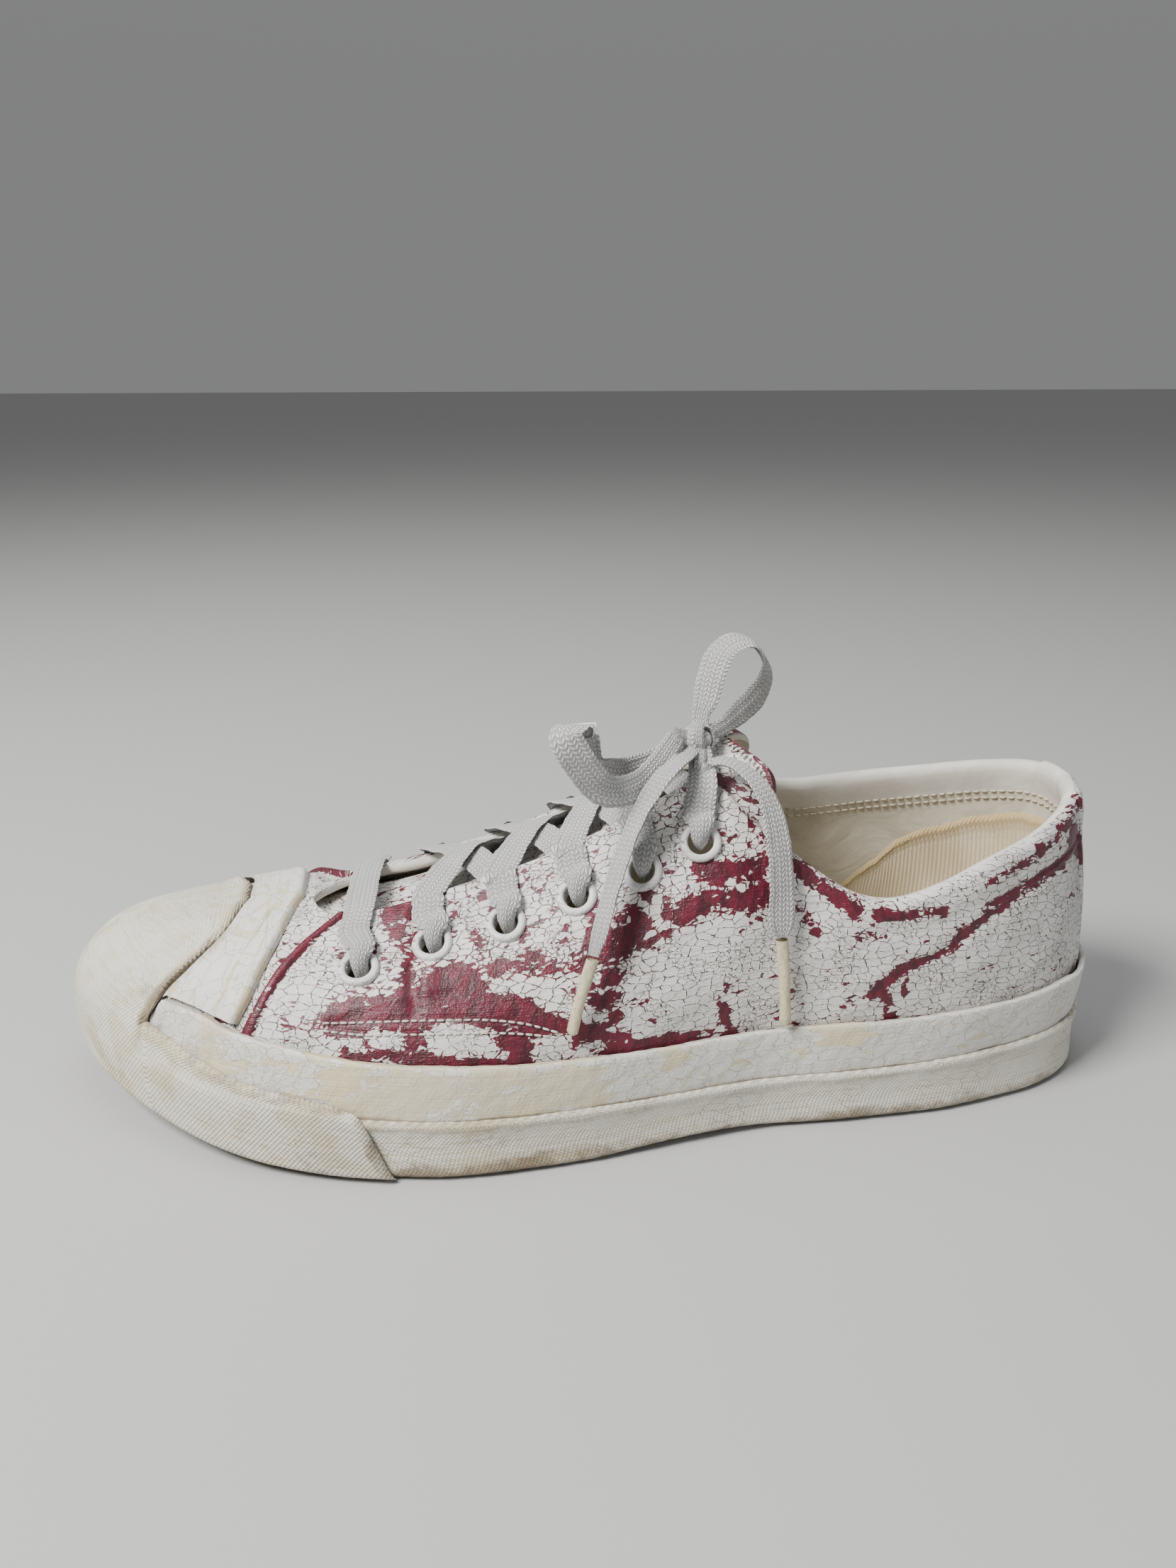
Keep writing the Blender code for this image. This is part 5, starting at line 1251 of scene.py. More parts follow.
def wall_at(side, k, z, out):
    """Point outside the upper's painted wall at a height, for what is wrapped round it."""
    t = t_at_height(side, k, z)
    thick = QUARTER_STEP * fall(k, edge_row(t) + 0.5, edge_row(t) + 1.1)
    thick += BACKSTAY_STEP * fall(k, BACKSTAY_ROWS + 0.5, BACKSTAY_ROWS + 1.1)
    normal = normals(side, k, t)
    if k in (0.0, LAST_ROW):
        normal = normal + normals(-side, k, t)
    return surface(side, k, t) + (thick + out) * unit(normal * [1, 1, 0])


def band_crest(k, x):
    """Height of the upper tier's top edge, which sinks under the toe cap."""
    return height(BAND_TOP, x) - BAND_DIP * max(0.0, k - BAND_DIP_ROW)


def upper_band_section(side, k, spread=0.0):
    """Outer points of the upper tier, low to high, moved out by spread."""
    x = station(side, k)
    lip, crest = height(RIDGE, x) + GAP, band_crest(k, x)
    rim = wall_at(side, k, crest - 0.8 * MM, BAND + spread)
    foot = outline_at(side, k, LIP - spread, lip)
    middle = (foot + rim) / 2 + 0.25 * MM * (foot - outline_at(side, k, LIP + 1, lip))
    return foot, middle, rim


def band_face(side, k, z, out):
    """Point outside the upper tier's face at the height z."""
    foot, middle, rim = upper_band_section(side, k, out)
    low, high = (foot, middle) if z <= middle[2] else (middle, rim)
    f = (z - low[2]) / (high[2] - low[2])
    p = low * (1 - f) + high * f
    return np.array([p[0], p[1], z])


def band_grid(section, last, count, steps):
    """Grid round the shoe from sections of control points, resampled at the given steps."""
    rows = list(even_rows(1, 0.0, count, high=last))
    columns = [(-1, k) for k in reversed(rows)] + [(1, k) for k in rows[1:]]
    return np.array([spline(section(side, float(k)), steps) for side, k in columns])


def uneven(grid, uv, amount):
    """The grid pushed outward and inward a little, as old rubber is."""
    u, v = uv[..., 0] / MM, uv[..., 1] / MM
    wave = (np.sin(u * 0.19 + 0.7) + 0.7 * np.sin(u * 0.47 + v * 0.3) * np.sin(v * 0.6 + 1)
            + 0.5 * np.sin(u * 1.3 + np.sin(v * 0.9)))
    along = np.gradient(grid, axis=0)
    up = np.gradient(grid, axis=1)
    return grid + unit(np.cross(along, up)) * (amount * wave)[..., None]


def by_table(x, table):
    """Values of a table of (x, value) rows."""
    keys, values = zip(*table)
    return np.interp(x, keys, values)


def make_upper_band():
    """Upper tier: slightly bowed face, a soft top edge that turns in to the leather."""
    def section(side, k):
        x = station(side, k)
        lip, crest = height(RIDGE, x) + GAP, band_crest(k, x)
        foot, middle, rim = upper_band_section(side, k)
        return [wall_at(side, k, lip, SLACK + 0.6 * MM), foot, middle, rim,
                wall_at(side, k, crest, 0.6 * BAND), wall_at(side, k, crest - 0.3 * MM, SLACK),
                wall_at(side, k, crest - 3 * MM, 0.1 * MM)]

    steps = np.r_[0, 0.5, 0.8, 0.93, 1, np.linspace(1, 3, 20)[1:], np.linspace(3, 5, 9)[1:], 5.5]
    grid = band_grid(section, UPPER_BAND_END, 250, steps)
    uv = arc_coordinates(grid)
    grid = uneven(grid, uv, 0.10 * MM)
    x, y, z = place_in_row(grid)
    up = np.broadcast_to(steps, x.shape)
    wear = by_table(x + 1.2 * np.sin(z * 1.3), UPPER_WORN)
    small = (x > 30) & (x < 90) & (wear > 0.5)
    wear = np.where(small, wear * np.maximum(ramp(z, 21.5, 23.5), 0.15), wear)
    crumbs = ramp(up, 2.55, 2.9) * fall(up, 3.4, 3.8)
    crumbs = crumbs * ramp(x, 100, 106) * fall(x, 165, 172)
    wear = wear * (1 - 0.42 * crumbs) - 0.25 * fall(up, 1.1, 1.35) * ramp(x, 100, 110)
    wear = np.where(y < 0, 0.25 + 0.4 * ramp(np.sin(x * 0.06 + 1.0), 0.2, 0.6), wear)
    # Darker towards the forefoot and the cap, at the tier's foot above the lip, and where its top turns in to the
    # leather.
    dirt = 0.14 + 0.27 * ramp(x, 100, 125) + 0.95 * fall(up, 1.0, 1.16)
    dirt = dirt + 0.9 * ramp(up, 3.3, 4.2) + 0.3 * ramp(x, 186, 204)
    skin_piece("side_tier_upper", grid, uv, SIDE_RUBBER, "rubber", "foxing_upper",
               wear=np.clip(wear, 0, 1), dirt=np.clip(dirt, 0, 1))


def make_lower_band():
    """Lower tier: a worn foot edge, a hollow face and the lip that stands out above it."""
    def section(side, k):
        x = station(side, k)
        base, lip = underside(x) + BAND_LIFT, height(RIDGE, x)
        rows = ((SOLE_INSET + SOLE_CHAMFER, base + 0.4 * MM), (1.5 * MM, base),
                (0.6 * MM, base + 0.7 * MM), (0.35 * MM, base + 2.0 * MM),
                (0.65 * MM, (base + lip) / 2), (0.45 * MM, lip - 3.4 * MM),
                (0.0, lip - 1.8 * MM), (-0.05 * MM, lip - 0.8 * MM),
                (0.5 * MM, lip - 0.05 * MM), (1.3 * MM, lip))
        return [outline_at(side, k, inset, z) for inset, z in rows] + [
            wall_at(side, k, lip, SLACK + 0.4 * MM)]

    steps = np.r_[0, 0.6, np.linspace(1, 3, 9), np.linspace(3, 6, 13)[1:],
                  np.linspace(6, 9, 16)[1:], 9.5, 10]
    grid = band_grid(section, LAST_ROW, 290, steps)
    uv = arc_coordinates(grid)
    grid = uneven(grid, uv, 0.08 * MM)
    x, y, z = place_in_row(grid)
    up = np.broadcast_to(steps, x.shape)
    wear = 0.12 + by_table(x, LOWER_WHITE) + 0.22 * fall(z, 3, 8)
    wear = wear + 0.5 * ramp(up, 5.4, 6.2) * fall(up, 8.2, 8.8) * ramp(x, 95, 120)
    dirt = 0.26 + 0.22 * ramp(x, 60, 110) + 0.55 * fall(z, 1.5, 6.5)
    grime = np.hypot((x - 110) / 9.0, (z - 3.5) / 3.0)
    dirt = dirt + 0.6 * fall(grime, 0.5, 1.4) * (y > 0)
    # Darker where the lip's top turns in under the upper tier, and towards the toe.
    dirt = dirt + 0.8 * ramp(up, 8.5, 9.2) + 0.2 * ramp(x, 180, 230)
    skin_piece("side_tier_lower", grid, uv, LOWER_RUBBER, "rubber", "foxing_lower",
               merge=0.01 * MM, wear=wear, dirt=np.clip(dirt, 0, 1))


def bumper_row(side, k, r):
    """Outer and inner point of the bumper's row r (0 low to 4 high) in the column k."""
    x = station(side, k)
    base, lip = underside(x) + BAND_LIFT + 0.3 * MM, height(RIDGE, x)
    top = height(BUMPER_TOP, x)
    if r < 3:
        z = (base, base + 2.4 * MM, lip + 0.3 * MM)[r]
        proud = (1.0 * MM, 0.9 * BUMPER_PROUD, BUMPER_PROUD)[r]
        return outline_at(side, k, -proud, z), outline_at(side, k, -GAP, z)
    z = (lip + top) / 2 + 0.6 * MM if r == 3 else top
    proud = BUMPER_PROUD if r == 3 else 0.8 * BUMPER_PROUD
    return band_face(side, k, z, SLACK + proud), band_face(side, k, z, SLACK)


def cap_point(side, k, t, out):
    """Offset point, which is the same from both sides on the ridge."""
    return offset(side, float(k), 1.0 if t > 0.9999 else t, out)


def cap_seat(side, foot, t, row):
    """Inner point of the cap at t: outside the upper tier's end, or the upper itself."""
    p = cap_point(side, row(t), t, SLACK + 0.2 * MM)
    crest = band_crest(UPPER_BAND_END, station(side, UPPER_BAND_END)) + 1.5 * MM
    if foot < UPPER_BAND_END + 0.5 and p[2] < crest:
        return band_face(side, foot, p[2], SLACK)
    return p


def cap_column(side, f):
    """Outer and inner points of the toe cap in one column, f from its edge to the tip."""
    def row(t):
        return min(smooth(CAP_EDGE, t) * (1 - f) + LAST_ROW * f, LAST_ROW)

    foot = row(0.0)
    points = [bumper_row(side, foot, r) for r in (0, 1, 2)]
    if f == 0.0:
        points += [bumper_row(side, foot, r) for r in (3, 4)]
        notch = row(0.33)
        z = band_crest(notch, station(side, notch)) - 0.2 * MM
        points.append((wall_at(side, notch, z, BAND + SLACK + 1.0 * MM),
                       wall_at(side, notch, z, BAND + SLACK)))
        for t in (0.42, 0.60):
            points.append((offset(side, row(t), t, CAP + 0.8 * MM),
                           offset(side, row(t), t, SLACK + 0.3 * MM)))
    else:
        start = outline_at(side, foot, -0.9 * BUMPER_PROUD,
                           height(RIDGE, station(side, foot)) + 3 * MM)
        end = cap_point(side, row(CAP_BLEND), CAP_BLEND, CAP)
        below = cap_point(side, row(CAP_BLEND - 0.05), CAP_BLEND - 0.05, CAP)
        reach = np.linalg.norm(end - start)
        p1 = start + np.array([0, 0, 0.40 * reach])
        p2 = end - 0.33 * reach * unit(end - below)
        low = t_at_height(side, foot, start[2])
        for g in (0.0, 0.22, 0.45, 0.7, 1.0):
            outer = ((1 - g)**3 * start + 3 * (1 - g)**2 * g * p1 + 3 * (1 - g) * g**2 * p2
                     + g**3 * end)
            points.append((outer, cap_seat(side, foot, low + (CAP_BLEND - low) * g, row)))
    low = 0.60 if f == 0.0 else CAP_BLEND
    for g in (0.25, 0.5, 0.75, 1.0):
        t = low + (1.0 - low) * g
        k = LAST_ROW if f == 1.0 else row(t)
        points.append((cap_point(side, k, t, CAP), cap_point(side, k, t, SLACK)))
    return points


def row_at(side, x):
    """Row number of the column whose foot stands at the distance x from the heel."""
    return find_row(0.0, LAST_ROW, lambda k: station(side, k) < x)


def edge_distance(points, edge):
    """Distance of each point from the nearest point of an edge."""
    flat = points.reshape(-1, 3)
    best = np.full(len(flat), 1e9)
    for start in range(0, len(flat), 4000):
        part = flat[start:start + 4000]
        best[start:start + 4000] = np.linalg.norm(part[:, None] - edge[None], axis=2).min(axis=1)
    return best.reshape(points.shape[:-1])


def rounded(outer, inner, edge, radius, lip):
    """Skin between inner and outer points that rolls in along the edge, with a raised lip."""
    away = edge_distance(outer, edge)
    full = np.sqrt(1 - (1 - np.clip(away / radius, 0, 1)) ** 2)
    out = unit(outer - inner)
    roll = lip * np.exp(-((away - 1.4 * radius) / (0.8 * radius)) ** 2)
    return inner + (outer - inner) * full[..., None] + out * roll[..., None], away


def make_toe_cap():
    """Toe cap and bumper in one skin: fine columns, closer together at the free edges."""
    near = [0, 0.012, 0.03, 0.06, 0.10, 0.15, 0.21, 0.28, 0.37, 0.48, 0.6, 0.73, 0.86]
    shares = np.r_[near, np.arange(1, CAP_COLUMNS - 0.05, 0.15), CAP_COLUMNS]
    net = {side: np.array([cap_column(side, c / CAP_COLUMNS) for c in range(CAP_COLUMNS + 1)])
           for side in (1, -1)}
    low_rows = np.r_[np.linspace(0, 0.9, 7), np.linspace(1, 3.4, 14), 3.55, 3.7, 3.8, 3.88,
                     3.94, 3.98, 4.0]
    high_rows = np.r_[np.arange(4.12, 10.95, 0.14), 11.0]
    both = []
    for side in (1, -1):
        across = spline(np.concatenate([net[side], net[-side][:, 10:11]], axis=1), shares)
        grid = spline(across.transpose(1, 0, 2, 3), np.r_[low_rows, high_rows])
        both.append(grid.transpose(1, 0, 2, 3))
    cap = np.concatenate([both[0], both[1][::-1][1:]], axis=0)
    columns, rows = cap.shape[:2]
    shared = len(low_rows)
    tails = []
    for side, first in ((1, cap[0]), (-1, cap[-1])):
        table = []
        for c in range(TAIL_COLUMNS):
            place = []
            for r in range(5):
                tail = row_at(side, TAIL[r] * LENGTH)
                k = tail + (CAP_EDGE[0][1] - tail) * c / TAIL_COLUMNS
                place.append(bumper_row(side, k, r))
            table.append(spline(np.array(place), low_rows))
        table += [first[:shared], both[0 if side > 0 else 1][5, :shared]]
        at = np.r_[0, 0.02, 0.05, 0.09, 0.14, 0.2, 0.28, np.arange(0.4, TAIL_COLUMNS - 0.05, 0.12)]
        tails.append(spline(np.array(table), at))
    edge = np.concatenate([tails[0][::-1, shared - 1, 0], cap[0, shared - 1:, 0],
                           cap[-1, shared - 1:, 0], tails[1][:, shared - 1, 0]])
    ends = np.concatenate([tails[0][0, :, 0], tails[1][0, :, 0]])
    foot = np.concatenate([tails[0][::-1, 0, 0], cap[:, 0, 0], tails[1][:, 0, 0]])
    spread = np.r_[0, np.cumsum(np.linalg.norm(np.diff(foot, axis=0), axis=1))]
    even = np.arange(0, spread[-1], 0.4 * MM)
    foot = np.stack([np.interp(even, spread, foot[:, i]) for i in range(3)], axis=1)
    free = np.concatenate([edge, ends, foot])
    points, coordinates, wears, dirt_and_shade_parts = [], [], [], []
    spans = arc_coordinates(cap[:, :, 0], middle=len(shares) - 1)
    for which, grid in enumerate((cap, *tails)):
        skin, away = rounded(grid[:, :, 0], grid[:, :, 1], free, 1.5 * MM, 0.22 * MM)
        uv = spans
        if which:
            uv = arc_coordinates(grid[:, :, 0], middle=-1)
            uv[..., 0] += spans[0 if which == 1 else -1, :shared, 0]
        x, y, z = place_in_row(skin)
        rear = edge_distance(grid[:, :, 0], edge) / MM
        tip = edge_distance(grid[:, :, 0], ends) / MM
        # Darker along the cap's free edges and in the notch: painted shade there; elsewhere dirt, low down and at the
        # tail's ends.
        dirt = 0.34 + 0.28 * fall(z, 4, 12) + 0.45 * fall(rear, 0.6, 3.5)
        dirt = dirt + 0.9 * fall(tip, 1.2, 3.5) * fall(z, 9, 17)
        dirt = dirt + 0.45 * fall(np.hypot((x - 212) / 9, (z - 35) / 5), 0.4, 1.5)
        wear = 0.30 + 0.22 * np.sin(x * 0.11 + z * 0.13) + 0.25 * fall(rear, 1, 4)
        wear = wear - 0.15 * fall(x, 168, 196) * fall(np.abs(z - 12), 4, 9)
        points.append(skin.reshape(-1, 3))
        coordinates.append(uv.reshape(-1, 2))
        wears.append(wear.ravel())
        dirt_and_shade_parts.append(np.clip(dirt, 0, 1).ravel())
    faces = [grid_faces(columns, rows)]
    start = columns * rows
    for which, grid in enumerate(tails):
        quads = grid_faces(len(grid), shared) + start
        last = start + (len(grid) - 1) * shared
        first = 0 if which == 0 else (columns - 1) * rows
        seam = [(last + r, first + r, first + r + 1, last + r + 1) for r in range(shared - 1)]
        faces.append(np.concatenate([quads, seam]))
        start += len(grid) * shared
    piece = make_mesh("toe_cap_skin", np.concatenate(points), np.concatenate(faces),
                      np.concatenate(coordinates), [CAP_RUBBER],
                      {"wear": np.concatenate(wears), "dirt": np.concatenate(dirt_and_shade_parts)},
                      merge=0.01 * MM)
    return dressed(piece, "cap_rubber", "toe_cap")


def make_toe_strip():
    """Strip across the vamp behind the cap, with a rolled rear edge and flattened folds."""
    across = np.r_[0, 0.012, 0.03, 0.055, 0.085, 0.12, np.linspace(0.16, 0.97, 22), 1.0]
    outer, inner = [], []
    for side in (1, -1):
        heights = np.linspace(0, 1, 60)
        for g in (heights if side > 0 else heights[-2::-1]):
            rows, lows = [], []
            for f in across:
                foot = smooth(STRIP_EDGE, 0.3) * (1 - f) + (smooth(CAP_EDGE, 0.3) - 0.2) * f
                low = t_at_height(side, foot, band_crest(foot, station(side, foot)) + GAP)
                t = low + (1 - low) * g
                gap = 0.09 + 0.1 * max(0.0, 0.5 - t)
                rows.append(smooth(STRIP_EDGE, t) * (1 - f) + (smooth(CAP_EDGE, t) - gap) * f)
                lows.append(1.0 if t > 0.9999 else t)
            rows, lows = np.array(rows), np.array(lows)
            fold = 0.14 * MM * np.sin(across * 9 + 2.2 * g) * np.sin(5 * g * side + across * 3)
            outer.append(offset(side, rows, lows, SLACK + STRIP + fold))
            inner.append(offset(side, rows, lows, 0.15 * MM))
    outer, inner = np.array(outer), np.array(inner)
    skin, away = rounded(outer, inner, outer[:, 0], 1.3 * MM, 0.28 * MM)
    x, y, z = place_in_row(skin)
    uv = arc_coordinates(skin, middle=len(skin) // 2)
    u = uv[..., 1] / MM
    folds = sum_of_lines(uv[..., 0] / MM, u, [
        ([(-60, 7), (-30, 9), (0, 6), (30, 8), (60, 7)], 0.5, 1.0),
        ([(-44, 2), (-20, 5), (10, 13)], 0.4, 0.8)])
    wear = 0.20 + 0.5 * folds + 0.25 * fall(away / MM, 0.4, 1.6)
    # Darker at the front under the cap's edge and at the rolled rear edge: painted shade; darker along the folds:
    # dirt.
    dirt = 0.28 + 0.45 * folds + 0.5 * ramp(np.broadcast_to(across, x.shape), 0.80, 0.98)
    dirt = dirt + 0.3 * fall(away / MM, 0.0, 1.0)
    skin_piece("toe_strip_skin", skin, uv, STRIP_RUBBER, "rubber", "toe_strip",
               wear=np.clip(wear, 0, 1), dirt=np.clip(dirt, 0, 1))


make_upper_band()
make_lower_band()
make_toe_cap()
make_toe_strip()


# Tongue: painted leather over lining, stitched down at the vamp and free at the top, where a
# thick thread is overcast round its cut edge. The edge shows beside the bow.
def plain(name, colour, rough, grain=0.00003, scale=900.0, shade=0.72, **more):
    """Simple material with a little unevenness in colour, gloss and height."""
    made, place, wear, dirt = start_material(name)
    cloud = noise(place, scale, 3.0, 0.6)
    dark = tuple(c * shade for c in colour)
    return finish(made, blend(between(cloud, 0.35, 0.65), colour, dark),
                  between(cloud, 0.3, 0.7, rough - 0.08, rough + 0.08), (cloud, grain), **more)


THREAD = plain("seam_thread", (0.62, 0.59, 0.54), 0.8)
LINING_THREAD = plain("lining_thread", (0.60, 0.54, 0.42), 0.85)

# Rows of the tongue: row number, distances of its edge and its shoulder below the throat's edge
# in millimetres, then the rise of its middle, or shares that place the shoulder and the crown
TONGUE_EDGE_ROWS = ((23.0, 17, 8), (22.0, 17, 8))
TONGUE_ROWS = ((20.6, 12, 3, -0.5), (19.6, 10, 1, 0.8), (18, 9, 0.5, 2.0), (16, 8, 0.5, 2.6),
               (14.4, 8, 0.5, 3.2), (13.2, 8, 0.5, 4.0))
TONGUE_TOP = ((11.6, 9, (0.392, 0.262, 0.985), (0.404, 0.0, 1.050)),
              (10.4, 8, (0.368, 0.285, 1.005), (0.390, 0.0, 1.082)),
              (9.4, 3, (0.336, 0.330, 1.040), (0.368, 0.0, 1.112)))
OVERCAST_FROM, OVERCAST_PITCH = 95, 1.55 * MM


def tongue_rows():
    """Sections of the tongue: edge, shoulder, crown, shoulder, edge."""
    under = -(WALL + TONGUE_SLACK)
    rows = []

    def wall_point(side, k, distance, out):
        return offset(side, k, t_at_distance(side, k, distance * MM), out)

    for k, edge, shoulder in TONGUE_EDGE_ROWS:
        rows.append([wall_point(1, k, edge, under), wall_point(1, k, shoulder, under),
                     offset(1, k, 1.0, under), wall_point(-1, k, shoulder, under),
                     wall_point(-1, k, edge, under)])
    for k, edge, shoulder, crest in TONGUE_ROWS:
        left, right = (wall_point(s, k, shoulder, under) for s in (1, -1))
        rows.append([wall_point(1, k, edge, under), left, (left + right) / 2 + [0, 0, crest * MM],
                     right, wall_point(-1, k, edge, under)])
    inside = under - 1.1 * RIM_ROLL
    for k, edge, shoulder, crown in TONGUE_TOP:
        points = [wall_point(1, k, edge, inside)]
        for side, (x, y, z) in ((1, shoulder), (1, crown), (-1, shoulder)):
            points.append(np.array([x * LENGTH, side * y * HALF_BALL, z * INSTEP]))
        points.append(wall_point(-1, k, edge, inside))
        rows.append(points)
    return np.array(rows)


def pills(name, places, length, slot):
    """Stitches as small rounded threads: each place is (point, along, out)."""
    sides, radius = 6, 0.30 * MM
    rings = ((-0.5, 0.25), (-0.42, 0.8), (-0.2, 1.0), (0.2, 1.0), (0.42, 0.8), (0.5, 0.25))
    points, faces = [], []
    for n, (at, along, out) in enumerate(places):
        along = unit(np.array(along))
        side = unit(np.cross(along, out))
        up = np.cross(side, along)
        size = length * (1 + 0.08 * math.sin(7.3 * n))
        start = len(points)
        for g, fat in rings:
            arch = radius * (0.9 - 3.2 * g * g)
            for s in range(sides):
                a = 2 * math.pi * s / sides
                points.append(at + along * g * size + up * arch
                              + (side * math.cos(a) + up * math.sin(a)) * radius * fat)
        for r in range(len(rings) - 1):
            for s in range(sides):
                a, b = start + r * sides + s, start + r * sides + (s + 1) % sides
                faces.append((a, b, b + sides, a + sides))
        faces.append(tuple(range(start, start + sides)))
        faces.append(tuple(range(start + 5 * sides, start + 6 * sides)))
    points = np.array(points)
    made = make_mesh(name, points, faces, points[:, [0, 2]], [slot],
                     {"dirt": np.full(len(points), 0.3)})
    return dressed(made, "lining" if slot is LINING_THREAD else "painted_leather")


def along_line(points, outs, pitch):
    """Evenly spaced (place, direction, outward) along a dense line with its normals."""
    gone = np.r_[0, np.cumsum(np.linalg.norm(np.diff(points, axis=0), axis=1))]
    reach = np.arange(pitch / 2, gone[-1], pitch)
    at = np.stack([np.interp(reach, gone, points[:, i]) for i in range(3)], axis=1)
    ahead = np.stack([np.interp(reach + 0.4 * MM, gone, points[:, i]) for i in range(3)], axis=1)
    own = np.minimum((reach / gone[-1] * len(outs)).astype(int), len(outs) - 1)
    return list(zip(at, ahead - at, outs[own]))


def make_tongue():
    """Tongue: painted leather above, lining below and a thick overcast edge round its top."""
    control = tongue_rows()
    lengthwise = np.linspace(0, len(control) - 1, 150)
    across = np.r_[0, 0.02, 0.05, 0.09, 0.14, np.linspace(0.2, 3.8, 62), 3.86, 3.91, 3.95, 3.98, 4]
    top = spline(spline(control, lengthwise).transpose(1, 0, 2), across).transpose(1, 0, 2)
    normal = unit(np.cross(np.gradient(top, axis=0), np.gradient(top, axis=1)))
    normal = np.where(normal[..., 2:] < 0, -normal, normal)
    ends = np.minimum(across, 4 - across)[None, :] * np.ones(top.shape[:2])
    from_top = (len(control) - 1 - lengthwise)[:, None] * np.ones(top.shape[:2])
    rim = np.minimum(ends / 0.16, from_top / 0.10)
    shown = ramp(lengthwise, 7.4, 8.0)[:, None]
    thick = TONGUE / 2 * np.sqrt(1 - (1 - np.clip(rim, 0.03, 1)) ** 2)
    cord = 0.55 * MM * np.exp(-((rim - 0.9) / 0.55) ** 2) * shown
    x, y, z = place_in_row(top)
    ripple = 0.25 * MM * np.sin(x * 0.23 + y * 0.1) * np.sin(y * 0.27 + 1.1) * ramp(rim, 1, 2)
    middle = top - normal * TONGUE / 2
    upper = middle + normal * (thick + cord + ripple)[..., None]
    lower = middle - normal * (thick + 0.6 * cord)[..., None]
    rows = top.shape[1]
    grid = np.concatenate([upper, lower[:, ::-1]], axis=1)
    uv = arc_coordinates(grid) + [0, 1.3]
    faces = grid_faces(*grid.shape[:2])
    row_of = faces[:, 0] % grid.shape[1]
    slot = np.where(row_of < rows - 1, 0, 1)
    last = (len(lengthwise) - 1) * grid.shape[1]
    caps = [(last + r, last + r + 1, last + 2 * rows - 2 - r, last + 2 * rows - 1 - r)
            for r in range(rows - 1)]
    faces = np.concatenate([faces, caps])
    slot = np.r_[slot, np.zeros(len(caps), int)]
    wear = 0.16 + 0.16 * shown * ramp(np.sin(x * 0.35 + y * 0.22), 0.1, 0.8)
    wear = np.maximum(wear, 0.62 * shown * fall(rim, 0.9, 2.6))
    dirt = 0.30 + 0.5 * fall(lengthwise, 2.2, 3.6)[:, None] * np.ones(top.shape[:2])
    values = {"wear": np.concatenate([wear, np.full_like(wear, 0.2)], axis=1),
              "dirt": np.concatenate([dirt, dirt[:, ::-1]], axis=1)}
    piece = make_mesh("tongue_skin", grid, faces, uv, [LEATHER, LINING], values, slot,
                      merge=0.01 * MM)
    dressed(piece, "painted_leather", "tongue")
    places = []
    for column, sign in ((2, -1.0), (len(across) - 3, 1.0)):
        line = along_line(upper[OVERCAST_FROM:, column], normal[OVERCAST_FROM:, column],
                          OVERCAST_PITCH)
        for i, (at, along, out) in enumerate(line):
            sideways = unit(np.cross(along, out)) * sign
            slant = 0.25 * math.sin(5.1 * i)
            places.append((at + out * 0.1 * MM, sideways + unit(along) * slant,
                           out + 0.5 * sideways))
    crest = upper[-4, 3:-3]
    for at, along, out in along_line(crest, crest * 0 + [0.2, 0, 1.0], OVERCAST_PITCH):
        places.append((at, unit(np.cross(along, (0, 0, 1.0))), out))
    pills("tongue_overcast", places, 3.4 * MM, THREAD)


make_tongue()


# Footbed: a board under pale lining leather, dropped into the shoe, dished and darkened where
# the heel and the ball of the foot have pressed on it.
def across_sole(count, steps, inset, level, side_wall):
    """Skin across the sole inside an inset, at the heights of level(x, w), with its sides."""
    columns = even_rows(1, 0.0, count)
    grid = np.zeros((count, steps, 3))
    for c, k in enumerate(columns):
        left, right = (outline_at(side, float(k), inset, 0.0) for side in (1, -1))
        for r, w in enumerate(np.linspace(0, 1, steps)):
            p = left * (1 - w) + right * w
            grid[c, r] = (p[0], p[1], level(station(1, float(k)), w))
    sides = grid + [0, 0, side_wall]
    return np.concatenate([sides[:, :1], grid, sides[:, -1:]], axis=1)


def make_footbed():
    """Insole: worn lining over a dished bed, darker where the foot has pressed."""
    skin = across_sole(150, 40, FEATHER_INSET + WALL + 2.5 * GAP, lambda x, w: (
        height(PLATFORM, x) + INSOLE - 0.8 * MM * math.sin(math.pi * w)), -INSOLE * 0.9)
    x, y, z = place_in_row(skin)
    heel = np.hypot(x / 26, (y + 2) / 20)
    ball = np.hypot((x - 128) / 34, y / 30)
    dirt = 0.30 + 0.45 * fall(heel, 0.5, 1.2) + 0.5 * fall(ball, 0.5, 1.2)
    skin_piece("footbed", skin, arc_coordinates(skin) + [0, 2.0], LINING, "lining", "insole",
               merge=0.01 * MM, dirt=np.clip(dirt, 0, 1))


make_footbed()


# Outsole: cream rubber under the whole shoe, moulded with a shallow tread of diamonds, which
# is worn smooth at the back of the heel and under the ball.
def tread_rubber():
    """Outsole rubber with a shallow moulded diamond tread, painted darker in its grooves as shade, worn smooth where
    it rubs.
    """
    made, place, wear, dirt = start_material("tread_rubber")
    raised = between(woven(place, 0.0062, 0.785), -0.25, 0.15)
    cloud = noise(place, 70.0, 4.0, 0.6)
    colour = blend(between(cloud, 0.35, 0.65), (0.55, 0.50, 0.40), (0.44, 0.39, 0.30))
    # Painted shade: the grooves between the raised diamonds are darkened.
    colour = blend((1.0 - raised) * 0.55, colour, (0.17, 0.14, 0.10))
    colour = soiled_and_shaded(place, dirt, colour, (0.8, DIRT_AND_SHADE_BROWN))
    return finish(made, colour, 0.7, (raised * (1.0 - wear * 0.8), 0.0005), (cloud, 0.0002))


TREAD_RUBBER = tread_rubber()


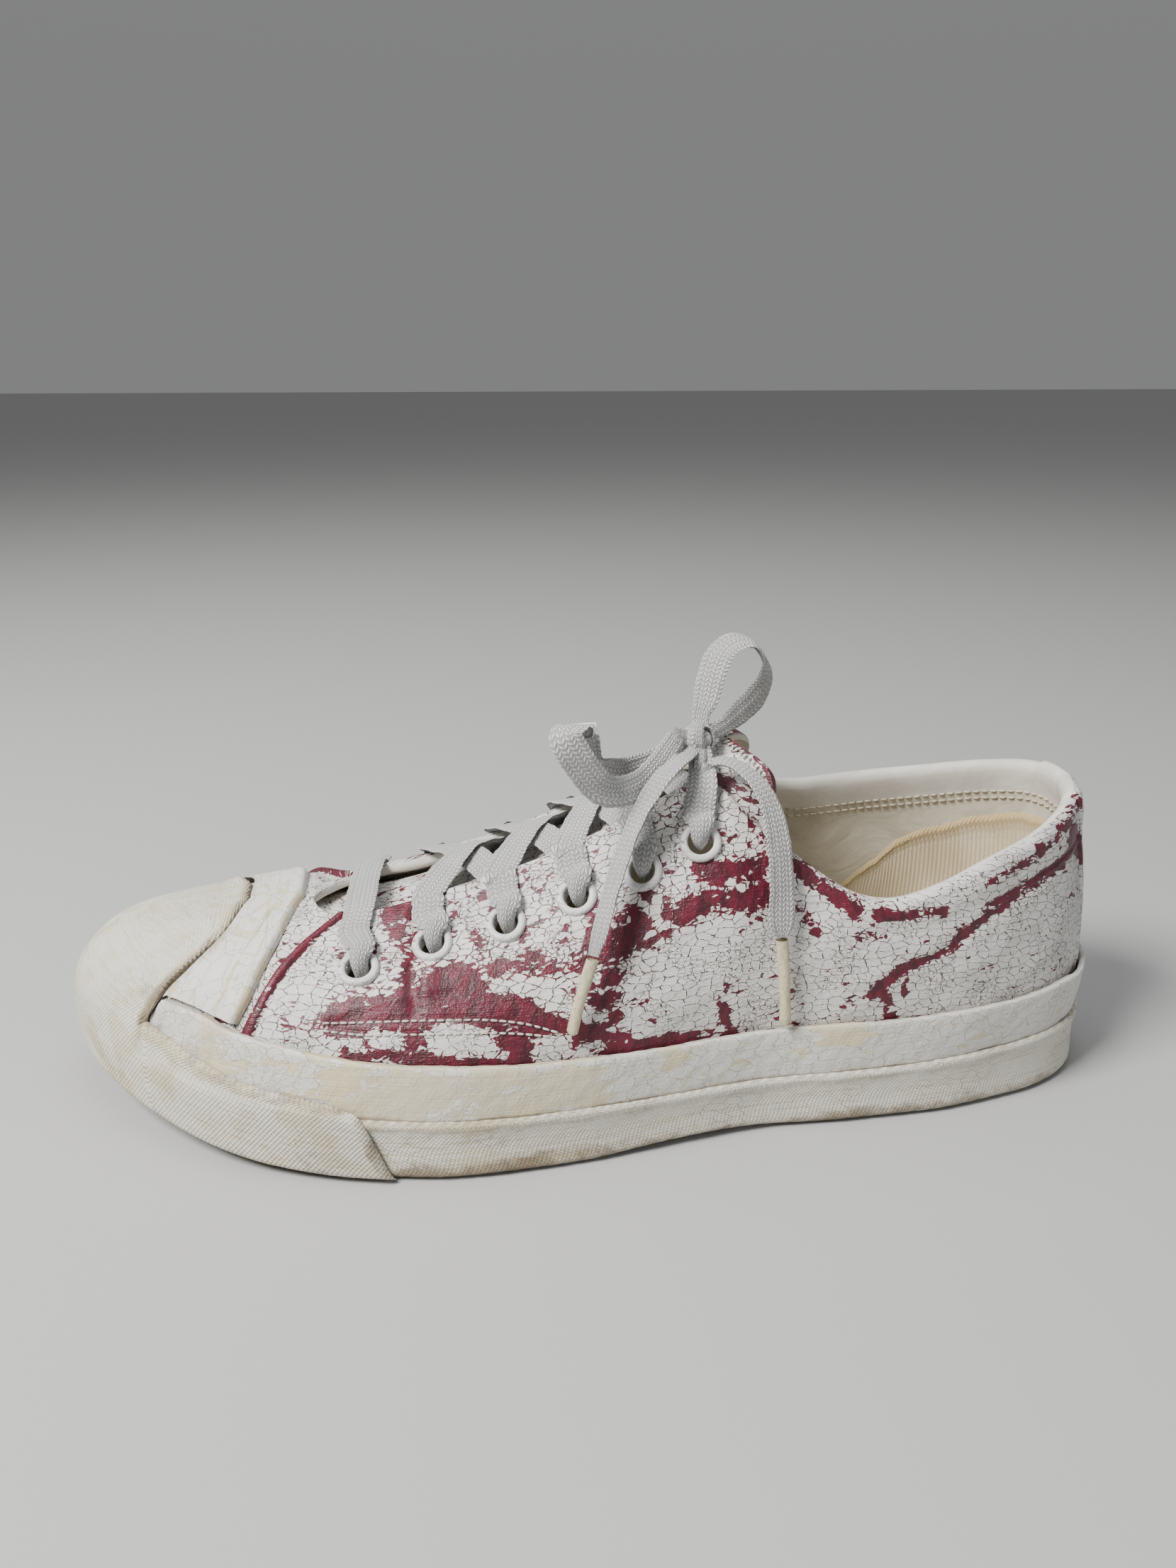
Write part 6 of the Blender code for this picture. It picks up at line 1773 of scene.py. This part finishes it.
def make_tread():
    """Outsole: the tread's face under the shoe, worn smooth at the heel and the ball."""
    skin = across_sole(200, 44, SOLE_INSET + SOLE_CHAMFER, lambda x, w: underside(x), 6 * MM)
    x, y, z = place_in_row(skin)
    wear = 0.2 + 0.7 * fall(np.hypot((x + 22) / 22, (y - 14) / 20), 0.6, 1.3)
    wear = np.maximum(wear, 0.9 * fall(np.hypot((x - 138) / 34, (y - 6) / 34), 0.5, 1.2))
    dirt = 0.45 + 0.25 * np.sin(x * 0.07) * np.sin(y * 0.11)
    skin_piece("tread_face", skin, np.stack([x, y], axis=-1) * MM, TREAD_RUBBER, "tread",
               "outsole", merge=0.01 * MM, wear=wear, dirt=dirt)


make_tread()


# Heel cloth: a patch of tan ribbed cloth sewn over the lining at the heel, its upper edge
# turned, frayed and yellowed. The edge is given as (row number, t) round the heel's inside.
def ribbed_lining():
    """Tan cloth of the heel lining, with fine upright ribs."""
    made, place, wear, dirt = start_material("heel_cloth")
    ribs = wave(axis_of(place, 0), 0.0013)
    cloud = noise(place, 60.0, 4.0, 0.6)
    colour = blend(between(cloud, 0.35, 0.65), (0.66, 0.58, 0.42), (0.58, 0.49, 0.33))
    # Painted shade: the troughs between the ribs are darkened.
    colour = blend(between(ribs, -1.0, 0.2, 0.22, 0.0), colour, (0.40, 0.31, 0.19))
    colour = blend(dirt * 0.75, colour, (0.44, 0.30, 0.12))
    return finish(made, colour, 0.9, (ribs, 0.00008), (noise(place, 2600.0, 2.0, 0.6), 0.0001))


HEEL_CLOTH = ribbed_lining()
CLOTH_EDGE = [(6.6, 0.30), (6.0, 0.36), (5.5, 0.43), (4.75, 0.55), (4.4, 0.63), (3.75, 0.69),
              (3.0, 0.735), (2.2, 0.765), (1.0, 0.775), (0.0, 0.775)]


def make_heel_cloth():
    """Cloth patch inside the heel with a frayed, yellowed edge and a row of stitches."""
    keys, tops = zip(*CLOTH_EDGE[::-1])
    columns = even_rows(1, 0.6, 110, high=6.6)
    ring = [(-1, k) for k in columns[::-1]] + [(1, k) for k in columns[1:]]
    steps = np.linspace(0, 1, 44)
    grid = []
    for n, (side, k) in enumerate(ring):
        top = float(np.interp(k, keys, tops))
        fray = 0.0022 * math.sin(n * 1.3) + 0.004 * math.sin(n * 0.31 + 1)
        t = 0.06 + (top + fray - 0.06) * steps
        rows = np.full(len(steps), float(k))
        swell = 0.75 * np.exp(-((steps - 0.96) / 0.022) ** 2) + 0.10 * np.sin(n * 0.7 + steps * 9)
        swell = swell + 0.45 * np.exp(-((steps - 0.915) / 0.014) ** 2)
        out = -WALL - (0.45 + swell * ramp(steps, 0.1, 0.5)) * MM
        out[-1] = -WALL + 0.1 * MM
        grid.append(offset(side, rows, t, out))
    grid = np.array(grid)
    uv = arc_coordinates(grid, middle=len(ring) // 2)
    steps = np.broadcast_to(steps, grid.shape[:2])
    dirt = 0.10 + 0.85 * ramp(steps, 0.90, 0.965) + 0.25 * fall(steps, 0.1, 0.4)
    skin_piece("heel_cloth", grid, uv, HEEL_CLOTH, "lining", dirt=np.clip(dirt, 0, 1))
    inward = unit(np.cross(np.gradient(grid, axis=0), np.gradient(grid, axis=1)))
    pills("heel_cloth_stitches", along_line(grid[:, 36], -inward[:, 36], 2.6 * MM), 1.9 * MM,
          LINING_THREAD)


make_heel_cloth()


# Seams: rows of pale thread at the lens-shaped seam on the forefoot and, inside, two rows
# under the collar's rim, which hold the lining to the quarters.
def skin_line(side, places, count=160):
    """Dense line on the outer skin through (x, z) places in row millimetres, with normals."""
    rows = spline(np.array(places, float), np.linspace(0, len(places) - 1, count))
    points, outs = [], []
    for x, z in rows:
        k = find_row(0.0, LAST_ROW, lambda k: surface(
            side, k, t_at_height(side, k, z * MM))[0] < x * MM + HEEL_SEAT)
        t = t_at_height(side, k, z * MM)
        points.append(surface(side, k, t))
        outs.append(normals(side, k, t))
    return np.array(points), np.array(outs)


LENS_SEAMS = [[(169.5, 37.6), (158.2, 38), (144.4, 38.4), (130.6, 38.3), (120.3, 37),
               (111.5, 34.3)],
              [(169.5, 36.2), (158.2, 35.6), (144.4, 35.8), (130.7, 35.7), (120.3, 34.8),
               (111.5, 33.2)]]


def make_seams():
    """Lens seam on the forefoot and the two rows under the collar's rim."""
    lens, collar = [], []
    for side in (1, -1):
        for line in LENS_SEAMS:
            lens += [(at + out * (QUARTER_STEP - 0.12 * MM), along, out)
                     for at, along, out in along_line(*skin_line(side, line), 2.15 * MM)]
        for below in (7.0, 9.2):
            points, outs = [], []
            for k in np.linspace(0.0, 10.8, 300):
                t = t_at_distance(side, float(k), below * MM)
                points.append(offset(side, k, t, -WALL - 0.1 * MM))
                outs.append(-normals(side, k, t))
            collar += [(at + 0.15 * MM * out, along, out) for at, along, out in
                       along_line(np.array(points), np.array(outs), 2.5 * MM)]
    pills("lens_seam", lens, 1.75 * MM, THREAD)
    pills("collar_stitches", collar, 1.9 * MM, LINING_THREAD)


make_seams()


# Laces: one flat cotton lace, woven in slanted columns, run through the eyelets in crossings
# and tied in a small bow, with a film tip on each end. Routes of the bow are millimetres from
# the heel's back, the middle line and the floor, as in the part's source.
def cotton():
    """Flat woven lace: columns of small slanted stitches, grey-white and a little fuzzy."""
    made, place, wear, dirt = start_material("woven_cotton")
    column = calc('PINGPONG', axis_of(place, 1), STITCH_COLUMN)
    slant = wave(axis_of(place, 0) + column * 0.8, 0.00125)
    stitch = between(slant, -0.9, 0.7) * wave(column, 2 * STITCH_COLUMN)
    fuzz = noise(place, 3800.0, 3.0, 0.7)
    cloud = between(noise(place, 90.0, 3.0), 0.35, 0.65)
    colour = blend(cloud, (0.66, 0.66, 0.645), (0.55, 0.55, 0.535))
    # Painted shade: the grooves between the stitches are darkened.
    colour = blend(between(stitch, 0.0, 0.7, 0.85, 0.0), colour, (0.24, 0.235, 0.23))
    colour = blend(between(fuzz, 0.45, 0.7, 0.0, 0.25), colour, (0.72, 0.72, 0.71))
    colour = blend(dirt * 0.45, colour, (0.25, 0.235, 0.22))
    return finish(made, colour, 0.92, (stitch, 0.00036), (fuzz, 0.00014),
                  **{"Sheen Weight": 0.35, "Sheen Roughness": 0.5})


STITCH_COLUMN = 0.00115
COTTON = cotton()
TIP_FILM = plain("lace_tip_film", (0.62, 0.56, 0.38), 0.28, **{
    "Subsurface Weight": 0.25, "Subsurface Radius": (0.002, 0.0018, 0.001),
    "Subsurface Scale": 1.0})
LACE_WIDTH, LACE_THICK, LACE_AT_HOLE = 8.4 * MM, 1.25 * MM, 5.4 * MM
LACE_RISE, OVER, LACE_DIVE = 3.3 * MM, 1.3 * MM, -0.6 * MM
LACE_STEP = 0.7 * MM
KNOT = np.array((115.0, 9.0, 98.0)) * MM
LOOP_FRONT = [(121.2, 12.6, 100.4), (126.2, 17.0, 94.6), (131.2, 21.0, 90.8),
              (137.0, 25.0, 90.1), (142.0, 28.0, 92.2), (146.0, 30.0, 97.4),
              (149.4, 31.0, 103.2), (150.8, 30.0, 106.8), (148.4, 26.0, 107.3),
              (145.3, 22.0, 103.5), (143.0, 19.0, 97.0), (137.3, 16.0, 92.4),
              (130.2, 12.5, 92.4), (122.8, 9.5, 95.2)]
LOOP_BACK = [(113.8, 5.5, 104.6), (112.4, 4.0, 107.6), (110.9, 2.0, 113.0),
             (108.3, 0.0, 118.7), (104.1, -2.0, 121.4), (99.3, -4.0, 120.5),
             (95.6, -5.0, 116.1), (95.0, -4.0, 111.1), (97.9, -2.0, 106.3),
             (102.6, 1.0, 103.0), (107.6, 5.0, 100.6)]
END_FRONT = [(118.8, 14.8, 95.8), (122.5, 20.0, 95.0), (126.3, 24.0, 93.0),
             (130.6, 26.4, 87.8), (134.1, 28.4, 81.3), (137.4, 32.0, 74.4),
             (140.2, 36.0, 67.7), (142.7, 40.0, 61.2), (145.1, 43.4, 54.5)]
END_REAR = [(112.2, 16.2, 95.7), (110.2, 17.2, 96.4), (106.7, 19.6, 95.8),
            (103.3, 22.5, 93.3), (100.5, 25.5, 89.0), (98.8, 28.5, 83.1),
            (97.7, 31.0, 75.5), (97.3, 33.5, 66.9), (97.3, 35.6, 58.3),
            (97.2, 36.4, 54.3)]
TIP_FRONT = [(145.4, 43.8, 53.8), (150.9, 47.4, 35.4)]
TIP_REAR = [(97.1, 36.6, 53.6), (95.6, 38.8, 30.4)]
TIP_RADIUS = 1.5 * MM
KNOT_FOLD = [(114.2, 11.5, 97.0), (114.6, 14.2, 94.6), (115.3, 15.8, 91.2), (115.0, 16.2, 89.4),
             (113.8, 16.2, 91.0), (112.9, 16.3, 93.6)]
VIEWED_FROM = np.array([0.10, 0.95, 0.30])


def ribbon_rows(stations):
    """Evenly spaced rows of a lace: place, face direction, width, cup and dirt."""
    rows = np.array([np.r_[s[0], s[1], s[2:]] for s in stations], float)
    dense = np.array([hermite(rows, k) for k in np.linspace(0, len(rows) - 1, 60 * len(rows))])
    gone = np.r_[0, np.cumsum(np.linalg.norm(np.diff(dense[:, :3], axis=0), axis=1))]
    count = max(6, int(gone[-1] / LACE_STEP))
    reach = np.linspace(0, gone[-1], count)
    return reach, np.stack([np.interp(reach, gone, column) for column in dense.T], axis=1)


def ribbon(stations, seed=0.0):
    """Grid of a flat lace's skin with its coordinates and dirt; the section is a closed loop."""
    reach, rows = ribbon_rows(stations)
    at, width, cup, dirt = rows[:, :3], rows[:, 6], rows[:, 7], rows[:, 8]
    along = unit(np.gradient(at, axis=0))
    across = unit(np.cross(along, rows[:, 3:6]))
    face = unit(np.cross(across, along))
    turn = 0.05 * np.sin(reach / MM * 0.31 + seed) + 0.03 * np.sin(reach / MM * 0.83 + 2 * seed)
    across, face = (across + face * turn[:, None], face - across * turn[:, None])
    half = np.linspace(-1, 1, 15)
    loop = [(a, 1) for a in half] + [(a, -1) for a in half[::-1][1:-1]]
    grid = np.zeros((len(at), len(loop), 3))
    uv = np.zeros((len(at), len(loop), 2))
    for j, (a, sign) in enumerate(loop):
        thick = LACE_THICK / 2 * (1 - abs(a) ** 5) ** 0.5 * (1 + 0.12 * math.cos(7 * a))
        edge = 1 + 0.018 * np.sin(reach / MM * 2.1 + seed + 3 * (a > 0))
        bend = cup * a * a * width / 2
        grid[:, j] = at + across * (a * width / 2 * edge * (1 - 0.25 * np.abs(cup) * a * a))[:, None]
        grid[:, j] += face * (sign * thick + bend)[:, None]
        uv[:, j, 0] = reach
        uv[:, j, 1] = a * LACE_WIDTH / 2 + (0.0 if sign > 0 else 3 * LACE_WIDTH)
    return grid, uv, np.repeat(dirt[:, None], len(loop), axis=1)


def lace_piece(name, strands):
    """One mesh from several ribbons, with closed ends."""
    points, coordinates, dirt_and_shade_parts, faces = [], [], [], []
    start = 0
    for grid, uv, dirt in strands:
        rows, around = grid.shape[:2]
        flipped = grid_faces(around, rows, closed=True)
        c, r = flipped % rows, flipped // rows
        faces += ((c * around + r) + start).tolist()
        faces += [list(range(start, start + around)),
                  list(range(start + (rows - 1) * around, start + rows * around))]
        points.append(grid.reshape(-1, 3))
        coordinates.append(uv.reshape(-1, 2))
        dirt_and_shade_parts.append(dirt.ravel())
        start += rows * around
    values = {"dirt": np.concatenate(dirt_and_shade_parts)}
    return make_mesh(name, np.concatenate(points), faces, np.concatenate(coordinates), [COTTON],
                     values, angle=60)


def at_station(x):
    """Row number of the throat's edge at the distance x from the heel's back."""
    return find_row(13.0, 20.0, lambda k: hermite(ROWS[1], k)[1] < x)


def in_frame(place, x, y, z):
    """Point of an eyelet's frame, given in millimetres."""
    return np.array(place @ Vector((x * MM, y * MM, z * MM)))


def from_hole(side, i, lift=0.0):
    """Stations of a lace out of an eyelet, over its ring and up to the throat's edge."""
    place = EYELET_FRAMES[(side, i)]
    down, out = (np.array(place.col[axis][:3]) for axis in (1, 2))
    start = in_frame(place, 0, 0, 0)
    k = at_station(start[0] + 0.5 * MM)
    inset = EYELETS[i][1]
    stations = [(in_frame(place, 0, 1.0, -3.6), down, LACE_AT_HOLE * 0.92, -0.9, 0.9),
                (in_frame(place, 0, 0.9, -1.0), down, LACE_AT_HOLE * 0.95, -0.8, 0.8),
                (in_frame(place, 0, 0.1, 1.6), down + 0.6 * out, LACE_AT_HOLE, -0.6, 0.55),
                (in_frame(place, 0, -2.2, 3.2), 0.25 * down + out, LACE_AT_HOLE * 1.08, -0.35, 0.35),
                (in_frame(place, 0, -5.2, 3.0), out, LACE_WIDTH * 0.86, -0.15, 0.25)]
    for distance, extra in ((min(7.2, inset - 7.6), 1.2), (2.4, 1.15)):
        t = t_at_distance(side, k, distance * MM)
        normal = normals(side, k, t)
        stations.append((surface(side, k, t) + (QUARTER_STEP + extra * MM + lift) * normal, normal,
                         LACE_WIDTH, 0.0, 0.18))
    normal = normals(side, k, 1.0)
    into = np.array([0, -side * 0.8 * MM, 0])
    stations.append((surface(side, k, 1.0) + (QUARTER_STEP + 1.1 * MM + lift) * normal + into,
                     normal + [0, 0, 0.4], LACE_WIDTH, 0.06, 0.2))
    return stations


def throat_middle(x, rise):
    """Middle of the throat above the tongue, and the way up from it."""
    k = at_station(x)
    top, after = hermite(ROWS[1], k), hermite(ROWS[1], k + 0.5)
    slope = (after[3] - top[3]) / (after[1] - top[1])
    up = np.array([-slope, 0.0, 1.0]) / math.hypot(slope, 1.0)
    return np.array([top[1], 0.0, top[3]]) + up * rise, up


def crossing(side, i, rise, seed):
    """Lace from one eyelet, over the tongue, to where it dives under the far quarter."""
    stations = from_hole(side, i)
    start = in_frame(EYELET_FRAMES[(side, i)], 0, 0, 0)
    far = EYELET_FRAMES[(-side, i + 1)].translation[0]
    middle, up = throat_middle((start[0] + far) / 2, rise)
    edge = surface(-side, at_station(far + 3.0 * MM), 1.0)
    end = np.array([edge[0], edge[1] * (1 - 2.6 * MM / abs(edge[1])), edge[2]])
    beyond = np.array([edge[0] - 1.0 * MM, edge[1] * (1 + 1.2 * MM / abs(edge[1])), edge[2]])
    return ribbon(stations + [
        (middle, up, LACE_WIDTH, 0.05, 0.15),
        (end + up * LACE_DIVE, up - [0, 0.5 * side, 0], LACE_WIDTH * 0.95, 0.0, 0.4),
        (beyond - up * 3.6 * MM, up - [0, 0.8 * side, 0], LACE_WIDTH * 0.9, 0.0, 0.8)], seed)


def hoop(route, centre, toward, widths):
    """Stations of a loop whose face turns outward from its centre and towards the viewer."""
    stations = []
    count = len(route) - 1
    for i, place in enumerate(np.array(route) * MM):
        away = unit(place - np.array(centre) * MM)
        share = np.interp(i / count, *toward)
        width = np.interp(i / count, *widths)
        stations.append((place, away * (1 - share) + VIEWED_FROM * share, width * MM, 0.0, 0.12))
    return stations


def loose_end(route, faces, widths):
    """Stations of a hanging end, with its face directions and widths along it."""
    stations = []
    count = len(route) - 1
    shares, ways = zip(*faces)
    for i, place in enumerate(np.array(route) * MM):
        way = [np.interp(i / count, shares, [w[a] for w in ways]) for a in range(3)]
        width = np.interp(i / count, *widths)
        stations.append((place, np.array(way), width * MM, 0.12, 0.12 + 0.3 * (i / count) ** 4))
    return stations


def declare(piece, stations, far_end, tips=()):
    """Declare a free stretch of the lace with its real length and width."""
    reach, rows = ribbon_rows(stations)
    path = np.vstack([rows[:-2:3, :3], rows[-1:, :3]]) - (HEEL_SEAT, 0, 0)
    steps = np.linalg.norm(np.diff(path, axis=0), axis=1)
    path = path[np.r_[True, steps > 0.5 * MM]]
    length = float(np.linalg.norm(np.diff(path, axis=0), axis=1).sum())
    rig.cord(piece, exit=path[0], length=length, diameter=LACE_WIDTH, far_end=far_end,
            stiffness="limp", path=path, with_pieces=list(tips))


def make_threading():
    """Bar, crossings and the two strands that rise from the top eyelets."""
    up_side, down_side = from_hole(1, 0), from_hole(-1, 0)
    middle, up = throat_middle(EYELET_FRAMES[(1, 0)].translation[0] + 0.5 * MM, LACE_RISE)
    stations = up_side + [(middle, up, LACE_WIDTH, 0.04, 0.15)] + down_side[::-1]
    dressed(lace_piece("lace_strap_1", [ribbon(stations, 0.4)]), "cotton", "lace_bar")
    for i in range(1, len(EYELETS) - 1):
        over = crossing(1, i, LACE_RISE + OVER, 1.7 * i)
        under = crossing(-1, i, LACE_RISE, 2.3 * i)
        dressed(lace_piece(f"lace_straps_{i + 1}", [over, under]), "cotton",
                f"lace_crossing_{i + 1}")
    for side, name, route in ((1, "outer", [(115.2, 18.4, 89.6), (114.9, 13.4, 93.4),
                                            (114.8, 10.6, 96.2)]),
                              (-1, "inner", [(115.4, -16.4, 89.8), (114.2, -8.0, 93.2),
                                             (113.6, 0.0, 95.4), (114.2, 6.0, 96.8)])):
        stations = from_hole(side, len(EYELETS) - 1)[:6]
        for n, place in enumerate(route):
            face = np.array([0.35, 0.75 * side if side > 0 else 0.1, 0.9])
            stations.append((np.array(place) * MM, face, LACE_WIDTH * (0.92 - 0.12 * n), 0.1, 0.15))
        dressed(lace_piece(f"lace_to_knot_{name}", [ribbon(stations, 3.1 * side)]), "cotton",
                f"lace_rise_{name}")


def wrap(size, tilt, spin, width, seed=0.0):
    """Ribbon laid round the knot's core, in a plane turned by tilt and spin."""
    stations = []
    turned = Matrix.Rotation(spin, 3, 'Z') @ Matrix.Rotation(tilt, 3, 'X')
    for g in np.linspace(0.0, 1.0, 13):
        a = 2 * math.pi * g
        away = turned @ Vector((math.cos(a) * size[0], 0.0, math.sin(a) * size[1]))
        stations.append((KNOT + np.array(away) * MM, np.array(away), width * MM, -0.25, 0.15))
    return ribbon(stations, seed)


def make_knot(meeting):
    """Knot: a packed core with the lace wrapped round it twice."""
    bm = bmesh.new()
    size = Matrix.Diagonal((3.6 * MM, 3.2 * MM, 3.1 * MM, 1))
    bmesh.ops.create_icosphere(bm, subdivisions=4, radius=1.0,
                               matrix=Matrix.Translation(KNOT) @ size)
    core = np.array([v.co for v in bm.verts])
    core_faces = [[v.index for v in f.verts] for f in bm.faces]
    bm.free()
    strands = [wrap((4.1, 3.9), 0.35, 0.5, 6.0), wrap((3.6, 4.3), 0.1, 1.25, 4.4, 4),
               ribbon([(np.array(p) * MM, VIEWED_FROM + np.array([-0.5, 0, 0]), 4.2 * MM, -0.3, 0.2)
                       for p in KNOT_FOLD], 1.0)]
    strands += [ribbon([(KNOT, face, 4.4 * MM, -0.2, 0.3),
                        ((KNOT + place) / 2, face, 4.5 * MM, -0.1, 0.25),
                        (place, face, 4.7 * MM, 0.0, 0.15),
                        (place + 0.5 * MM * unit(place - KNOT), face, 4.6 * MM, 0.0, 0.12)], 2.2)
                for place, face in meeting]
    piece = lace_piece("bow_knot", strands)
    middle = make_mesh("knot_core", core, core_faces, core[:, :2], [COTTON],
                       {"dirt": np.full(len(core), 0.5)})
    return [dressed(made, "cotton", "lace_knot") for made in (piece, middle)]


def make_tip(name, route, node, flat):
    """Clear film rolled round the lace's end, a little flattened, with a worn cut end."""
    a, b = (np.array(p) * MM for p in route)
    along = unit(b - a)
    side = unit(np.cross(along, VIEWED_FROM))
    out = np.cross(side, along)
    turns, rows = 20, 26
    grid = np.zeros((turns, rows, 3))
    for c in range(turns):
        angle = 2 * math.pi * c / turns
        for r in range(rows):
            g = r / (rows - 1)
            radius = TIP_RADIUS * (1.0 - 0.10 * g + 0.04 * math.sin(9 * g + c * 0.6))
            radius *= math.sqrt(max(0.0, 1 - max(0.0, (g - 0.96) / 0.045) ** 2)) + 0.02
            bow = 0.5 * MM * math.sin(math.pi * g) * flat
            grid[c, r] = (a * (1 - g) + b * g + side * (radius * math.cos(angle) + bow)
                          + out * 0.82 * radius * math.sin(angle))
    faces = grid_faces(turns, rows, closed=True)
    uv = arc_coordinates(np.concatenate([grid, grid[:1]], axis=0))[:-1]
    piece = make_mesh(name, grid, faces, uv, [TIP_FILM], {"dirt": np.full((turns, rows), 0.2)})
    return dressed(piece, "lace_tip", node)


def make_bow():
    """Loops, ends and their tips, each stretch declared as a free cord."""
    wide = ([0, 0.12, 0.3, 0.8, 0.92, 1], [4.8, 7.2, 8.4, 8.4, 7.0, 4.8])
    front = hoop(LOOP_FRONT, (139.0, 20.0, 97.0),
                 ([0, 0.25, 0.5, 0.6, 0.75, 1], [0.75, 0.85, 0.62, 0.30, 0.55, 0.8]), wide)
    back = hoop(LOOP_BACK, (103.5, 0.0, 111.0),
                ([0, 0.2, 0.5, 0.75, 1], [0.70, 0.62, 0.30, 0.55, 0.72]), wide)
    end_front = loose_end(END_FRONT, [(0, (0.2, 0.4, 1.0)), (0.35, (0.9, 0.5, 0.5)),
                                      (0.7, (1.0, 0.55, 0.3)), (1, (0.8, 0.9, 0.4))],
                          ([0, 0.15, 0.6, 0.85, 1], [4.8, 6.6, 6.6, 6.0, 3.2]))
    end_rear = loose_end(END_REAR, [(0, (0.0, 0.3, 1.0)), (0.3, (-0.2, 0.5, 1.0)),
                                    (0.55, (-0.45, 1.0, 0.35)), (1, (-0.1, 1.0, 0.2))],
                         ([0, 0.25, 0.4, 0.6, 0.88, 1], [3.6, 4.2, 5.6, 7.0, 7.4, 3.2]))
    end_rear = [(place - [0, 0, 1.7 * MM * float(fall(n / len(END_REAR), 0.25, 0.6))], *rest)
                for n, (place, *rest) in enumerate(end_rear)]
    knot = make_knot([row[:2] for row in (front[0], front[-1], back[0], back[-1], end_front[0])])
    tip_front = make_tip("tip_front", TIP_FRONT, "lace_tip_front", 0.6)
    tip_rear = make_tip("tip_rear", TIP_REAR, "lace_tip_rear", -0.5)
    for name, stations, node, far_end, tips in (
            ("bow_loop_front", front, "lace_loop_front", "object", knot),
            ("bow_loop_back", back, "lace_loop_back", "object", ()),
            ("bow_end_front", end_front, "lace_end_front", "fitting", (tip_front,)),
            ("bow_end_rear", end_rear, "lace_end_rear", "fitting", (tip_rear,))):
        piece = lace_piece(name, [ribbon(stations, len(name) * 0.7)])
        dressed(piece, "cotton", node)
        declare(piece, stations, far_end, tips)


make_threading()
make_bow()


# Stage: a plain pale matt floor under plain soft studio light, which falls from a large soft
# box on the toe's side in front, a weaker one above and one at the heel.
def area_light(name, place, target, size, power, colour):
    """Square soft light aimed at a point."""
    data = bpy.data.lights.new(name, 'AREA')
    data.shape = 'SQUARE'
    data.size = size
    data.energy = power
    data.color = colour
    made = bpy.data.objects.new(name, data)
    made.location = place
    away = Vector(place) - Vector(target)
    made.rotation_euler = away.to_track_quat('Z', 'Y').to_euler()
    bpy.context.scene.collection.objects.link(made)


TARGET = (0.10, 0.0, 0.03)
area_light("key", (0.78, 0.42, 1.00), TARGET, 0.45, 33.0, (1.0, 0.985, 0.955))
area_light("top", (0.10, -0.25, 1.2), TARGET, 0.9, 5.0, (0.97, 0.985, 1.0))
area_light("heel", (-0.8, 0.7, 0.6), (0.0, 0.0, 0.04), 0.8, 1.5, (0.94, 0.96, 1.0))


def make_room():
    """Soft dome of light, brighter overhead and in the floor's own tone at the horizon."""
    world = bpy.data.worlds.new("pale room")
    world.use_nodes = True
    tree = world.node_tree
    way = Signal(tree, add_node(tree, "ShaderNodeTexCoord"), "Generated")
    sky = blend(between(axis_of(way, 2), 0.15, 0.95), (0.62, 0.625, 0.625), (0.88, 0.89, 0.90))
    feed(tree, tree.nodes["Background"].inputs["Color"], sky)
    feed(tree, tree.nodes["Background"].inputs["Strength"], 0.36)
    bpy.context.scene.world = world


make_room()


def make_floor():
    """Plain pale floor, far wider than the shoe."""
    made = bpy.data.meshes.new("floor")
    half = 12.0
    corners = [(x * half, y * half, -0.0006) for x, y in ((-1, -1), (1, -1), (1, 1), (-1, 1))]
    made.from_pydata(corners, [], [(0, 1, 2, 3)])
    floor = bpy.data.objects.new("floor", made)
    bpy.context.scene.collection.objects.link(floor)
    made.materials.append(plain("pale_floor", (0.42, 0.42, 0.415), 0.8, 0.00002, 90.0, 0.97,
                                **{"Specular IOR Level": 0.2}))
    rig.stage(floor)


make_floor()

new_box = [list(corner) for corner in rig.bounds()]
with open("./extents.json", "w") as sizes:
    json.dump({"cad": cad_box, "visual": new_box}, sizes)
